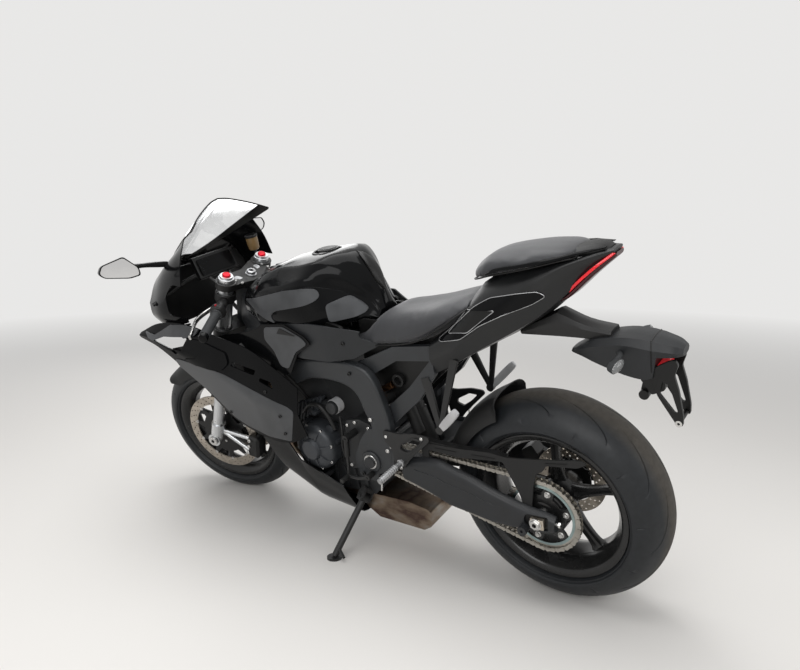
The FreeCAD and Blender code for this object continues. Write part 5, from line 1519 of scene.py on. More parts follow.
@dataclass
class BrakeDisc:
    """A drilled friction ring on its scalloped carrier.

    Args:
        name: the piece, given endings for ring, carrier and buttons.
        node: the plain node it stands for.
        body: the wheel.
        axle: the wheel's middle.
        offset: distance of its middle to the left.
        radius: outer radius.
        pair: whether the mirror image is built too.
        band: width of the friction ring.
        thickness: thickness of the ring.
        carrier: radius of the carrier's ring.
        bore: radius of the carrier's bore.
        arms: arms of the carrier.
        holes: holes in each row of the ring.
        hole_radius: radius of a hole.
    """

    name: str
    node: str
    body: Body
    axle: Vector
    offset: float
    radius: float
    pair: bool
    band: float = 36.0
    thickness: float = 5.0
    carrier: float = 66.0
    bore: float = 23.3
    arms: int = 10
    holes: int = 30
    hole_radius: float = 3.1

    def ring(self) -> Form:
        """The ring with its three staggered rows of holes, by Geometry Nodes.

        Returns:
            The ring.
        """
        tree = NodeTree(self.name + "_ring", [("Outer", "NodeSocketFloat", 165.0),
                                              ("Inner", "NodeSocketFloat", 129.0),
                ("Hole", "NodeSocketFloat", 3.0), ("Wall", "NodeSocketFloat", 5.0)])
        edges = [tree.add("GeometryNodeCurvePrimitiveCircle",
                          {"Resolution": count, "Radius": tree.source[label]})
                 for label, count in (("Outer", 144), ("Inner", 144))]
        hole = tree.add("GeometryNodeCurvePrimitiveCircle", {"Resolution": 10, "Radius": tree.source["Hole"]})
        spots = tree.add("GeometryNodeInstanceOnPoints",
                         {"Points": tree.source["Geometry"], "Instance": hole.outputs["Curve"]})
        real = tree.add("GeometryNodeRealizeInstances", {"Geometry": spots.outputs[0]})
        lines = tree.add("GeometryNodeJoinGeometry")
        for source in (edges[0].outputs["Curve"], edges[1].outputs["Curve"], real.outputs[0]):
            tree.tree.links.new(source, lines.inputs[0])
        face = tree.add("GeometryNodeFillCurve", {"Curve": lines.outputs[0]})
        raised = tree.add("GeometryNodeExtrudeMesh", {"Mesh": face.outputs[0],
                                                      "Offset": Vector((0.0, 0.0, 1.0)),
                "Offset Scale": tree.source["Wall"], "Individual": False})
        under = tree.add("GeometryNodeFlipFaces", {"Mesh": face.outputs[0]})
        both = tree.add("GeometryNodeJoinGeometry")
        for source in (raised.outputs["Mesh"], under.outputs[0]):
            tree.tree.links.new(source, both.inputs[0])
        closed = tree.add("GeometryNodeMergeByDistance", {"Geometry": both.outputs[0]})
        tree.close(closed.outputs[0], Palette.DISC)
        points = []
        for row, share in enumerate((0.2, 0.5, 0.8)):
            reach = self.radius - self.band * share
            for k in range(self.holes):
                angle = TURN * (k + row / 3) / self.holes
                points.append(Vector((reach * math.cos(angle), reach * math.sin(angle), 0.0)))
        flat = tree.grow(Form(points, []), {"Outer": self.radius, "Inner": self.radius - self.band,
                                            "Hole": self.hole_radius, "Wall": self.thickness})
        stand = Matrix.Translation(self.axle + LEFT * (self.offset + self.thickness / 2)) @ Matrix.Rotation(
            math.pi / 2, 4, "X")
        return flat.moved(stand)

    def carrier_plate(self) -> Form:
        """The carrier: a ring whose lobes reach out to the friction ring.

        Returns:
            The carrier.
        """
        outer, inner = [], []
        for k in range(180):
            angle = TURN * k / 180
            lobe = max(0.0, math.cos(angle * self.arms)) ** 1.6
            low = self.carrier + (self.radius - self.band - self.carrier) * 0.45
            reach = low + (self.radius - self.band + 3 - low) * lobe
            outer.append((self.axle.x + reach * math.sin(angle), self.axle.z + reach * math.cos(angle)))
            inner.append((self.axle.x + self.bore * math.sin(angle),
                          self.axle.z + self.bore * math.cos(angle)))
        half = self.thickness / 2 - 0.4
        return Form().ring_plate(outer, inner, self.offset - half, self.offset + half)

    def buttons(self) -> Form:
        """The floating buttons between carrier and ring, and the carrier's bolts.

        Returns:
            The buttons and bolts.
        """
        form = Form()
        reach = self.radius - self.band
        for k in range(self.arms):
            angle = TURN * k / self.arms
            spot = self.axle + Vector((reach * math.sin(angle), self.offset, reach * math.cos(angle)))
            form.spin([(-3.2, 2.6), (-3.2, 6.4), (3.2, 6.4), (3.2, 2.6)], spot, steps=16, closed=True)
        for k in range(5):
            angle = TURN * (k + 0.5) / 5
            spot = self.axle + Vector((42.0 * math.sin(angle), self.offset, 42.0 * math.cos(angle)))
            side = LEFT * (1.0 if self.offset > 0 else -1.0)
            form.rod(spot, spot + side * 5.6, 5.5, 5.0, 12)
        return form

    def build(self) -> None:
        """Builds the disc's three pieces."""
        for form, ending, finish, bevel in ((self.ring(), "ring", Palette.DISC, 0.0),
                                            (self.carrier_plate(), "carrier", Palette.BLACK_DEEP, 0.8),
                                            (self.buttons(), "buttons", Palette.STEEL, 0.0)):
            if self.pair:
                form.both()
            form.piece(self.name + "_" + ending, finish, self.body, "disc_steel", (self.node,), bevel)


@dataclass
class Sprocket:
    """The rear sprocket: toothed ring, blued inner ring, spider, carrier and nuts.

    Args:
        teeth: its teeth.
        pitch: the chain's pitch.
        line: distance of the chain's middle to the left.
        thickness: thickness of the toothed ring.
        window: inner radius of the toothed ring.
        arms: arms of the spider.
        hub_half: where the carrier meets the hub.
    """

    teeth: int = 43
    pitch: float = 15.875
    line: float = 115.0
    thickness: float = 6.0
    window: float = 92.7
    arms: int = 6
    hub_half: float = 76.3

    def pitch_radius(self) -> float:
        """Radius of the roller centres."""
        return self.pitch / (2 * math.sin(math.pi / self.teeth))

    def toothed_ring(self) -> Form:
        """The ring with a rounded gullet under each roller.

        Returns:
            The toothed ring.
        """
        outer, inner = [], []
        middle = self.pitch_radius()
        shape = ((0.0, -5.0), (0.14, -4.5), (0.25, -2.6), (0.36, 1.6), (0.46, 4.4), (0.54, 4.4), (0.64, 1.6),
                 (0.75, -2.6), (0.86, -4.5))
        for k in range(self.teeth):
            for part, out in shape:
                angle = TURN * (k + part) / self.teeth
                for line, reach in ((outer, middle + out), (inner, self.window)):
                    line.append((reach * math.cos(angle), REAR_AXLE.z + reach * math.sin(angle)))
        return Form().ring_plate(outer, inner, self.line - self.thickness / 2, self.line + self.thickness / 2)

    def spider(self) -> Form:
        """The black star between carrier and ring, with a lobe round each nut.

        Returns:
            The star.
        """
        outer, inner = [], []
        for k in range(180):
            angle = TURN * k / 180
            lobe = max(0.0, math.cos((angle + 0.28) * self.arms)) ** 0.7
            reach = 64 + (self.window + 2.5 - 64) * lobe
            outer.append((reach * math.sin(angle), REAR_AXLE.z + reach * math.cos(angle)))
            inner.append((33.0 * math.sin(angle), REAR_AXLE.z + 33.0 * math.cos(angle)))
        plate = Form().ring_plate(outer, inner, self.line - 5, self.line + 1.5)
        profile = [(self.hub_half, 20.5), (self.line + 3, 20.5), (self.line + 3, 36), (self.line - 4, 58),
                   (self.line - 8, 68), (self.hub_half, 70)]
        return plate.join(Form().spin(profile, REAR_AXLE, steps=64, closed=True))

    def nuts(self) -> Form:
        """Hexagon nuts on their studs.

        Returns:
            The nuts and studs.
        """
        form = Form()
        for k in range(self.arms):
            angle = TURN * k / self.arms - 0.28
            spot = REAR_AXLE + Vector((73.0 * math.sin(angle), self.line + 1.5, 73.0 * math.cos(angle)))
            form.rod(spot, spot + LEFT * 1.2, 9.2, 9.2, 20)
            form.rod(spot, spot + LEFT * 6.5, 7.4, 7.0, 6)
            form.rod(spot, spot + LEFT * 9.0, 3.2, 2.8, 10)
        return form

    def build(self) -> None:
        """Builds the sprocket's four pieces."""
        blued = Form().spin([(self.line + 2.0, self.window - 4), (self.line + 4.4, self.window - 4),
                             (self.line + 4.4, self.window + 4), (self.line + 2.0, self.window + 4)],
                            REAR_AXLE, steps=96, closed=True)
        rows = ((self.toothed_ring(), "sprocket_teeth", Palette.CHAIN, 0.4),
                (blued, "sprocket_blued_ring", Palette.TEAL, 0.4),
                (self.spider(), "sprocket_spider", Palette.RIM, 1.0),
                (self.nuts(), "sprocket_nuts", Palette.STEEL, 0.4))
        for form, name, finish, bevel in rows:
            form.piece(name, finish, Body.REAR_WHEEL, "chain_steel", ("rear_sprocket",), bevel)


@dataclass
class DriveChain:
    """The roller chain, one link after another round both sprockets.

    Args:
        pitch: distance between rollers.
        line: distance of its middle to the left.
        rear_teeth: teeth of the rear sprocket.
        front_teeth: teeth of the front sprocket.
        shaft: the front sprocket's middle.
        half_height: half the height of a plate.
    """

    pitch: float = 15.875
    line: float = 115.0
    rear_teeth: int = 43
    front_teeth: int = 16
    shaft: tuple[float, float] = (655.0, 420.0)
    half_height: float = 7.2

    def path(self) -> list[Vector]:
        """The pitch line: two arcs and the straight runs between them.

        Returns:
            Points along the line, in order.
        """
        big, small = (self.pitch / (2 * math.sin(math.pi / teeth)) for teeth in (self.rear_teeth,
                self.front_teeth))
        front = Vector((self.shaft[0], 0.0, self.shaft[1]))
        gap = front - REAR_AXLE
        tilt = math.atan2(gap.z, gap.x)
        spread = math.acos((big - small) / gap.length)
        points = []
        for k in range(41):
            angle = tilt + spread - 2 * spread * k / 40
            points.append(front + Vector((math.cos(angle), 0.0, math.sin(angle))) * small)
        for k in range(121):
            angle = tilt - spread - (TURN - 2 * spread) * k / 120
            points.append(REAR_AXLE + Vector((math.cos(angle), 0.0, math.sin(angle))) * big)
        return points

    def link(self, y0: float, y1: float) -> Form:
        """A pair of waisted link plates, about the origin.

        Args:
            y0: distance of a plate's inner face from the middle.
            y1: distance of its outer face from the middle.

        Returns:
            Both plates.
        """
        reach, half, form = self.pitch / 2, self.half_height, Form()
        outline = []
        for side in (1, -1):
            for k in range(7):
                angle = math.radians(-66 + 22 * k) + (0.0 if side > 0 else math.pi)
                outline.append((side * reach + half * math.cos(angle), half * math.sin(angle)))
            outline.append((0.0, side * half * 0.62))
        for sign in (1, -1):
            form.prism(outline, sign * y0, sign * y1)
        return form

    def build(self) -> None:
        """Builds the chain by Geometry Nodes: links on a resampled path, odd ones narrower."""
        tree = NodeTree("chain_links", [("Wide", "NodeSocketObject", None),
                                        ("Narrow", "NodeSocketObject", None),
                                        ("Count", "NodeSocketInt", 112)])
        curve = tree.add("GeometryNodeMeshToCurve", {"Mesh": tree.source["Geometry"]})
        even = tree.add("GeometryNodeResampleCurve", {"Curve": curve.outputs[0],
                                                      "Count": tree.source["Count"]})
        tangent = tree.add("GeometryNodeInputTangent")
        turn = tree.add("FunctionNodeAlignRotationToVector", {"Vector": tangent.outputs[0]}, axis="X",
                        pivot_axis="Y")
        index = tree.add("GeometryNodeInputIndex")
        odd = tree.add("ShaderNodeMath", {0: index.outputs[0], 1: 2.0}, operation="MODULO")
        other = tree.add("ShaderNodeMath", {0: 1.0, 1: odd.outputs[0]}, operation="SUBTRACT")
        joined = tree.add("GeometryNodeJoinGeometry")
        for label, chosen in (("Wide", other), ("Narrow", odd)):
            part = tree.add("GeometryNodeObjectInfo", {"Object": tree.source[label]})
            placed = tree.add("GeometryNodeInstanceOnPoints",
                              {"Points": even.outputs[0], "Selection": chosen.outputs[0],
                               "Instance": part.outputs["Geometry"], "Rotation": turn.outputs[0]})
            tree.tree.links.new(placed.outputs[0], joined.inputs[0])
        tree.close(joined.outputs[0], Palette.CHAIN)
        patterns = {}
        for label, y0, y1 in (("Wide", 7.4, 9.3), ("Narrow", 5.1, 7.2)):
            shape = self.link(y0, y1)
            reach = self.pitch / 2
            if label == "Wide":
                for x in (-reach, reach):
                    shape.rod(Vector((x, -10.2, 0)), Vector((x, 10.2, 0)), 2.6, 2.6, 8)
            else:
                for x in (-reach, reach):
                    shape.rod(Vector((x, -5.0, 0)), Vector((x, 5.0, 0)), 4.9, 4.9, 10)
            mesh = bpy.data.meshes.new("link_" + label.lower())
            mesh.from_pydata(shape.points, [], shape.faces)
            patterns[label] = bpy.data.objects.new("link_" + label.lower(), mesh)
            bpy.context.scene.collection.objects.link(patterns[label])
        points = self.path()
        length = sum((points[i] - points[i - 1]).length for i in range(len(points)))
        count = 2 * round(length / self.pitch / 2)
        seed = Form(points, [(i, (i + 1) % len(points)) for i in range(len(points))])
        form = tree.grow(seed, {"Wide": patterns["Wide"], "Narrow": patterns["Narrow"], "Count": count})
        for pattern in patterns.values():
            mesh = pattern.data
            bpy.data.objects.remove(pattern)
            bpy.data.meshes.remove(mesh)
        form = form.moved(Matrix.Translation(LEFT * self.line))
        form.piece("chain_links", Palette.CHAIN, Body.CHASSIS, "chain_steel", ("chain",))


@dataclass
class FuelTank:
    """The sculpted tank with its satin side panels, knee pads and rear trim.

    Args:
        rows: cross sections from nose to seat, each with the (x, y, z) points of its left half.
        panel: outline of the satin panel in side view.
        recess: outline of the dark recess along its top.
        pad: outline of the knee pad.
        spine: x, z and half width along the trim on the rear slope.
    """

    rows: Sequence[Sequence[tuple[float, float, float]]] = (
        ((1062, 0, 944), (1062, 50, 941), (1062, 84, 930), (1062, 98, 915), (1062, 108, 898),
         (1062, 112, 886), (1062, 108, 866), (1062, 96, 850), (1062, 0, 846)),
        ((990, 0, 986), (990, 56, 981), (980, 100, 968), (980, 124, 950), (980, 142, 930), (980, 148, 918),
         (980, 148, 880), (980, 136, 846), (990, 0, 838)),
        ((940, 0, 1004), (935, 60, 999), (930, 107, 992), (930, 134, 972), (930, 157, 945), (930, 162, 934),
         (930, 170, 890), (930, 160, 842), (930, 0, 832)),
        ((860, 0, 1027), (860, 64, 1022), (860, 113, 1011), (860, 142, 984), (860, 165, 961), (860, 171, 948),
         (860, 180, 900), (860, 168, 838), (860, 0, 824)),
        ((790, 0, 1038), (790, 66, 1034), (790, 118, 1019), (790, 146, 995), (790, 168, 977), (790, 175, 965),
         (790, 184, 908), (790, 170, 838), (790, 0, 818)),
        ((710, 0, 1046), (710, 70, 1043), (710, 120, 1032), (710, 146, 1010), (710, 164, 996),
         (710, 171, 978), (710, 178, 912), (710, 164, 842), (710, 0, 818)),
        ((655, 0, 1050), (655, 62, 1047), (659, 104, 1034), (663, 124, 1010), (671, 138, 985),
         (672, 142, 966), (668, 150, 908), (662, 144, 846), (655, 0, 820)),
        ((604, 0, 1038), (608, 45, 1031), (612, 82, 1005), (620, 97, 988), (632, 109, 969), (634, 113, 952),
         (630, 122, 901), (622, 116, 846), (610, 0, 826)),
        ((557, 0, 996), (565, 34, 985), (580, 60, 960), (586, 69, 952), (594, 77, 943), (595, 80, 929),
         (586, 92, 889), (580, 88, 850), (570, 0, 834)),
        ((531, 0, 936), (538, 22, 928), (552, 38, 916), (553, 41, 913), (554, 44, 909), (554, 47, 898),
         (550, 60, 872), (546, 62, 852), (540, 0, 842)),
        ((514, 0, 876), (517, 20, 874), (524, 34, 870), (525, 37, 867), (526, 40, 863), (526, 44, 858),
         (526, 50, 853), (526, 50, 849), (522, 0, 845)),
    )
    panel: Sequence[tuple[float, float]] = (
        (996, 920), (931, 934), (860, 951), (781, 968), (689, 980), (611, 978), (556, 972), (520, 965),
        (470, 944), (474, 900), (500, 878), (560, 862), (623, 860), (711, 851), (800, 846), (850, 840),
        (900, 852), (960, 896))
    recess: Sequence[tuple[float, float]] = (
        (985, 922), (931, 930), (781, 963), (689, 975), (640, 974), (629, 952), (656, 934), (700, 920),
        (835, 895), (862, 877), (842, 852), (880, 862), (950, 902))
    pad: Sequence[tuple[float, float]] = (
        (616, 924), (508, 960), (455, 932), (438, 912), (498, 868), (608, 868))
    spine: Sequence[tuple[float, float, float]] = (
        (612, 1040, 2), (590, 1032, 14), (565, 1008, 20), (548, 980, 21), (536, 950, 16), (526, 926, 4))

    def grid(self) -> list[list[Vector]]:
        """The left half of the skin as rows of points, creased along its three lines."""
        rows = [flow([Vector(point) for point in row], 4, (2, 4, 5)) for row in self.rows]
        columns = [flow(list(column), 5) for column in zip(*rows)]
        return [list(row) for row in zip(*columns)]

    def build(self) -> None:
        """Builds the tank's pieces."""
        rings = []
        for row in self.grid():
            ring = list(row) + [Vector((p.x, -p.y, p.z)) for p in row[-2:0:-1]]
            rings.append(ring)
        skin = Form().skin(rings)
        flank = Skin(skin)
        cap = Vector((734.0, 0.0, 1030.0))
        skin = carved(skin, Form().spin([(8.4, 0.0), (8.4, 46.0), (60.0, 46.0), (60.0, 0.0)],
                                        cap - Vector((0, 0, 1)), Vector((0, 0, 1)), 64))
        skin.piece("tank_shell", Palette.BLACK_GLOSS, Body.CHASSIS, "gloss_black", ("fuel_tank",), 1.2,
                   38.0, 50.0)
        satin = draped(soft(flank.laid(self.panel, 178.0, (0.92, -0.3)), 16.0), flank, 2.4, 5.0).both()
        satin.piece("tank_side_panels", Palette.BLACK_GLOSS, Body.CHASSIS, "matte_plastic", ("fuel_tank",),
                    1.2)
        dark = draped(soft(flank.laid(self.recess, 178.0, (0.92, -0.3)), 14.0), flank, 4.6, 5.0).both()
        dark.piece("tank_panel_insets", Palette.PANEL_SATIN, Body.CHASSIS, "matte_plastic", ("fuel_tank",),
                   0.8)
        knees = draped(soft(flank.laid(self.pad, 178.0, (0.92, -0.3)), 12.0), flank, 6.2, 6.0).both()
        knees.piece("tank_knee_pads", Palette.PANEL_SATIN, Body.CHASSIS, "matte_plastic", ("fuel_tank",), 2.0)
        leaf = []
        line = flow([Vector((x, half, z)) for x, z, half in self.spine], 4)
        for k, point in enumerate(line):
            way = line[min(k + 1, len(line) - 1)] - line[max(k - 1, 0)]
            out = Vector((way.z, 0.0, -way.x)).normalized()
            if out.x > 0:
                out = -out
            ring = []
            for share, raised in ((-1.0, 0.0), (-0.7, 3.0), (0.0, 4.0), (0.7, 3.0), (1.0, 0.0)):
                ring.append(Vector((point.x, share * point.y, point.z)) + out * raised)
            ring += [p - out * 5.0 for p in ring[::-1]]
            leaf.append(ring)
        Form().skin(leaf).piece("tank_rear_trim", Palette.BLACK_DEEP, Body.CHASSIS, "matte_plastic",
                                ("fuel_tank",))
        ring = Form().spin([(6.0, 43.6), (12.5, 43.6), (13.8, 45.2), (13.8, 50.0), (11.0, 53.0),
                            (6.0, 53.0)], cap,
                           Vector((0, 0, 1)), 72, closed=True)
        ring.piece("filler_ring", Palette.BLACK_DEEP, Body.CHASSIS, "black_metal", ("fuel_tank",))


@dataclass
class SideCovers:
    """Satin covers between tank and frame with a bolt and the rear lug.

    Args:
        outline: the cover's outline in side view.
    """

    outline: Sequence[tuple[float, float]] = (
        (846, 852), (780, 858), (700, 862), (640, 860), (600, 848), (560, 838), (540, 831), (544, 824),
        (540, 809), (485, 786), (526, 768), (568, 748), (640, 744), (750, 743), (815, 752), (838, 790))

    def flank(self, x: float, z: float) -> float:
        """Distance to the left: straight in front, drawn in towards the seat."""
        return 186.0 - max(0.0, 640.0 - x) * 0.5

    def build(self) -> None:
        """Builds both covers, the panels behind them and the valve below the seat."""
        form = draped(soft(self.outline, 8.0), self.flank, 0.0, 6.0, 18.0)
        form.both().piece("side_covers_skin", Palette.PANEL, Body.CHASSIS, "matte_plastic",
                          ("side_covers",), 1.4)
        inner = draped(soft([(940, 800), (900, 850), (858, 866), (680, 866), (600, 846), (590, 780),
                             (600, 752), (700, 744), (860, 744), (920, 770)], 10.0), level(150.0), 0.0, 12.0)
        inner.both().piece("side_covers_backs", Palette.BLACK_DEEP, Body.CHASSIS, "matte_plastic",
                           ("side_covers",), 1.0)
        under = draped(soft([(560, 856), (330, 846), (244, 832), (236, 742), (268, 728), (470, 548),
                             (545, 590), (585, 700), (580, 850)], 6.0), level(88.0), 0.0, 6.0)
        under.both().piece("under_seat_panels", Palette.BLACK_DEEP, Body.CHASSIS, "matte_plastic",
                           ("subframe",), 1.0)
        ring = Form().spin([(88, 13), (88, 21), (102, 21), (102, 13)], Vector((454, 0, 668)), steps=32,
                           closed=True)
        ring.both().piece("solenoid_rings", Palette.PLASTIC, Body.CHASSIS, "matte_plastic", ("subframe",),
                          1.0)
        valve = Form().rod(Vector((476, 98, 652)), Vector((520, 98, 630)), 12.0, 10.0, 24)
        valve.both().piece("solenoid_valves", Palette.BRONZE, Body.CHASSIS, "bare_steel", ("subframe",), 1.0)


@dataclass
class FrameBeams:
    """The two broad spars from the steering head to the swingarm pivot.

    Args:
        stations: outer (x, z), inner (x, z) and both distances to the left.
    """

    stations: Sequence[tuple[float, float, float, float, float, float]] = (
        (1146, 896, 1186, 790, 30, 50), (1056, 850, 1084, 726, 66, 96), (940, 778, 965, 655, 112, 146),
        (845, 724, 862, 626, 126, 158), (710, 730, 765, 660, 128, 160), (590, 732, 645, 660, 128, 160),
        (520, 704, 588, 632, 126, 158), (484, 630, 562, 572, 129, 160), (466, 520, 548, 508, 130, 160),
        (486, 400, 606, 410, 130, 160), (530, 330, 618, 336, 130, 156))

    def build(self) -> None:
        """Builds both spars with their pivot bosses."""
        rings = []
        for x0, z0, x1, z1, y0, y1 in self.stations:
            corners = [Vector((x0, y0, z0)), Vector((x1, y0, z1)), Vector((x1, y1 - 2, z1)),
                       Vector((x0, y1, z0))]
            rings.append(soft_ring(corners, 9.0, 3))
        form = Form().skin(flow_rings(rings, 5))
        boss = Form().spin([(128, 0), (128, 36), (163, 36), (166.2, 33), (166.2, 0)], Vector((566, 0, 399)),
                           steps=48)
        plate = Form().prism(soft([(478, 500), (470, 420), (500, 345), (560, 320), (632, 330), (640, 400),
                                   (600, 470), (556, 520)], 18.0), 134, 158)
        form.join(boss).join(plate).both()
        form.piece("frame_spars_skin", Palette.FRAME, Body.CHASSIS, "frame_paint", ("frame_spars",), 2.0,
                   40.0)
        ring = Form().spin([(166.0, 17.0), (166.0, 25.0), (168.5, 24.0), (168.5, 17.0)],
                           Vector((566, 0, 399)), steps=48, closed=True).both()
        ring.piece("pivot_rings", Palette.STEEL, Body.CHASSIS, "bare_steel", ("frame_spars",))


@dataclass
class RearArms:
    """The long arms of the swingarm with their adjusters.

    Args:
        stations: x, top and bottom along an arm.
        inner: distance of the inner face to the left.
        outer: distance of the outer face.
    """

    stations: Sequence[tuple[float, float, float]] = (
        (448, 432, 352), (400, 438, 340), (330, 446, 316), (286, 438, 300), (204, 416, 289), (129, 388, 281),
        (40, 364, 286), (-20, 356, 292), (-52, 348, 300))
    inner: float = 128.0
    outer: float = 156.0

    def section(self, x: float, top: float, bottom: float) -> list[Vector]:
        """A section with rounded edges, a flat side and a step along its top."""
        y0, y1 = self.inner, self.outer
        corners = [Vector((x, y0, bottom)), Vector((x, y1 - 3, bottom + 3)), Vector((x, y1 + 2, bottom + 14)),
                   Vector((x, y1 + 2, top - 24)), Vector((x, y1 - 5, top - 8)), Vector((x, y0 + 4, top))]
        return soft_ring(corners, 6.0, 2)

    def build(self) -> None:
        """Builds the arms and their adjusters."""
        rings = flow_rings([self.section(*station) for station in self.stations], 5)
        arm = Form().skin(rings)
        slot = Form().prism(soft([(-34, 306), (32, 306), (40, 326), (32, 346), (-34, 346)], 9.0), 118, 170)
        arm = carved(arm, slot)
        arm.both().piece("rear_arms_skin", Palette.ARM, Body.CHASSIS, "frame_paint", ("swingarm_arms",),
                         1.2, 42.0, 55.0)
        seam = Form()
        path = flow([Vector((x, self.outer + 2.2, (top + bottom) / 2 + 14)) for x, top, bottom in
                     self.stations[1:6]], 4)
        seam.tube(path, 1.6, 8)
        seam.both().piece("rear_arms_weld_seams", Palette.ARM, Body.CHASSIS, "frame_paint",
                          ("swingarm_arms",))
        liner = Form().prism(soft([(-33, 307), (31, 307), (39, 326), (31, 345), (-33, 345)], 9.0), 130, 152)
        hole = Form().spin([(120, 0), (120, 16.5), (170, 16.5), (170, 0)], REAR_AXLE, steps=32)
        liner = carved(liner, hole)
        liner.both().piece("axle_slot_liners", Palette.BLACK_DEEP, Body.CHASSIS, "black_metal",
                           ("swingarm_arms",))
        block = Form().prism(soft([(-24, 310), (16, 310), (16, 342), (-24, 342)], 4.0), 152.5, 163.5)
        block = carved(block, Form().spin([(140, 0), (140, 12.8), (180, 12.8), (180, 0)], REAR_AXLE,
                                          steps=32))
        block.both().piece("axle_adjuster_blocks", Palette.CHAMPAGNE, Body.CHASSIS, "bare_steel",
                           ("rear_axle",), 1.2)
        nut = Form()
        nut.spin([(163.0, 7.2), (163.0, 18.0), (166.5, 18.0), (166.5, 7.2)], REAR_AXLE, steps=ROUND_STEPS,
                 closed=True)
        nut.spin([(166.5, 7.2), (166.5, 15.4), (171.0, 15.4), (172.5, 13.5), (172.5, 7.2)], REAR_AXLE,
                 steps=6, closed=True)
        nut.both().piece("axle_nuts", Palette.STEEL, Body.CHASSIS, "bare_steel", ("rear_axle",), 0.6)
        spindle = Form().spin([(-164, 7.2), (-164, 12.4), (164, 12.4), (164, 7.2)], REAR_AXLE,
                              steps=ROUND_STEPS, closed=True)
        spindle.spin([(118.5, 12.6), (118.5, 22.0), (127.7, 22.0), (127.7, 12.6)], REAR_AXLE,
                     steps=ROUND_STEPS, closed=True)
        spindle.spin([(-127.7, 12.6), (-127.7, 22.0), (-77.5, 22.0), (-77.5, 12.6)], REAR_AXLE,
                     steps=ROUND_STEPS, closed=True)
        spindle.piece("rear_spindle", Palette.STEEL, Body.CHASSIS, "bare_steel", ("rear_axle",), 0.6)
        screw = Form().rod(Vector((-52, 142, 326)), Vector((-66, 142, 326)), 5.0, 5.0, 16)
        screw.rod(Vector((-60, 142, 326)), Vector((-66, 142, 326)), 8.0, 7.4, 6).both()
        screw.piece("chain_adjuster_screws", Palette.STEEL, Body.CHASSIS, "bare_steel", ("swingarm_arms",))


@dataclass
class ChainGuard:
    """The long guard over the chain with its slot and clips.

    Args:
        outline: the guard's outline in side view.
    """

    outline: Sequence[tuple[float, float]] = (
        (404, 502), (353, 492), (240, 496), (142, 504), (87, 500), (40, 506), (-10, 514), (-128, 536),
        (-150, 530), (-122, 512), (-33, 500), (-19, 476), (-2, 470), (10, 430), (18, 380), (24, 342),
        (44, 342), (56, 390), (84, 450), (100, 484), (240, 466), (352, 470), (356, 426), (374, 426),
        (380, 478), (404, 484))

    def build(self) -> None:
        """Builds the guard."""
        form = draped(soft(self.outline, 8.0), level(134.5), 0.0, 5.5)
        form.prism(soft([(396, 500), (240, 496), (142, 503), (90, 499), (90, 494), (240, 490), (396, 494)],
                        2.0, 2),
                   112, 132)
        form.piece("chain_guard_skin", Palette.PLASTIC, Body.CHASSIS, "matte_plastic", ("chain_guard",), 1.2)
        slots = Form()
        for x0, z0, x1, z1 in ((-96, 520, -30, 508), (120, 490, 200, 486), (250, 484, 330, 482)):
            slots.prism(soft([(x0, z0), (x1, z1), (x1 - 4, z1 - 7), (x0 + 8, z0 - 6)], 3.0, 2), 134.6, 136.0)
        slots.piece("chain_guard_slots", Palette.BLACK_DEEP, Body.CHASSIS, "matte_plastic", ("chain_guard",))


Section = tuple[float, Sequence[tuple[float, float]]]


def body_rings(stations: Sequence[Section], across: int, along: int, corners: Sequence[int] = (),
               breaks: Sequence[int] = (), grow: float = 0.0) -> list[list[Vector]]:
    """Whole rings through left half sections that start and end on the middle plane.

    Args:
        stations: x and the (y, z) points of each left half.
        across: pieces of each gap within a section.
        along: pieces of each gap between sections.
        corners: points of a half section that stay creases.
        breaks: sections that stay creases.
        grow: how far each section grows out of its middle.

    Returns:
        Closed rings.
    """
    grid = stations_grid(stations, across, along, corners, breaks)
    rings = []
    for row in grid:
        middle = sum((p.z for p in row), 0.0) / len(row)
        line = [Vector((p.x, p.y * (1 + grow), middle + (p.z - middle) * (1 + grow))) for p in row]
        rings.append(line + [Vector((p.x, -p.y, p.z)) for p in line[-2:0:-1]])
    return rings


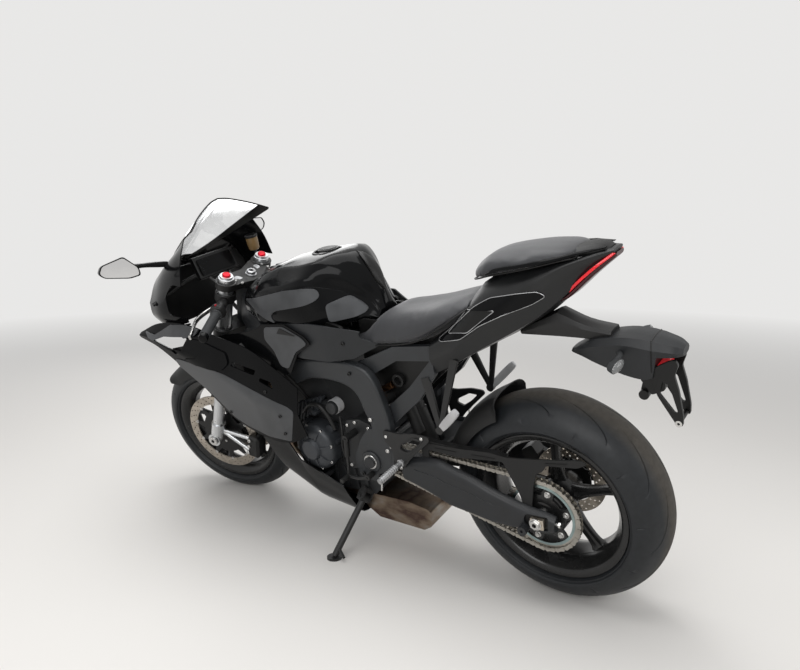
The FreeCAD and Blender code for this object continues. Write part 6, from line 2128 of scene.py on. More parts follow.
@dataclass
class Seats:
    """Rider and pillion seats: crowned pads with pulled-in sides and stitched seams.

    Args:
        rider: sections of the rider's seat.
        pillion: sections of the passenger's seat.
    """

    rider: Sequence[Section] = (
        (598, ((0, 800), (60, 800), (102, 793), (114, 778), (102, 766), (0, 764))),
        (548, ((0, 826), (60, 825), (104, 815), (119, 796), (112, 774), (0, 772))),
        (486, ((0, 872), (56, 870), (98, 856), (123, 822), (117, 788), (0, 780))),
        (413, ((0, 880), (66, 881), (112, 867), (133, 834), (127, 800), (0, 790))),
        (330, ((0, 893), (72, 895), (120, 883), (139, 854), (133, 822), (0, 806))),
        (250, ((0, 915), (66, 916), (112, 907), (133, 885), (129, 866), (0, 840))),
        (168, ((0, 938), (40, 939), (80, 936), (102, 929), (102, 919), (0, 902))))
    pillion: Sequence[Section] = (
        (174, ((0, 1010), (28, 1006), (46, 997), (48, 988), (38, 983), (0, 983))),
        (140, ((0, 1036), (44, 1032), (76, 1017), (84, 1003), (76, 995), (0, 991))),
        (96, ((0, 1057), (56, 1053), (92, 1038), (102, 1019), (94, 1009), (0, 1001))),
        (0, ((0, 1069), (58, 1067), (96, 1056), (108, 1039), (100, 1029), (0, 1021))),
        (-88, ((0, 1073), (50, 1071), (78, 1066), (88, 1054), (82, 1047), (0, 1039))),
        (-126, ((0, 1069), (36, 1067), (56, 1064), (64, 1058), (58, 1053), (0, 1047))))

    def cushion(self, stations: Sequence[Section], pressure: float, limit: float) -> Form:
        """A pad blown up under cloth pressure, within a limit, then subdivided once.

        Args:
            stations: its sections.
            pressure: pressure inside the cover.
            limit: how far a point may move, in millimetres.

        Returns:
            The pad's form.
        """
        form = Form().skin(body_rings(stations, 3, 4, (), (), -0.02))
        mesh = bpy.data.meshes.new("cushion")
        mesh.from_pydata([point * MM for point in form.points], [], form.faces)
        work = bmesh.new()
        work.from_mesh(mesh)
        bmesh.ops.recalc_face_normals(work, faces=work.faces)
        work.to_mesh(mesh)
        work.free()
        piece = bpy.data.objects.new("cushion", mesh)
        bpy.context.scene.collection.objects.link(piece)
        remesh = piece.modifiers.new("remesh", "REMESH")
        remesh.mode = "VOXEL"
        remesh.voxel_size = 0.0065
        rest = evaluated(piece)
        piece.modifiers.clear()
        piece.data = rest
        bpy.data.meshes.remove(mesh)
        before = [vert.co.copy() for vert in rest.vertices]
        after = before
        cloth = piece.modifiers.new("cloth", "CLOTH")
        cloth.settings.quality = 5
        cloth.settings.use_pressure = True
        cloth.settings.uniform_pressure_force = pressure
        cloth.settings.effector_weights.gravity = 0.0
        scene = bpy.context.scene
        for frame_number in range(1, 21):
            scene.frame_set(frame_number)
        blown = evaluated(piece)
        after = [vert.co.copy() for vert in blown.vertices]
        bpy.data.meshes.remove(blown)
        piece.modifiers.clear()
        scene.frame_set(1)
        for vert, start, end in zip(rest.vertices, before, after):
            shift = end - start
            if shift.length > limit * MM:
                shift = shift.normalized() * limit * MM
            vert.co = start + shift
        smooth = piece.modifiers.new("smooth", "SMOOTH")
        smooth.iterations = 6
        smooth.factor = 0.5
        subdivision = piece.modifiers.new("round", "SUBSURF")
        subdivision.levels = subdivision.render_levels = 1
        result = as_form(evaluated(piece))
        bpy.data.objects.remove(piece)
        bpy.data.meshes.remove(rest)
        result.points = [point / MM for point in result.points]
        return result

    def piping(self, stations: Sequence[Section], row: int, radius: float) -> Form:
        """A seam bead round the lower edge of a pad."""
        left = [Vector((x, line[row][0] + 0.5, line[row][1])) for x, line in stations]
        path = flow(left + [Vector((p.x, -p.y, p.z)) for p in left[::-1]], 5, (), True)
        return Form().tube(path + [path[0]], radius, 8)

    def build(self) -> None:
        """Builds both seats."""
        for name, stations, limit in (("rider_seat", self.rider, 5.0), ("pillion_seat", self.pillion, 4.0)):
            pad = self.cushion(stations, 4.0, limit)
            piece = pad.piece(name + "_cover", Palette.VINYL, Body.CHASSIS, "seat_cover", (name,),
                              smooth_deg=70.0)
            bead = self.piping(stations, 4, 2.4)
            bead.piece(name + "_piping", Palette.BLACK_DEEP, Body.CHASSIS, "seat_cover", (name,),
                       smooth_deg=60.0)


@dataclass
class TailUnit:
    """The pointed tail: gloss flanks with a framed window, hump, trim and red lamp.

    Args:
        stations: sections of the shell.
        window: outline of the recessed window in side view.
        blade: outline of the gloss flank panel.
    """

    stations: Sequence[Section] = (
        (300, ((0, 812), (90, 818), (124, 806), (132, 770), (112, 716), (0, 706))),
        (210, ((0, 888), (90, 884), (124, 862), (134, 812), (112, 766), (0, 752))),
        (130, ((0, 985), (64, 982), (112, 940), (128, 872), (104, 812), (0, 796))),
        (60, ((0, 1012), (72, 1006), (108, 964), (120, 912), (94, 850), (0, 834))),
        (-20, ((0, 1034), (66, 1028), (98, 1000), (104, 958), (78, 898), (0, 884))),
        (-92, ((0, 1052), (54, 1048), (80, 1034), (80, 1010), (58, 956), (0, 946))),
        (-160, ((0, 1064), (40, 1062), (56, 1054), (56, 1040), (40, 1016), (0, 1012))),
        (-208, ((0, 1066), (22, 1065), (30, 1062), (30, 1058), (22, 1054), (0, 1052))))
    blade: Sequence[tuple[float, float]] = (
        (272, 850), (200, 906), (150, 944), (80, 962), (0, 977), (-58, 984), (-80, 972), (-40, 950),
        (51, 916), (120, 884), (187, 840), (252, 828))
    window: Sequence[tuple[float, float]] = ((234, 862), (152, 927), (70, 928), (162, 861))

    def build(self) -> None:
        """Builds the tail's pieces."""
        shell = Form().skin(body_rings(self.stations, 4, 4, (1, 3, 4)))
        flank = Skin(shell)
        shell.piece("tail_shell", Palette.TAIL, Body.CHASSIS, "gloss_black", ("tail_cowl",), 1.0, 36.0, 60.0)
        blade_line = soft(flank.laid(self.blade, 130.0, (0.6, -0.28)), 8.0)
        window_line = soft(flank.laid(self.window, 130.0, (0.6, -0.28)), 7.0)
        blade = draped(blade_line, flank, 4.5, 6.0, 18.0)
        window = Form().prism(window_line, 40, 190)
        blade = carved(blade, window)
        blade.both().piece("tail_gloss_blades", Palette.BLACK_GLOSS, Body.CHASSIS, "gloss_black",
                           ("tail_cowl",), 0.8)
        pane = draped(window_line, flank, 1.2, 3.0, 18.0)
        pane.both().piece("tail_windows", Palette.BLACK_DEEP, Body.CHASSIS, "gloss_black", ("tail_cowl",))
        edge = Form()
        frame_line = [Vector((x, flank(x, z) + 4.2, z)) for x, z in window_line]
        edge.tube(frame_line + [frame_line[0]], 1.1, 6)
        rim = [Vector((x, flank(x, z) + 4.4, z)) for x, z in blade_line]
        edge.tube(rim + [rim[0]], 1.0, 6)
        edge.both().piece("tail_window_edges", Palette.ALLOY, Body.CHASSIS, "bare_steel", ("tail_cowl",))
        trim = Form()
        top = ((104, 1012, 102), (60, 1026, 108), (0, 1036, 108), (-80, 1049, 92), (-130, 1058, 68),
               (-190, 1070, 34))
        line = flow([Vector((x, y, z)) for x, z, y in top], 4)
        rings = []
        for k, point in enumerate(line):
            tall = 9.0 * min(1.0, (len(line) - k) / 5, (k + 2) / 4)
            ring = [Vector((point.x, point.y + 3, point.z)), Vector((point.x, point.y + 1, point.z + tall)),
                    Vector((point.x, point.y - 6, point.z + tall)), Vector((point.x, point.y - 12, point.z))]
            rings.append(soft_ring(ring, 2.5, 2))
        trim.skin(rings).both()
        trim.piece("tail_seat_trim", Palette.BLACK_GLOSS, Body.CHASSIS, "gloss_black", ("tail_cowl",))
        hump = body_rings(((-104, ((0, 1070), (30, 1068), (52, 1060), (58, 1054), (40, 1050), (0, 1048))),
                           (-150, ((0, 1077), (28, 1075), (46, 1066), (50, 1058), (36, 1054), (0, 1052))),
                           (-178, ((0, 1076), (22, 1074), (34, 1067), (36, 1061), (28, 1057), (0, 1055))),
                           (-196, ((0, 1068), (14, 1067), (20, 1064), (21, 1062), (16, 1060), (0, 1059)))),
                           4, 5)
        Form().skin(hump).piece("tail_hump", Palette.PLASTIC, Body.CHASSIS, "matte_plastic", ("tail_cowl",))
        self.lamp()

    def lamp(self) -> None:
        """Builds the red lamp under the tail's edge, its housing and light guides."""
        stations = ((-70, ((0, 940), (40, 940), (46, 937), (46, 934), (40, 931), (0, 930))),
                    (-100, ((0, 957), (44, 962), (51, 959), (51, 953), (44, 948), (0, 946))),
                    (-160, ((0, 1013), (36, 1020), (43, 1017), (43, 1007), (36, 1002), (0, 1000))),
                    (-212, ((0, 1055), (18, 1056), (24, 1053), (24, 1048), (18, 1045), (0, 1044))))
        housing = Form().skin(body_rings(stations, 3, 4, (1, 4)))
        housing.piece("tail_lamp_lens", Palette.DARK_LENS, Body.CHASSIS, "red_lens", ("tail_light",))
        line = flow([Vector((-96, 54, 962)), Vector((-130, 58, 994)), Vector((-168, 52, 1026)),
                     Vector((-206, 30, 1054))],
                    6)
        strip = []
        for point in line:
            ring = [point + Vector((2, 1, 3)), point + Vector((2, -5, 3)), point + Vector((-4, -5, -1)),
                    point + Vector((-4, 1, -1))]
            strip.append(soft_ring(ring, 1.5, 2))
        red = Form().skin(strip).both()
        red.piece("tail_lamp_strips", Palette.RED_LENS, Body.CHASSIS, "red_lens", ("tail_light",))


@dataclass
class PlateCarrier:
    """Arm, lamp body, forked legs, reflector and indicators behind the wheel.

    Args:
        arm: sections of the arm.
        hood: sections of the lamp body.
    """

    arm: Sequence[Section] = (
        (60, ((0, 842), (26, 840), (30, 834), (24, 826), (0, 826))),
        (-50, ((0, 902), (28, 896), (34, 868), (26, 830), (0, 826))),
        (-120, ((0, 872), (26, 868), (32, 856), (26, 830), (0, 826))),
        (-190, ((0, 858), (26, 856), (32, 848), (26, 826), (0, 820))))
    hood: Sequence[Section] = (
        (-82, ((0, 800), (20, 799), (28, 794), (22, 788), (0, 787))),
        (-118, ((0, 822), (30, 819), (42, 808), (34, 782), (0, 778))),
        (-150, ((0, 838), (36, 835), (50, 820), (40, 772), (0, 768))),
        (-220, ((0, 852), (42, 848), (54, 832), (46, 752), (0, 746))),
        (-270, ((0, 851), (42, 847), (54, 828), (46, 744), (0, 740))),
        (-292, ((0, 848), (40, 844), (52, 824), (44, 750), (0, 746))),
        (-302, ((0, 846), (40, 842), (50, 823), (44, 804), (0, 800))),
        (-340, ((0, 836), (32, 832), (42, 818), (36, 805), (0, 802))),
        (-360, ((0, 826), (20, 823), (27, 814), (21, 806), (0, 804))))

    def build(self) -> None:
        """Builds the carrier's pieces."""
        for name, stations, finish in (("plate_arm", self.arm, Palette.BRACKET),
                                       ("plate_lamp_body", self.hood,
                                                                                 Palette.PANEL)):
            breaks = (5, 6) if stations is self.hood else (1,)
            form = Form().skin(body_rings(stations, 3, 4, (1, 2, 3), breaks))
            form.piece(name, finish, Body.CHASSIS, "black_metal", ("plate_bracket",), 0.8, 36.0, 55.0)
        seam = Form().tube([Vector((-291, -41, 844)), Vector((-291, 0, 848.5)), Vector((-291, 41, 844.5)),
                            Vector((-293, 52.6, 825)), Vector((-291, 46, 766))], 1.6, 8)
        seam.piece("plate_body_seams", Palette.BLACK_DEEP, Body.CHASSIS, "black_metal", ("plate_bracket",))
        plate = Form().prism(soft([(-258, 740), (-300, 776), (-320, 772), (-318, 716), (-286, 700)], 5.0),
                             -34, 34)
        legs = Form().prism(soft([(-296, 776), (-326, 794), (-343, 801), (-352, 788), (-342, 760),
                                  (-352, 720), (-361, 655), (-360, 628), (-347, 626), (-301, 701),
                                  (-290, 735)], 6.0), 29, 39)
        legs = carved(legs, Form().prism(soft([(-314, 742), (-330, 732), (-349, 664), (-342, 660),
                                               (-306, 708)], 4.0),
                                         20, 50)).both()
        legs.rod(Vector((-350, -34, 634)), Vector((-350, 34, 634)), 6.0, 6.0, 16)
        plate.join(legs)
        plate.piece("plate_legs", Palette.BLACK_DEEP, Body.CHASSIS, "black_metal", ("plate_bracket",), 1.2)
        tips = Form().spin([(29, 3.4), (29, 8.6), (40, 8.6), (40, 3.4)], Vector((-350, 0, 634)), steps=24,
                           closed=True).both()
        tips.piece("plate_leg_eyes", Palette.STEEL, Body.CHASSIS, "bare_steel", ("plate_bracket",))
        lamp = Form().rod(Vector((-262, -22, 690)), Vector((-262, 22, 690)), 13.0, 13.0, 28)
        lamp.prism([(-272, 700), (-252, 700), (-262, 742), (-280, 742)], -12, 12)
        lamp.piece("number_plate_lamp", Palette.BLACK_DEEP, Body.CHASSIS, "black_metal", ("plate_bracket",),
                   1.0)
        red = Form().prism(soft([(-290, 752), (-318, 772), (-324, 790), (-296, 782)], 3.0), -30, 30)
        shift = Matrix.Translation(Vector((-4, 0, -2)))
        red.moved(shift).piece("rear_reflector", Palette.RED_LENS, Body.CHASSIS, "red_lens",
                               ("plate_bracket",), 1.0)
        self.indicators()

    def indicators(self) -> None:
        """Builds both rear indicators on their stalks."""
        stalk = Form().tube(flow([Vector((-214, 46, 808)), Vector((-224, 70, 812)),
                                  Vector((-222, 98, 804))], 4),
                            [9, 8.4, 8, 7.6, 7.4, 7.4, 7.6, 8, 8.4], 14).both()
        stalk.piece("indicator_stalks", Palette.SOFT, Body.CHASSIS, "matte_plastic", ("rear_indicators",))
        shell, lens = Form(), Form()
        wide = Vector((0.25, 1.0, -0.25)).normalized()
        back = Vector((-1.0, 0.25, 0.0)).normalized()
        tall = back.cross(wide).normalized()
        for form, start, length, scale in ((shell, 0.0, 20.0, 1.0), (lens, 19.4, 9.0, 0.95)):
            rings = []
            for k in range(7):
                t = k / 6
                size = scale * (math.sqrt(1 - (0.96 * t) ** 2)
                                if form is lens else 0.55 + 0.45 * math.sqrt(t))
                middle = Vector((-218, 118, 808)) + back * (start + length * t)
                rings.append([middle + wide * (26 * size * math.cos(a)) + tall * (13.5 * size * math.sin(a))
                              for a in (TURN * j / 28 for j in range(28))])
            form.skin(rings)
        shell.both().piece("indicator_shells", Palette.SOFT, Body.CHASSIS, "matte_plastic",
                           ("rear_indicators",))
        lens.both().piece("indicator_lenses", Palette.LENS, Body.CHASSIS, "lamp_lens", ("rear_indicators",))


@dataclass
class RearGuards:
    """Hugger over the rear tyre and mudguard over the front one."""

    def build(self) -> None:
        """Builds both guards with rounded ends."""
        for name, node, body, centre, half, drop, radius, start, sweep in (
                ("hugger_shell", "hugger", Body.CHASSIS, REAR_AXLE, 97, 62, 350, 24, 52),
                ("front_mudguard_shell", "front_mudguard", Body.STEERING, FRONT_AXLE, 71, 62, 318, -78, 118)):
            grid = []
            for k in range(41):
                t = k / 40
                angle = math.radians(start + sweep * t)
                ends = min(1.0, math.sin(math.pi * t) * 3.2 + 0.5)
                row = []
                for j in range(17):
                    s = j / 8 - 1
                    y = half * math.sin(s * math.pi / 2 * 0.98)
                    out = radius - drop * abs(s) ** 2.4 * ends
                    row.append(centre + Vector((out * math.sin(angle), y, out * math.cos(angle))))
                grid.append(row)
            form = Form().sheet(grid, 3.0, Vector((0, 0, 1)))
            form.piece(name, Palette.PLASTIC, body, "matte_plastic", (node,), 0.0, 50.0)


@dataclass
class PassengerPegs:
    """Tapered hangers below the tail with folded pegs."""

    def build(self) -> None:
        """Builds both hangers and pegs."""
        pivot = Vector((284, 148, 558))
        arms = Form()
        for root, wide in ((Vector((330, 124, 706)), 15.0), (Vector((226, 116, 772)), 13.0)):
            way = (pivot - root).normalized()
            side = way.cross(LEFT).normalized()
            rings = []
            for t in (0.0, 0.25, 0.6, 0.9, 1.0):
                middle = root + (pivot - root) * t
                half = wide * (1 - 0.42 * t)
                ring = [middle + side * half + LEFT * 5, middle + side * half - LEFT * 5,
                        middle - side * half - LEFT * 5, middle - side * half + LEFT * 5]
                rings.append(soft_ring(ring, 3.5, 2))
            arms.skin(rings)
        arms.rod(pivot - LEFT * 8, pivot + LEFT * 10, 13.0, 12.0, 28).both()
        arms.piece("passenger_hangers", Palette.BRACKET, Body.CHASSIS, "black_metal", ("passenger_pegs",),
                   0.0, 40.0)
        tip = Vector((204, 172, 640))
        way = (tip - pivot).normalized()
        side = way.cross(LEFT).normalized()
        rings = []
        for t, half, thick in ((0.05, 9, 6), (0.2, 12, 7), (0.55, 13, 7), (0.9, 12, 6.5), (1.0, 9, 5)):
            middle = pivot + (tip - pivot) * t
            other = way.cross(side).normalized()
            ring = [middle + side * half + other * thick, middle + side * half - other * thick,
                    middle - side * half - other * thick, middle - side * half + other * thick]
            rings.append(soft_ring(ring, 4.0, 3))
        peg = Form().skin(flow_rings(rings, 3)).both()
        peg.piece("passenger_peg_bars", Palette.SILVER, Body.CHASSIS, "control_alloy", ("passenger_pegs",),
                  0.0, 40.0)


@dataclass
class Fairing:
    """Upper fairing, nose, flanks, ducts, winglets, belly pan and screen.

    Args:
        cowl: sections of a flank of the upper fairing.
        nose: sections of the nose's left half.
        side: sections of a flank panel: top edge, crease and lower edge.
        satin: outline of the satin lower part of a flank in side view.
        gap: outline of the opening below the winglet, as seen from behind at 290 mm to the left.
        screen: base x, half width, base z and rise along the screen.
        arch: the screen's section.
        pan: sections of the belly pan's left half, from its upper edge.
    """

    cowl: Sequence[Section] = (
        (1246, ((158, 1118), (196, 1044), (222, 944), (228, 880), (222, 838))),
        (1310, ((136, 1088), (186, 1034), (226, 934), (232, 868), (224, 822))),
        (1400, ((104, 1049), (172, 1002), (222, 902), (226, 846), (204, 796))),
        (1500, ((52, 1010), (140, 962), (192, 886), (192, 838), (158, 788))))
    nose: Sequence[Section] = (
        (1500, ((0, 1018), (52, 1010), (140, 962), (192, 886), (192, 838), (158, 788))),
        (1575, ((0, 958), (40, 950), (104, 918), (142, 866), (142, 830), (112, 786))),
        (1622, ((0, 888), (28, 884), (60, 870), (74, 848), (72, 826), (52, 800))))
    side: Sequence[Section] = (
        (1512, ((250, 792), (262, 784), (258, 774))), (1400, ((238, 830), (264, 772), (258, 736))),
        (1250, ((232, 834), (262, 726), (244, 622))), (1110, ((230, 804), (258, 682), (230, 490))),
        (960, ((226, 770), (252, 604), (220, 434))), (862, ((216, 706), (244, 572), (214, 436))),
        (788, ((204, 642), (226, 560), (206, 470))))
    satin: Sequence[tuple[float, float]] = (
        (1337, 704), (1323, 676), (1242, 618), (1181, 572), (1106, 500), (1054, 474), (954, 446), (858, 442),
        (800, 566), (824, 584), (1080, 678), (1133, 690), (1310, 708))
    gap: Sequence[tuple[float, float]] = ((1392, 782), (1324, 802), (1222, 808), (1206, 800), (1253, 752),
                                          (1318, 760))
    screen: Sequence[tuple[float, float, float, float]] = (
        (1165, 175, 1151, 71), (1240, 160, 1120, 58), (1320, 134, 1085, 44), (1411, 100, 1045, 26),
        (1480, 60, 1017, 11), (1518, 16, 1001, 4))
    arch: Sequence[tuple[float, float]] = ((1.0, 0.0), (0.8, 0.28), (0.57, 0.56), (0.23, 0.89), (0.0, 1.0))
    pan: Sequence[Section] = (
        (1010, ((210, 430), (168, 320), (112, 236), (0, 222))),
        (880, ((212, 430), (158, 268), (104, 156), (0, 138))),
        (866, ((192, 356), (156, 262), (104, 152), (0, 134))),
        (706, ((172, 276), (146, 210), (100, 132), (0, 120))))

    def flank(self, x: float, z: float) -> float:
        """Distance to the left of the flank panel at a place in side view.

        Args:
            x: the place along the machine.
            z: its height.

        Returns:
            The distance.
        """
        rows = self.side[::-1]
        x = min(max(x, rows[0][0]), rows[-1][0])
        k = max(i for i in range(len(rows) - 1) if rows[i][0] <= x)
        part = (x - rows[k][0]) / (rows[k + 1][0] - rows[k][0])
        line = [(a[0] + (b[0] - a[0]) * part, a[1] + (b[1] - a[1]) * part) for a,
                b in zip(rows[k][1], rows[k + 1][1])]
        (y0, z0), (y1, z1), (y2, z2) = line
        if z >= z1:
            return y1 + (y0 - y1) * min((z - z1) / (z0 - z1), 1.0)
        return y1 + (y2 - y1) * min((z1 - z) / (z1 - z2), 1.0)

    def shell(self) -> None:
        """Builds the upper fairing and nose with hand room and lamp openings."""
        left = stations_grid(self.cowl, 4, 4, (2,))
        form = Form().sheet(left, 4.0, Vector((0, 1, 0.3)))
        hand = Form().prism(soft([(1190, 850), (1330, 862), (1340, 930), (1300, 972), (1190, 960)], 18.0),
                            150, 300)
        form = carved(form, hand)
        form.both()
        half = stations_grid(self.nose, 4, 5, (1, 3))
        rows = [[Vector((p.x, -p.y, p.z)) for p in row[:0:-1]] + row for row in half]
        nose = Form().sheet(rows, 4.0, Vector((0.4, 0, 1)))
        front = Skin(nose)
        lamp = [(1512, 864), (1594, 864), (1606, 838), (1522, 806)]
        opening = Form().prism(soft(lamp, 8.0), 30, 260).both()
        form.join(carved(nose, opening))
        form.piece("upper_fairing", Palette.BLACK_GLOSS, Body.CHASSIS, "gloss_black", ("upper_cowl",), 0.0,
                   40.0)
        intake = Form().skin([[Vector((x, y, z)) for y, z in ((-84, 798), (84, 798), (84, 870), (58, 912),
                                                              (0, 934), (-58, 912), (-84, 870))]
                                                              for x in (1556, 1562)])
        for k in range(7):
            intake.rod(Vector((1563, -60, 822 + 13 * k)), Vector((1563, 60, 822 + 13 * k)), 1.6, 1.6, 8)
        intake.piece("nose_intake", Palette.BLACK_DEEP, Body.CHASSIS, "matte_plastic", ("upper_cowl",))
        lens = draped(soft(lamp, 8.0), front, -1.6, 3.0, 12.0)
        lens.both().piece("headlight_lenses", Palette.LENS, Body.CHASSIS, "lamp_lens", ("headlights",))
        bowl = draped(soft(lamp, 8.0), lambda x, z: 116.0 - (x - 1512) * 0.55, 0.0, 4.0)
        bowl.both().piece("headlight_reflectors", Palette.ALLOY, Body.CHASSIS, "lamp_lens", ("headlights",))

    def flanks(self) -> None:
        """Builds the flank panels, their ducts, air vents and the winglets."""
        grid = stations_grid(self.side, 6, 5, (1,))
        form = Form().sheet(grid, 4.0, LEFT)
        vent = Form().prism(soft([(935, 700), (1035, 722), (1046, 708), (945, 682)], 6.0), 180, 300)
        vent.prism(soft([(880, 664), (920, 676), (926, 664), (872, 640)], 5.0), 180, 300)
        form = carved(form, vent)
        wing = [[Vector((x, 206, z)), Vector((x, 246, z - 1)), Vector((x, 250, z - 4)),
                 Vector((x, 246, z - 8)), Vector((x, 206, z - 6))] for x,
                 z in ((1470, 786), (1365, 808), (1260, 830))]
        form.join(Form().skin(wing))
        gap = Form().skin([[Vector((x + 0.92 * (290 - y), y, z - 0.3 * (290 - y))) for x, z in self.gap]
                           for y in (190, 345)])
        form = carved(form, gap)
        form.both().piece("flank_shells", Palette.BLACK_GLOSS, Body.CHASSIS, "gloss_black",
                          ("side_fairings",), 0.0, 30.0)
        satin = draped(soft(self.satin, 10.0), self.flank, 2.6, 4.4, 16.0)
        satin.both().piece("flank_panels", Palette.PANEL_SATIN, Body.CHASSIS, "gloss_black",
                           ("side_fairings",), 1.2)
        middle = draped(soft([(1196, 774), (1100, 798), (1000, 812), (930, 832), (899, 850), (794, 858),
                              (716, 824), (692, 801), (758, 764), (808, 690), (860, 672), (960, 700),
                              (1060, 748)], 8.0), level(197.0), 0.0, 4.0)
        middle.both().piece("inner_gloss_panels", Palette.BLACK_GLOSS, Body.CHASSIS, "gloss_black",
                            ("side_fairings",), 1.0)
        grey_part = draped(soft([(886, 842), (800, 850), (724, 819), (706, 800), (764, 768), (812, 706),
                                 (846, 712), (862, 764), (896, 800)], 12.0), level(200.0), 0.0, 4.0)
        grey_part.both().piece("inner_satin_panels", Palette.PANEL_SATIN, Body.CHASSIS, "matte_plastic", (
            "side_fairings",), 1.0)
        corner = draped(soft([(812, 846), (748, 824), (830, 826)], 4.0), level(202.0), 0.0, 3.0)
        corner.both().piece("inner_corner_marks", Palette.BLACK_DEEP, Body.CHASSIS, "matte_plastic",
                            ("side_fairings",))
        wall = Form().skin([[Vector((x, y, z)) for y, z in ((-168, 1000), (168, 1000), (212, 902),
                                                            (216, 846), (190, 800), (-190, 800),
                                                            (-216, 846), (-212, 902))]
                            for x in (1396, 1402)])
        wall.piece("nose_bulkhead", Palette.BLACK_DEEP, Body.CHASSIS, "matte_plastic", ("upper_cowl",), 1.0)
        duct = draped(soft([(1290, 792), (1180, 786), (1060, 752), (1050, 716), (1088, 688), (1140, 690),
                            (1230, 700), (1330, 738), (1420, 776), (1400, 792)], 12.0), self.flank, 6.0, 8.0)
        duct = carved(duct, Form().prism(soft([(1240, 752), (1200, 726), (1282, 712), (1330, 744)], 8.0),
                                         180, 300))
        duct = carved(duct, gap)
        duct.both().piece("flank_ducts", Palette.BLACK_GLOSS, Body.CHASSIS, "gloss_black",
                          ("side_fairings",), 1.6)
        mesh_back = draped(soft([(1256, 762), (1190, 730), (1290, 702), (1340, 746)], 6.0), self.flank,
                           -3.0, 3.0)
        mesh_back.both().piece("duct_backs", Palette.BLACK_DEEP, Body.CHASSIS, "matte_plastic",
                               ("side_fairings",))
        wing = draped(soft([(1470, 800), (1402, 796), (1300, 840), (1230, 842), (1168, 826), (1190, 806),
                            (1262, 790), (1360, 770), (1440, 782)], 6.0),
                      lambda x, z: self.flank(x, z) + 8 + 22 * max(0.0, 1 - abs(x - 1290) / 190), 0.0, 5.0,
                      16.0)
        wing = carved(wing, gap)
        wing.both().piece("winglets", Palette.PANEL_SATIN, Body.CHASSIS, "gloss_black", ("side_fairings",),
                          1.2)

    def wind_shield(self) -> None:
        """Builds the clear screen with its rim and dark edge strips."""
        rows = []
        for base_x, half, base_z, rise in self.screen:
            arch = [Vector((half * u, base_z + rise * v, 0)) for u, v in self.arch]
            arch = flow(arch, 4)
            line = arch + [Vector((-p.x, p.y, 0)) for p in arch[-2::-1]]
            rows.append([Vector((base_x + 0.75 * (p.y - base_z), p.x, p.y + 1.2)) for p in line])
        columns = [flow(list(column), 5) for column in zip(*rows)]
        grid = [list(row) for row in zip(*columns)]
        pane = Form().sheet(grid, 3.0, Vector((0, 0, 1)))
        pane.piece("screen_pane", Palette.SCREEN, Body.CHASSIS, "clear_screen", ("windscreen",), 0.0, 50.0)
        rim = Form().tube(grid[0], 2.3, 8)
        rim.piece("screen_rim", Palette.BLACK_DEEP, Body.CHASSIS, "clear_screen", ("windscreen",),
                  smooth_deg=50.0)
        strips = Form()
        for columns_used in (range(0, 5), range(len(grid[0]) - 5, len(grid[0]))):
            band = [[row[c] - Vector((0, 0, 1.2)) for c in columns_used] for row in grid]
            strips.join(Form().sheet(band, 4.4, Vector((0, 0, 1))))
        strips.piece("screen_edge_strips", Palette.BLACK_DEEP, Body.CHASSIS, "gloss_black", ("windscreen",),
                     0.0, 50.0)

    def under(self) -> None:
        """Builds the belly pan."""
        grid = stations_grid(self.pan, 4, 5, (), (1, 2))
        rows = [row + [Vector((p.x, -p.y, p.z)) for p in row[-2::-1]] for row in grid]
        form = Form().sheet(rows, 4.0, Vector((0, 0, -1)))
        form.piece("belly_pan_shell", Palette.BLACK_GLOSS, Body.CHASSIS, "gloss_black", ("belly_pan",), 0.0,
                   45.0)

    def build(self) -> None:
        """Builds all of the fairing."""
        self.shell()
        self.flanks()
        self.wind_shield()
        self.under()


@dataclass
class Mirrors:
    """Pointed housings on slim arms, with silvered glass behind a thin rim.

    Args:
        outline: the housing's outline.
    """

    outline: Sequence[tuple[float, float]] = (
        (252, 1042), (292, 1092), (366, 1078), (380, 1052), (366, 1034), (288, 1012), (252, 1014))

    def ring(self, back: float, scale_y: float, scale_z: float) -> list[Vector]:
        """The outline moved back and shrunk about its middle."""
        line = soft_ring([Vector((0, y, z)) for y, z in self.outline], 9.0, 3)
        return [Vector((1400 + back + (p.y - 252) * 0.3, 316 + (p.y - 316) * scale_y,
                        1050 + (p.z - 1050) * scale_z))
                for p in line]

    def build(self) -> None:
        """Builds both mirrors."""
        rings = [self.ring(3.0, 0.93, 0.9), self.ring(0.0, 0.95, 0.93), self.ring(-0.5, 0.985, 0.98),
                 self.ring(1.0, 1.0, 1.0), self.ring(12.0, 0.96, 0.93), self.ring(28.0, 0.84, 0.78),
                 self.ring(41.0, 0.66, 0.6), self.ring(48.0, 0.45, 0.4)]
        shell = Form().skin(rings)
        shell.both().piece("mirror_shells", Palette.BLACK_GLOSS, Body.CHASSIS, "gloss_black", ("mirrors",),
                           0.0, 40.0)
        glass = Form().skin([self.ring(2.6, 0.92, 0.885), self.ring(5.0, 0.92, 0.885)])
        glass.points = [p - Vector((1.2, 0, 0)) for p in glass.points]
        glass.both().piece("mirror_glasses", Palette.MIRROR, Body.CHASSIS, "bare_steel", ("mirrors",))
        rings = []
        for (x0, x1, y, z0, z1) in ((1390, 1424, 144, 1012, 1034), (1402, 1430, 184, 1022, 1042),
                                    (1408, 1434, 226, 1033, 1049), (1410, 1438, 262, 1038, 1056)):
            rings.append(soft_ring([Vector((x1, y, z0)), Vector((x0, y, z0)), Vector((x0, y, z1)),
                                    Vector((x1, y, z1))],
                                   6.0, 2))
        arm = Form().skin(flow_rings(rings, 4))
        arm.both().piece("mirror_arms", Palette.BLACK_DEEP, Body.CHASSIS, "gloss_black", ("mirrors",), 0.0,
                         50.0)


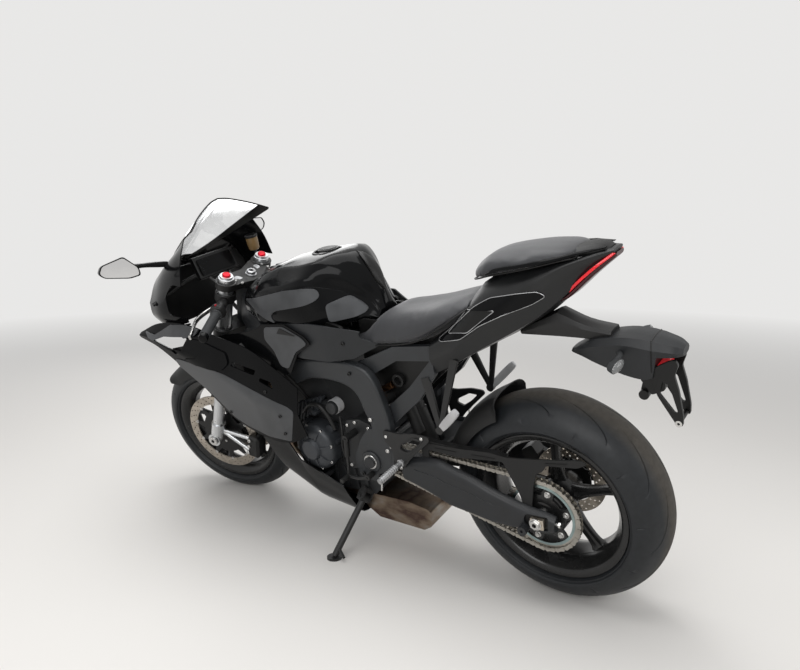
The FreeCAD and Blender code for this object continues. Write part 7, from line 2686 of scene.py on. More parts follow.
@dataclass
class Instruments:
    """Dash with a dark display, seen through the screen, and its stays."""

    def build(self) -> None:
        """Builds the dash and its stays."""
        case = Form().prism(soft([(1330, 1030), (1302, 950), (1318, 944), (1352, 1024)], 5.0), -88, 88)
        case.piece("dash_case", Palette.BLACK_DEEP, Body.CHASSIS, "matte_plastic", ("instrument_panel",), 3.0)
        tilt = math.atan2(28, 80)
        shift = Matrix.Translation(Vector((1312, 0, 989))) @ Matrix.Rotation(tilt, 4, "Y")
        pane = Form().add([Vector((x, y, z)) for x in (-2.0, 1.2) for y,
                           z in soft([(-76, -30), (76, -30), (76, 32),
                                                                                   (-76, 32)], 8.0)], [])
        count = len(pane.points) // 2
        pane.faces = [tuple(range(count - 1, -1, -1)), tuple(range(count, 2 * count))]
        pane.faces += [(i, (i + 1) % count, count + (i + 1) % count, count + i) for i in range(count)]
        pane.moved(shift).piece("dash_display", Palette.BLACK_GLOSS, Body.CHASSIS, "gloss_black",
                                ("instrument_panel",))
        stays = Form()
        for side in (1, -1):
            stays.tube(flow([Vector((1222, 24 * side, 822)), Vector((1330, 60 * side, 960)),
                             Vector((1430, 224 * side, 892))], 6), 7.0, 14)
        stays.piece("fairing_stays", Palette.BRACKET, Body.CHASSIS, "black_metal", ("instrument_panel",))


@dataclass
class Cockpit:
    """Clamps, bars, grips, switches, levers, cup, stem nut and fork caps.

    Args:
        spacing: distance between the fork legs.
        clip_height: height of the bar clamps along the steering axis.
        bar_end: outer end of the left bar.
    """

    spacing: float = 105.0
    clip_height: float = 672.0
    bar_end: tuple[float, float, float] = (1100.0, 345.0, 868.0)

    def clamp(self, low: float, high: float, reach: float) -> Form:
        """A fork clamp's plate between two heights, waisted between the legs.

        Args:
            low: height of its lower face.
            high: height of its upper face.
            reach: distance of its rear corner behind the steering axis.

        Returns:
            The plate.
        """
        outline = []
        for angle in range(-90, 91, 15):
            a = math.radians(angle)
            outline.append((FORK_OFFSET + 36 * math.sin(-a), self.spacing + 36 * math.cos(a)))
        outline += [(-reach, 62.0), (-34.0, 30.0), (-36.0, 0.0)]
        front = [(FORK_OFFSET + 30.0, 60.0), (FORK_OFFSET + 14.0, 0.0)]
        half = [(x, y) for x, y in outline]
        ring = [(x, y) for x, y in front[::-1]] + half
        ring = ring + [(x, -y) for x, y in ring[-2:0:-1]]
        line = soft_ring([Vector((x, y, 0.0)) for x, y in ring], 5.0, 2)
        return Form().skin([[steer_point(height, p.x, p.y) for p in line] for height in (low, high)])

    def bars(self) -> None:
        """Builds bars, grips, ends and switch blocks."""
        end = Vector(self.bar_end)
        root = steer_point(self.clip_height, FORK_OFFSET - 16, self.spacing + 27.5)
        way = (end - root).normalized()
        bar = Form().rod(root - way * 4, end - way * 6, 11.0, 11.0, 28)
        centre = fork_point(self.clip_height, self.spacing)
        clip = Form().spin([(-16, 27.8), (-16, 34), (-13, 35.8), (13, 35.8), (16, 34), (16, 27.8)], centre,
                           STEER_UP, 48, closed=True)
        bar.join(clip).both()
        bar.piece("clip_on_bars", Palette.BRACKET, Body.STEERING, "black_metal", ("handlebars",), 0.8)
        profile = []
        length = (end - root).length - 104.0
        count = 24
        for k in range(count):
            for part, radius in ((0.0, 15.6), (0.18, 16.9), (0.62, 16.9), (0.8, 15.6)):
                profile.append((length * (k + part) / count, radius))
        profile = [(0.0, 0.0), (-1.0, 15.0), (-1.0, 20.0), (4.0, 20.0), (5.0, 16.0)] + \
                  [(6 + a * 0.94, r) for a, r in profile] + [(length, 15.6), (length, 0.0)]
        start = end - way * (length + 13)
        Form().spin(profile, start, way, 40).both().piece("grips", Palette.SOFT, Body.STEERING, "rubber",
                                                          ("handlebars",), 0.0, 60.0)
        cap = Form().spin([(0, 0), (0, 15.5), (12, 16.5), (18, 14.5), (20, 11), (20, 0)], end - way * 13,
                          way, 36)
        cap.both().piece("bar_ends", Palette.BLACK_GLOSS, Body.STEERING, "black_metal", ("handlebars",), 0.6)
        across = way.cross(Vector((0, 0, 1))).normalized()
        up = across.cross(way).normalized()
        if up.z < 0:
            up = -up
        block = Form()
        rings = []
        for along, half, tall in ((50, 17, 17), (54, 21, 21), (80, 22, 22), (86, 17, 18)):
            middle = root + way * along
            ring = [middle + across * (half * sx) + up * (tall * sz)
                    for sx, sz in ((1, 1), (-1, 1), (-1, -1), (1, -1))]
            rings.append(soft_ring(ring, 9.0, 3))
        block.skin(rings).both()
        block.piece("switch_blocks", Palette.PLASTIC, Body.STEERING, "matte_plastic", ("hand_controls",))
        buttons = Form()
        for along, side in ((60, 6), (74, -7)):
            foot = root + way * along + up * 19 + across * side
            buttons.rod(foot, foot + up * 4.5, 5.0, 4.4, 16)
        buttons.piece("left_switches", Palette.SOFT, Body.STEERING, "matte_plastic", ("hand_controls",))
        foot = root + way * 68 + up * 20
        red = Form().rod(foot, foot + up * 5.5, 4.6, 4.0, 16)
        red.piece("horn_button", Palette.RED, Body.STEERING, "matte_plastic", ("hand_controls",))

    def levers(self) -> None:
        """Builds both lever blades with their perches."""
        end = Vector(self.bar_end)
        start = steer_point(self.clip_height, FORK_OFFSET - 16, self.spacing + 27.5)
        way, ahead = (end - start).normalized(), Vector((0.97, 0.2, -0.1))
        root = start + way * 33
        path = flow([root + ahead * 17, root + ahead * 50 + way * 22, root + ahead * 74 + way * 70,
                     end + ahead * 62 - way * 50, end + ahead * 58 - way * 18], 6)
        rings = []
        for k, point in enumerate(path):
            t = k / (len(path) - 1)
            tall, deep = 8.5 - 3.0 * t, 6.0 - 2.0 * t
            if t > 0.93:
                tall, deep = tall * 1.25, deep * 1.25
            ring = [point + Vector((deep * sx, 0, tall * sz)) for sx,
                    sz in ((1, 1), (-1, 1), (-1, -1), (1, -1))]
            rings.append(soft_ring(ring, 3.6, 2))
        perch = Form().spin([(20, 11.2), (20, 17), (23, 19), (43, 19), (46, 17), (46, 11.2)], start, way, 36,
                            closed=True)
        perch.rod(root + ahead * 14, root + ahead * 30, 10.0, 8.0, 20).both()
        perch.piece("lever_perches", Palette.BLACK_DEEP, Body.STEERING, "matte_plastic", ("hand_controls",),
                    0.8)
        blade = Form().skin(rings).both()
        blade.piece("lever_blades", Palette.STEEL, Body.STEERING, "control_alloy", ("hand_controls",), 0.0,
                    50.0)

    def clamps(self) -> None:
        """Builds the clamps, stem nut, fork caps and their knobs."""
        both = self.clamp(706.0, 728.0, 20.0).join(self.clamp(500.0, 540.0, 20.0))
        for side in (1, -1):
            lip = Form().spin([(0, 27.8), (0, 35), (4, 37), (6, 37), (6, 27.8)],
                              fork_point(726.0, self.spacing * side), STEER_UP, 48, closed=True)
            both.join(lip)
        both.piece("clamp_plates", Palette.BRACKET, Body.STEERING, "black_metal", ("triple_clamps",), 1.6)
        slots = Form()
        for side in (1, -1):
            line = [Vector((x, side * y, 0)) for x, y in ((2, 44), (26, 48), (26, 70), (4, 62))]
            line = soft_ring(line, 5.0, 2)
            slots.skin([[steer_point(height, p.x, p.y) for p in line] for height in (727.6, 728.9)])
        slots.piece("clamp_pockets", Palette.ALLOY, Body.STEERING, "bare_steel", ("triple_clamps",))
        nut = Form().spin([(728, 8.2), (728, 21), (731, 21), (731, 17), (741, 17), (743, 14), (743, 8.2)],
                          STEER_FOOT, STEER_UP, 8, closed=True)
        nut.piece("stem_nut", Palette.ALLOY, Body.STEERING, "bare_steel", ("triple_clamps",), 0.8)
        stem = Form().spin([(484, 8.2), (484, 13.9), (728, 13.9), (728, 8.2)], STEER_FOOT, STEER_UP, 36,
                           closed=True)
        stem.piece("steering_stem", Palette.BRACKET, Body.STEERING, "black_metal", ("triple_clamps",))
        for name, profile, finish in (
                ("fork_cap_rings", [(738, 0), (738, 25), (741, 27.4), (745, 27.4), (746, 25), (746, 0)],
                 Palette.ALLOY),
                ("fork_cap_collars", [(745, 0), (745, 19), (750, 19), (751, 17), (751, 0)], Palette.BRONZE),
                ("fork_adjusters", [(750, 0), (750, 14.5), (758, 14.5), (760, 12), (760, 0)], Palette.RED)):
            form = Form()
            for side in (1, -1):
                form.spin(profile, fork_point(0, self.spacing * side), STEER_UP, 36)
            form.piece(name, finish, Body.STEERING, "fork_metal", ("fork_legs",), 0.5)

    def cup(self) -> None:
        """Builds the brake fluid cup, its lid, level window and stay."""
        base = steer_point(self.clip_height + 60, FORK_OFFSET + 62, -(self.spacing + 48))
        up = Vector((0, 0, 1))
        jar = Form().spin([(0, 0), (0, 17), (4, 20.5), (30, 22), (49, 22), (49, 0)], base, up, 48)
        jar.piece("brake_cup", Palette.FLUID, Body.STEERING, "lamp_lens", ("hand_controls",), 0.0, 50.0)
        lid = Form().spin([(48, 0), (48, 23.4), (50, 24), (56, 24), (58, 21), (58, 0)], base, up, 48)
        for k in range(12):
            angle = TURN * k / 12
            out = Vector((math.cos(angle), math.sin(angle), 0))
            lid.rod(base + out * 22.8 + up * 49, base + out * 22.8 + up * 56, 1.8, 1.8, 8)
        foot = steer_point(self.clip_height + 8, FORK_OFFSET + 16, -(self.spacing + 28))
        lid.rod(foot, base + up * 6, 5.6, 5.6, 16)
        lid.piece("brake_cup_lid", Palette.BLACK_DEEP, Body.STEERING, "matte_plastic", ("hand_controls",),
                  0.6)

    def build(self) -> None:
        """Builds all of the cockpit."""
        self.cup()
        self.bars()
        self.levers()
        self.clamps()


@dataclass
class EngineDetail:
    """Round covers with ribs, starter, gear cover plate, hoses and the pipes of the cooling circuit.

    Args:
        generator: middle of the generator cover.
        clutch: middle of the clutch cover.
    """

    generator: Vector = Vector((815.0, 0.0, 400.0))
    clutch: Vector = Vector((720.0, 0.0, 385.0))

    def generator_cover(self) -> None:
        """Builds the left cover with its hub disc and radial ribs."""
        form = Form().spin([(110, 0), (110, 86), (150, 86), (160, 83), (168, 76), (172, 62), (174, 40),
                            (180, 38), (188, 34), (190, 28), (190, 0)], self.generator, steps=72)
        for k in range(8):
            angle = TURN * (k + 0.3) / 8
            out = Vector((math.sin(angle), 0, math.cos(angle)))
            side = out.cross(LEFT)
            ring = []
            for reach, y, half in ((34, 178, 4.6), (60, 177, 4.0), (78, 168, 3.4), (86.5, 150, 3.0)):
                point = self.generator + out * reach
                ring.append([point + side * half + LEFT * (y - 10), point + side * half * 0.6 + LEFT * y,
                             point - side * half * 0.6 + LEFT * y, point - side * half + LEFT * (y - 10)])
            form.skin(ring)
        form.piece("generator_cover", Palette.COVER, Body.CHASSIS, "engine_paint", ("engine_covers",), 0.0,
                   36.0)

    def clutch_cover(self) -> None:
        """Builds the right cover."""
        form = Form().spin([(-110, 0), (-110, 92), (-150, 92), (-162, 88), (-172, 78), (-178, 60), (-180, 44),
                            (-186, 40), (-186, 0)], self.clutch, steps=72)
        form.piece("clutch_cover", Palette.COVER, Body.CHASSIS, "engine_paint", ("engine_covers",), 0.0, 36.0)

    def side_parts(self) -> None:
        """Builds the starter with its band, the ribs and bosses, the side pipes, the gear cover plate and the
        crankcase ribs.
        """
        starter = Form().spin([(112, 0), (112, 24), (150, 24), (158, 20), (160, 14), (160, 0)],
                              Vector((706, 0, 560)), steps=ROUND_STEPS)
        starter.rod(Vector((740, 122, 560)), Vector((790, 122, 548)), 13.0, 12.0, 24)
        band = Form().spin([(118, 23), (118, 25.4), (146, 25.4), (146, 23)], Vector((706, 0, 560)),
                           steps=ROUND_STEPS, closed=True)
        band.piece("starter_band", Palette.SILVER, Body.CHASSIS, "bare_steel", ("engine_block",), 0.6)
        head = Form()
        for k in range(7):
            x = 905 - 19 * k
            head.prism(soft([(x, 452 + 13 * k), (x + 8, 456 + 13 * k), (x - 26, 548 + 6 * k),
                             (x - 34, 544 + 6 * k)], 2.5, 2),
                       118, 136 - 2 * (k % 2))
        for x, z, out, radius in ((860, 470, 140, 15), (808, 520, 142, 12), (752, 468, 138, 17),
                                  (735, 420, 140, 11)):
            head.rod(Vector((x, 112, z)), Vector((x, out, z)), radius, radius - 2.0, 28)
        head.piece("engine_ribs_and_bosses", Palette.COVER, Body.CHASSIS, "engine_paint", ("engine_block",),
                   0.8)
        pipe = Form().tube(flow([Vector(p) for p in ((868, 128, 508), (820, 140, 548), (770, 146, 556),
                                                     (740, 142, 520), (728, 134, 470))], 7), 7.5, 14)
        pipe.tube(flow([Vector(p) for p in ((700, 130, 520), (690, 142, 470), (700, 144, 420),
                                            (706, 136, 372))], 7), 4.0, 12)
        pipe.piece("engine_side_pipes", Palette.HOSE, Body.CHASSIS, "matte_plastic", ("engine_block",),
                   smooth_deg=60.0)
        starter.piece("starter_housing", Palette.ENGINE, Body.CHASSIS, "engine_paint", ("engine_block",), 0.8)
        plate = draped(soft([(686, 505), (625, 521), (573, 507), (581, 457), (599, 414), (608, 347),
                             (695, 322), (705, 381)], 12.0), level(126.0), 0.0, 16.0)
        plate.piece("gear_cover_plate", Palette.ENGINE, Body.CHASSIS, "engine_paint", ("engine_block",), 2.0)
        ribs = Form()
        for k in range(6):
            x = 640 + 44 * k
            ribs.prism(soft([(x, 236 + 4 * k), (x + 10, 236 + 4 * k), (x + 16, 318), (x + 4, 318)], 3.0, 2),
                       110, 120)
        ribs.piece("crankcase_ribs", Palette.ENGINE, Body.CHASSIS, "engine_paint", ("engine_block",))

    def hoses(self) -> None:
        """Builds the coolant hoses on the left side, their clamps and the inner panels."""
        bundle = Form()
        for line, radius in (
                (((1028, 196, 768), (1000, 198, 736), (977, 192, 700), (985, 150, 660), (1010, 112, 620)),
                 11.0),
                (((927, 186, 732), (944, 196, 708), (969, 194, 684), (990, 150, 640), (1000, 110, 600)), 9.0),
                (((846, 170, 730), (852, 184, 702), (858, 180, 675), (850, 150, 620), (846, 118, 560)), 7.0),
                (((880, 168, 752), (900, 186, 720), (930, 188, 690), (950, 160, 650), (960, 115, 600)), 5.0)):
            bundle.tube(flow([Vector(point) for point in line], 7), radius, 14)
        bundle.piece("coolant_hoses", Palette.HOSE, Body.CHASSIS, "matte_plastic", ("engine_block",),
                     smooth_deg=60.0)
        clamps = Form()
        for place, way, radius in (((1000, 198, 736), (0.5, 0.0, 0.86), 12.0),
                                   ((944, 196, 708), (-0.5, 0, 0.86), 10.0)):
            clamps.spin([(-4, radius - 1.6), (-4, radius), (4, radius), (4, radius - 1.6)], Vector(place),
                        Vector(way), 28, closed=True)
        clamps.piece("hose_clamps", Palette.STEEL, Body.CHASSIS, "bare_steel", ("engine_block",))
        inner = draped(soft([(1030, 812), (960, 820), (880, 806), (846, 760), (850, 700), (900, 690),
                             (980, 720), (1040, 760)], 14.0), level(164.0), 0.0, 5.0)
        inner.both().piece("inner_panels", Palette.PANEL, Body.CHASSIS, "matte_plastic", ("frame_spars",),
                           1.4)

    def build(self) -> None:
        """Builds all of the engine's details."""
        self.generator_cover()
        self.clutch_cover()
        self.side_parts()
        self.hoses()


@dataclass
class FootGear:
    """Heel plates with their hexagonal window, pegs with rings and a feeler.

    Args:
        heel: the heel plate's outline in side view.
        hexagon: outline of the plate's window.
    """

    heel: Sequence[tuple[float, float]] = (
        (492, 526), (430, 524), (368, 536), (324, 534), (318, 522), (352, 490), (404, 440), (436, 398),
        (462, 412), (470, 470), (492, 488))
    hexagon: Sequence[tuple[float, float]] = ((428, 488), (378, 516), (349, 514), (376, 488), (408, 466),
                                              (432, 474))

    def build(self) -> None:
        """Builds the heel plates and pegs."""
        plate = Form().prism(soft(self.heel, 9.0), 160.3, 166.3)
        plate = carved(plate, Form().prism(soft(self.hexagon, 5.0), 150, 180))
        rim = [Vector((x, 166.0, z)) for x, z in soft(self.hexagon, 5.0)]
        rim_out = [Vector((403 + (p.x - 403) * 1.16, 166.0, 492 + (p.z - 492) * 1.3)) for p in rim]
        lip = Form().skin([rim_out, [p + LEFT * 3.0 for p in rim_out], [p + LEFT * 3.0 for p in rim], rim],
                          looped=True)
        plate.join(lip).both()
        plate.piece("heel_plates", Palette.BRACKET, Body.CHASSIS, "black_metal", ("foot_controls",), 0.8)
        start, end = Vector((440, 164, 424)), Vector((452, 262, 410))
        way = end - start
        length = way.length
        profile = [(0, 0), (0, 13), (6, 13), (8, 9.5), (22, 9.0)]
        for k in range(9):
            base = 24 + k * (length - 30) / 9
            profile += [(base, 9.2), (base + 1.5, 10.8), (base + 5.5, 10.8), (base + 7, 9.2)]
        profile += [(length, 9.5), (length, 0)]
        peg = Form().spin(profile, start, way, 28).both()
        peg.piece("rider_pegs", Palette.ALLOY, Body.CHASSIS, "control_alloy", ("foot_controls",), 0.0, 40.0)
        feeler = Form().rod(Vector((450, 252, 412)), Vector((455, 256, 376)), 3.2, 2.6, 16).both()
        feeler.piece("peg_feelers", Palette.STEEL, Body.CHASSIS, "bare_steel", ("foot_controls",))
        pivot, toe = Vector((572, 184, 352)), Vector((664, 176, 332))
        arm = Form().tube(flow([pivot, Vector((612, 186, 340)), toe], 6),
                          [8.0, 7.6, 7.2, 6.8, 6.4, 6.2, 6.0, 6.0, 6.0,
                                                                         6.0, 6.0, 6.4, 7.0], 14)
        arm.rod(Vector((572, 160, 352)), Vector((572, 190, 352)), 10.0, 10.0, 28)
        arm.rod(toe + LEFT * 2, toe + LEFT * 38, 8.4, 8.4, 24)
        arm.rod(toe, Vector((650, 170, 470)), 4.6, 4.6, 16)
        arm.piece("gear_lever_arm", Palette.BRACKET, Body.CHASSIS, "control_alloy", ("foot_controls",), 0.6)
        sleeve = Form().rod(Vector((658, 171, 404)), Vector((650, 170, 470)), 9.0, 9.0, 24)
        sleeve.rod(Vector((646, 118, 474)), Vector((650, 176, 470)), 12.0, 12.0, 24)
        sleeve.piece("shift_sleeve", Palette.HOSE, Body.CHASSIS, "matte_plastic", ("foot_controls",), 0.6)


def cap_screw(head: float = 5.0, tall: float = 4.6, socket: float = 2.6) -> Form:
    """A socket head screw that points along +Z, its head on the plane."""
    return Form().spin([(-3.0, 0.0), (-3.0, head * 0.6), (0.0, head * 0.6), (0.0, head), (tall - 0.8, head),
                        (tall, head - 0.8), (tall, socket), (tall - 2.2, socket * 0.98), (tall - 2.2, 0.0)],
                       Vector(), Vector((0, 0, 1)), 12)


@dataclass
class Fasteners:
    """Screws of the chassis and the steering, set out by Geometry Nodes."""

    def engine(self) -> list[Spot]:
        """Bright screws of the engine covers, frame pivots and heel plates.

        Returns:
            The place of each screw.
        """
        spots = []
        for angle in range(12, 372, 45):
            a = math.radians(angle)
            spots.append(Spot(Vector((815 + 81 * math.sin(a), 160, 400 + 81 * math.cos(a))), LEFT, 1.1))
            spots.append(Spot(Vector((720 + 87 * math.sin(a), -160, 385 + 87 * math.cos(a))), -LEFT, 1.1))
        for x, z in ((676, 492), (585, 496), (604, 372), (690, 340), (640, 508)):
            spots.append(Spot(Vector((x, 126, z)), LEFT, 1.2))
        for side in (1, -1):
            for x, y, z, size in ((538, 158, 552, 1.4), (490, 158, 452, 1.4), (470, 158, 470, 1.4),
                                  (480, 166, 508, 1.1), (345, 166, 526, 1.1), (440, 166, 408, 1.1)):
                spots.append(Spot(Vector((x, y * side, z)), LEFT * side, size))
        return spots

    def panels(self) -> list[Spot]:
        """Dark screws of the frame, side covers and fairing."""
        places = [(x, 159.5, z) for x, z in ((900, 716), (610, 344), (540, 350), (590, 700))]
        places += [(x, SideCovers().flank(x, z), z) for x, z in ((590, 800), (806, 806))]
        fairing = Fairing()
        places += [(x, fairing.flank(x, z) + extra, z) for x, z, extra in (
            (857, 549, 1.4), (903, 630, -0.6), (1117, 520, 1.4), (869, 475, 1.4), (1210, 700, -0.6))]
        return [Spot(Vector((x, y * side, z)), LEFT * side, 1.2) for side in (1, -1) for x, y, z in places]

    def steering(self) -> list[Spot]:
        """Screws of the calipers and clamps.

        Returns:
            The place of each screw.
        """
        spots = []
        for side in (1, -1):
            for along, back in ((52, -142), (-10, -142), (22, -142)):
                place = steer_point(along, FORK_OFFSET + back, 97 * side)
                spots.append(Spot(place, LEFT * side, 1.5))
            for ahead in (-18, 8):
                spots.append(Spot(steer_point(728.6, ahead, 78 * side), STEER_UP, 1.0))
        return spots

    def build(self) -> None:
        """Builds one mesh of screws for each body."""
        for finish, jobs in ((Palette.STEEL, ((Body.CHASSIS, self.engine()),
                                              (Body.STEERING, self.steering()))),
                             (Palette.DARK_STEEL, ((Body.CHASSIS, self.panels()),))):
            scatter = Scatter("fasteners_" + finish.name, cap_screw(), finish)
            for body, spots in jobs:
                scatter.grow(spots).piece(finish.name + "_screws_" + body.value, finish, body, "bare_steel")
            scatter.done()



@dataclass
class Studio:
    """Camera, lamps, floor and the light background.

    Args:
        eye: the camera's place in metres.
        yaw_deg: its heading from +X.
        pitch_deg: how far it looks down.
        lens: focal length for a 36 mm sensor.
        shift: the frame's shift.
        floor_size: half width of the floor in metres.
    """

    eye: tuple[float, float, float] = (-1.47524, 1.63106, 1.067)
    yaw_deg: float = -54.32
    pitch_deg: float = 8.42
    lens: float = 30.52
    shift: tuple[float, float] = (-0.02538, -0.0021)
    floor_size: float = 30.0

    def camera(self) -> None:
        """Puts the camera where the photograph was taken from."""
        data = bpy.data.cameras.new("studio_camera")
        data.lens = self.lens
        data.sensor_width = 36.0
        data.shift_x, data.shift_y = self.shift
        data.clip_start, data.clip_end = 0.05, 200.0
        camera = bpy.data.objects.new("studio_camera", data)
        yaw, pitch = math.radians(self.yaw_deg), math.radians(self.pitch_deg)
        way = Vector((math.cos(yaw) * math.cos(pitch), math.sin(yaw) * math.cos(pitch), -math.sin(pitch)))
        camera.location = self.eye
        camera.rotation_euler = way.to_track_quat("-Z", "Y").to_euler()
        bpy.context.scene.collection.objects.link(camera)
        bpy.context.scene.camera = camera

    def lamp(self, name: str, place: tuple[float, float, float], aim: tuple[float, float, float],
             size: tuple[float, float], power: float) -> None:
        """A soft rectangular lamp.

        Args:
            name: the lamp.
            place: where it hangs, in metres.
            aim: what it points at.
            size: its width and height.
            power: its output in watts.
        """
        data = bpy.data.lights.new(name, "AREA")
        data.shape = "RECTANGLE"
        data.size, data.size_y = size
        data.energy = power
        lamp = bpy.data.objects.new(name, data)
        lamp.location = place
        lamp.rotation_euler = (Vector(aim) - Vector(place)).to_track_quat("-Z", "Y").to_euler()
        bpy.context.scene.collection.objects.link(lamp)

    def lights(self) -> None:
        """Overhead panels and a broad fill from the camera's side."""
        self.lamp("ceiling_panel", (0.2, 0.3, 3.4), (0.0, 0.0, 0.4), (3.6, 2.4), 85.0)
        self.lamp("side_panel", (-1.4, 3.4, 2.2), (0.0, 0.0, 0.5), (3.0, 1.6), 55.0)
        self.lamp("rear_panel", (-3.6, -0.6, 1.9), (-0.4, 0.0, 0.6), (1.6, 2.0), 26.0)
        self.lamp("front_panel", (3.2, -2.2, 2.2), (0.3, 0.0, 0.6), (2.0, 2.0), 24.0)

    def world(self) -> None:
        """A white background that gloss and glass also see."""
        world = bpy.data.worlds.new("pale_room")
        bpy.context.scene.world = world
        world.use_nodes = True
        nodes, links = world.node_tree.nodes, world.node_tree.links
        paths = nodes.new("ShaderNodeLightPath")
        seen = nodes.new("ShaderNodeMath")
        seen.operation = "MAXIMUM"
        links.new(paths.outputs["Is Camera Ray"], seen.inputs[0])
        links.new(paths.outputs["Is Glossy Ray"], seen.inputs[1])
        through = nodes.new("ShaderNodeMath")
        through.operation = "MAXIMUM"
        links.new(seen.outputs[0], through.inputs[0])
        links.new(paths.outputs["Is Transmission Ray"], through.inputs[1])
        lit = nodes["Background"]
        lit.inputs["Color"].default_value = (0.92, 0.93, 0.95, 1.0)
        lit.inputs["Strength"].default_value = 0.42
        shown = nodes.new("ShaderNodeBackground")
        shown.inputs["Color"].default_value = (0.9, 0.895, 0.885, 1.0)
        shown.inputs["Strength"].default_value = 0.9
        mix = nodes.new("ShaderNodeMixShader")
        links.new(through.outputs[0], mix.inputs["Fac"])
        links.new(lit.outputs["Background"], mix.inputs[1])
        links.new(shown.outputs["Background"], mix.inputs[2])
        links.new(mix.outputs["Shader"], nodes["World Output"].inputs["Surface"])

    def floor(self) -> None:
        """A plain pale floor that fades into the background far off."""
        mesh = bpy.data.meshes.new("studio_floor")
        half = self.floor_size
        corners = [(-half, -half, 0.0), (half, -half, 0.0), (half, half, 0.0), (-half, half, 0.0)]
        mesh.from_pydata(corners, [], [(0, 1, 2, 3)])
        material = bpy.data.materials.new("pale_floor")
        material.use_nodes = True
        nodes, links = material.node_tree.nodes, material.node_tree.links
        surface = nodes["Principled BSDF"]
        surface.inputs["Base Color"].default_value = (0.74, 0.72, 0.69, 1.0)
        surface.inputs["Roughness"].default_value = 0.7
        place = nodes.new("ShaderNodeTexCoord")
        reach = nodes.new("ShaderNodeVectorMath")
        reach.operation = "LENGTH"
        links.new(place.outputs["Object"], reach.inputs[0])
        far = nodes.new("ShaderNodeMapRange")
        far.inputs["From Min"].default_value = 2.4
        far.inputs["From Max"].default_value = 8.0
        links.new(reach.outputs["Value"], far.inputs["Value"])
        glow = nodes.new("ShaderNodeEmission")
        glow.inputs["Color"].default_value = (0.9, 0.895, 0.885, 1.0)
        glow.inputs["Strength"].default_value = 0.9
        mix = nodes.new("ShaderNodeMixShader")
        links.new(far.outputs["Result"], mix.inputs["Fac"])
        links.new(surface.outputs["BSDF"], mix.inputs[1])
        links.new(glow.outputs["Emission"], mix.inputs[2])
        links.new(mix.outputs["Shader"], nodes["Material Output"].inputs["Surface"])
        mesh.materials.append(material)
        floor = bpy.data.objects.new("studio_floor", mesh)
        bpy.context.scene.collection.objects.link(floor)

    def build(self) -> None:
        """Sets the whole studio up."""
        self.camera()
        self.lights()
        self.world()
        self.floor()
        bpy.context.scene.view_settings.view_transform = "Standard"


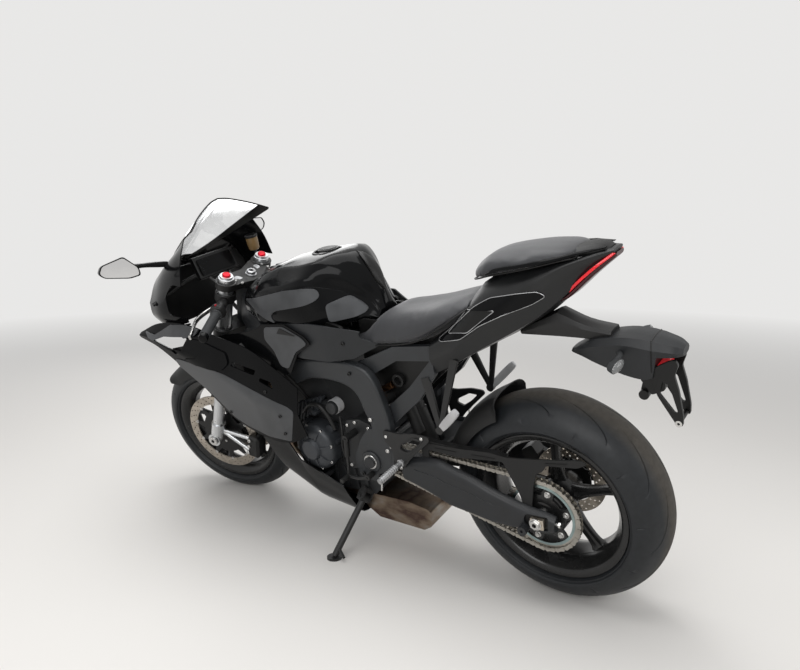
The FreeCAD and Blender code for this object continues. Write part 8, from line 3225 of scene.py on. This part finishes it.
@dataclass
class DressedNodes:
    """Pieces whose own shape is right, and which get rounded edges and a finish.

    Args:
        rows: node, finish, body, slot and edge width.
    """

    rows: Sequence[tuple[str, object, Body, str, float]] = (
        ("headstock", Palette.FRAME, Body.CHASSIS, "frame_paint", 1.5),
        ("frame_spars", Palette.FRAME, Body.CHASSIS, "frame_paint", 3.0),
        ("engine_block", Palette.ENGINE, Body.CHASSIS, "engine_paint", 1.5),
        ("engine_covers", Palette.COVER, Body.CHASSIS, "engine_paint", 1.5),
        ("radiator", Palette.CORE, Body.CHASSIS, "core_metal", 1.0),
        ("exhaust", Palette.HEADER, Body.CHASSIS, "bare_steel", 1.0),
        ("silencer", Palette.BRACKET, Body.CHASSIS, "black_metal", 3.0),
        ("subframe", Palette.FRAME, Body.CHASSIS, "frame_paint", 2.0),
        ("passenger_pegs", Palette.ALLOY, Body.CHASSIS, "control_alloy", 1.0),
        ("stand_bracket", Palette.BRACKET, Body.CHASSIS, "black_metal", 1.0),
        ("swingarm_arms", Palette.ARM, Body.CHASSIS, "frame_paint", 2.5),
        ("stand_spools", Palette.ARM, Body.CHASSIS, "frame_paint", 0.8),
        ("swingarm", Palette.ARM, Body.CHASSIS, "frame_paint", 2.5),
        ("rear_axle", Palette.CHAMPAGNE, Body.CHASSIS, "bare_steel", 0.8),
        ("rear_caliper", Palette.BRACKET, Body.CHASSIS, "caliper_metal", 1.5),
        ("rear_shock", Palette.BRACKET, Body.CHASSIS, "black_metal", 1.0),
        ("hugger", Palette.PLASTIC, Body.CHASSIS, "matte_plastic", 0.8),
        ("chain_guard", Palette.PLASTIC, Body.CHASSIS, "matte_plastic", 0.8),
        ("chain", Palette.CHAIN, Body.CHASSIS, "chain_steel", 0.0),
        ("foot_controls", Palette.BRACKET, Body.CHASSIS, "control_alloy", 0.8),
        ("fuel_tank", Palette.BLACK_GLOSS, Body.CHASSIS, "gloss_black", 2.0),
        ("side_covers", Palette.PANEL, Body.CHASSIS, "matte_plastic", 1.5),
        ("rider_seat", Palette.VINYL, Body.CHASSIS, "seat_cover", 3.0),
        ("pillion_seat", Palette.VINYL, Body.CHASSIS, "seat_cover", 3.0),
        ("tail_cowl", Palette.PLASTIC, Body.CHASSIS, "matte_plastic", 2.0),
        ("tail_light", Palette.RED_LENS, Body.CHASSIS, "red_lens", 0.5),
        ("plate_bracket", Palette.PLASTIC, Body.CHASSIS, "matte_plastic", 1.5),
        ("rear_indicators", Palette.LENS, Body.CHASSIS, "lamp_lens", 1.0),
        ("upper_cowl", Palette.BLACK_GLOSS, Body.CHASSIS, "gloss_black", 0.8),
        ("windscreen", Palette.SCREEN, Body.CHASSIS, "clear_screen", 0.0),
        ("instrument_panel", Palette.BLACK_DEEP, Body.CHASSIS, "matte_plastic", 1.0),
        ("headlights", Palette.LENS, Body.CHASSIS, "lamp_lens", 0.8),
        ("side_fairings", Palette.BLACK_GLOSS, Body.CHASSIS, "gloss_black", 0.8),
        ("belly_pan", Palette.BLACK_GLOSS, Body.CHASSIS, "gloss_black", 0.8),
        ("mirrors", Palette.PLASTIC, Body.CHASSIS, "matte_plastic", 1.0),
        ("triple_clamps", Palette.BRACKET, Body.STEERING, "black_metal", 1.5),
        ("fork_legs", Palette.FORK, Body.STEERING, "fork_metal", 0.8),
        ("front_axle", Palette.STEEL, Body.STEERING, "bare_steel", 0.8),
        ("front_mudguard", Palette.BLACK_GLOSS, Body.STEERING, "gloss_black", 0.8),
        ("handlebars", Palette.BRACKET, Body.STEERING, "black_metal", 0.8),
        ("hand_controls", Palette.ALLOY, Body.STEERING, "control_alloy", 0.8),
        ("front_calipers", Palette.BRACKET, Body.STEERING, "caliper_metal", 1.5),
        ("front_rim", Palette.RIM, Body.FRONT_WHEEL, "rim_paint", 1.5),
        ("front_tyre", Palette.TYRE, Body.FRONT_WHEEL, "rubber", 0.0),
        ("front_discs", Palette.DISC, Body.FRONT_WHEEL, "disc_steel", 0.6),
        ("rear_rim", Palette.RIM, Body.REAR_WHEEL, "rim_paint", 1.5),
        ("rear_tyre", Palette.TYRE, Body.REAR_WHEEL, "rubber", 0.0),
        ("rear_disc", Palette.DISC, Body.REAR_WHEEL, "disc_steel", 0.6),
        ("rear_sprocket", Palette.CHAIN, Body.REAR_WHEEL, "chain_steel", 0.5),
        ("side_stand", Palette.BRACKET, Body.STAND, "black_metal", 1.0),
        ("fuel_cap", Palette.BRACKET, Body.CAP, "black_metal", 1.0),
    )

    def build(self, skip: set[str]) -> None:
        """Dresses every node that no other piece stands for.

        Args:
            skip: nodes that have their own piece.
        """
        for node, finish, body, slot, bevel in self.rows:
            if node not in skip:
                dress(node, finish, body, bevel)


def main() -> None:
    """Builds the sub-assemblies in order."""
    logging.basicConfig(level=logging.INFO, format="%(name)s %(message)s")
    Studio().build()
    skip: set[str] = set()
    for nodes, parts in assemblies():
        for part in parts:
            LOG.info("building %s", type(part).__name__)
            part.build()
        skip.update(nodes)
    DressedNodes().build(skip)
    bpy.context.view_layer.update()


def assemblies() -> list[tuple[Sequence[str], Sequence[object]]]:
    """The sub-assemblies in order, each with the plain nodes that it stands for.

    Returns:
        Pairs of node names and the objects that build their pieces.
    """
    return [
        (("rear_tyre", "front_tyre"), (
            RoadTyre("rear_road_tyre", "rear_tyre", Body.REAR_WHEEL, REAR_AXLE, REAR_RADIUS, 195.0, 164.0,
                     11),
            RoadTyre("front_road_tyre", "front_tyre", Body.FRONT_WHEEL, FRONT_AXLE, FRONT_RADIUS, 120.0,
                     96.0, 13, -1.0))),
        (("rear_rim", "front_rim"), (
            CastWheel("rear_cast_wheel", "rear_rim", Body.REAR_WHEEL, REAR_AXLE, 164.0, 58.0, 76.0),
            CastWheel("front_cast_wheel", "front_rim", Body.FRONT_WHEEL, FRONT_AXLE, 96.0, 34.0, 63.2))),
        (("rear_disc", "front_discs"), (
            BrakeDisc("rear_brake", "rear_disc", Body.REAR_WHEEL, REAR_AXLE, -78.8, 110.0, False, holes=22,
                      carrier=58.0, arms=6),
            BrakeDisc("front_brakes", "front_discs", Body.FRONT_WHEEL, FRONT_AXLE, 66.0, 165.0, True))),
        (("rear_sprocket", "chain"), (Sprocket(), DriveChain())),
        (("fuel_tank", "side_covers"), (FuelTank(), SideCovers())),
        (("frame_spars", "swingarm_arms", "rear_axle", "chain_guard"),
         (FrameBeams(), RearArms(), ChainGuard())),
        (("rider_seat", "pillion_seat", "tail_cowl", "tail_light", "passenger_pegs"), (
            Seats(), TailUnit(), PassengerPegs())),
        (("plate_bracket", "rear_indicators", "hugger", "front_mudguard"), (PlateCarrier(), RearGuards())),
        (("upper_cowl", "headlights", "side_fairings", "windscreen", "belly_pan"), (Fairing(),)),
        (("mirrors", "instrument_panel"), (Mirrors(), Instruments())),
        (("handlebars", "hand_controls", "triple_clamps"), (Cockpit(),)),
        (("engine_covers", "foot_controls"), (EngineDetail(), FootGear(), Fasteners())),
    ]


if __name__ == "__main__":
    main()
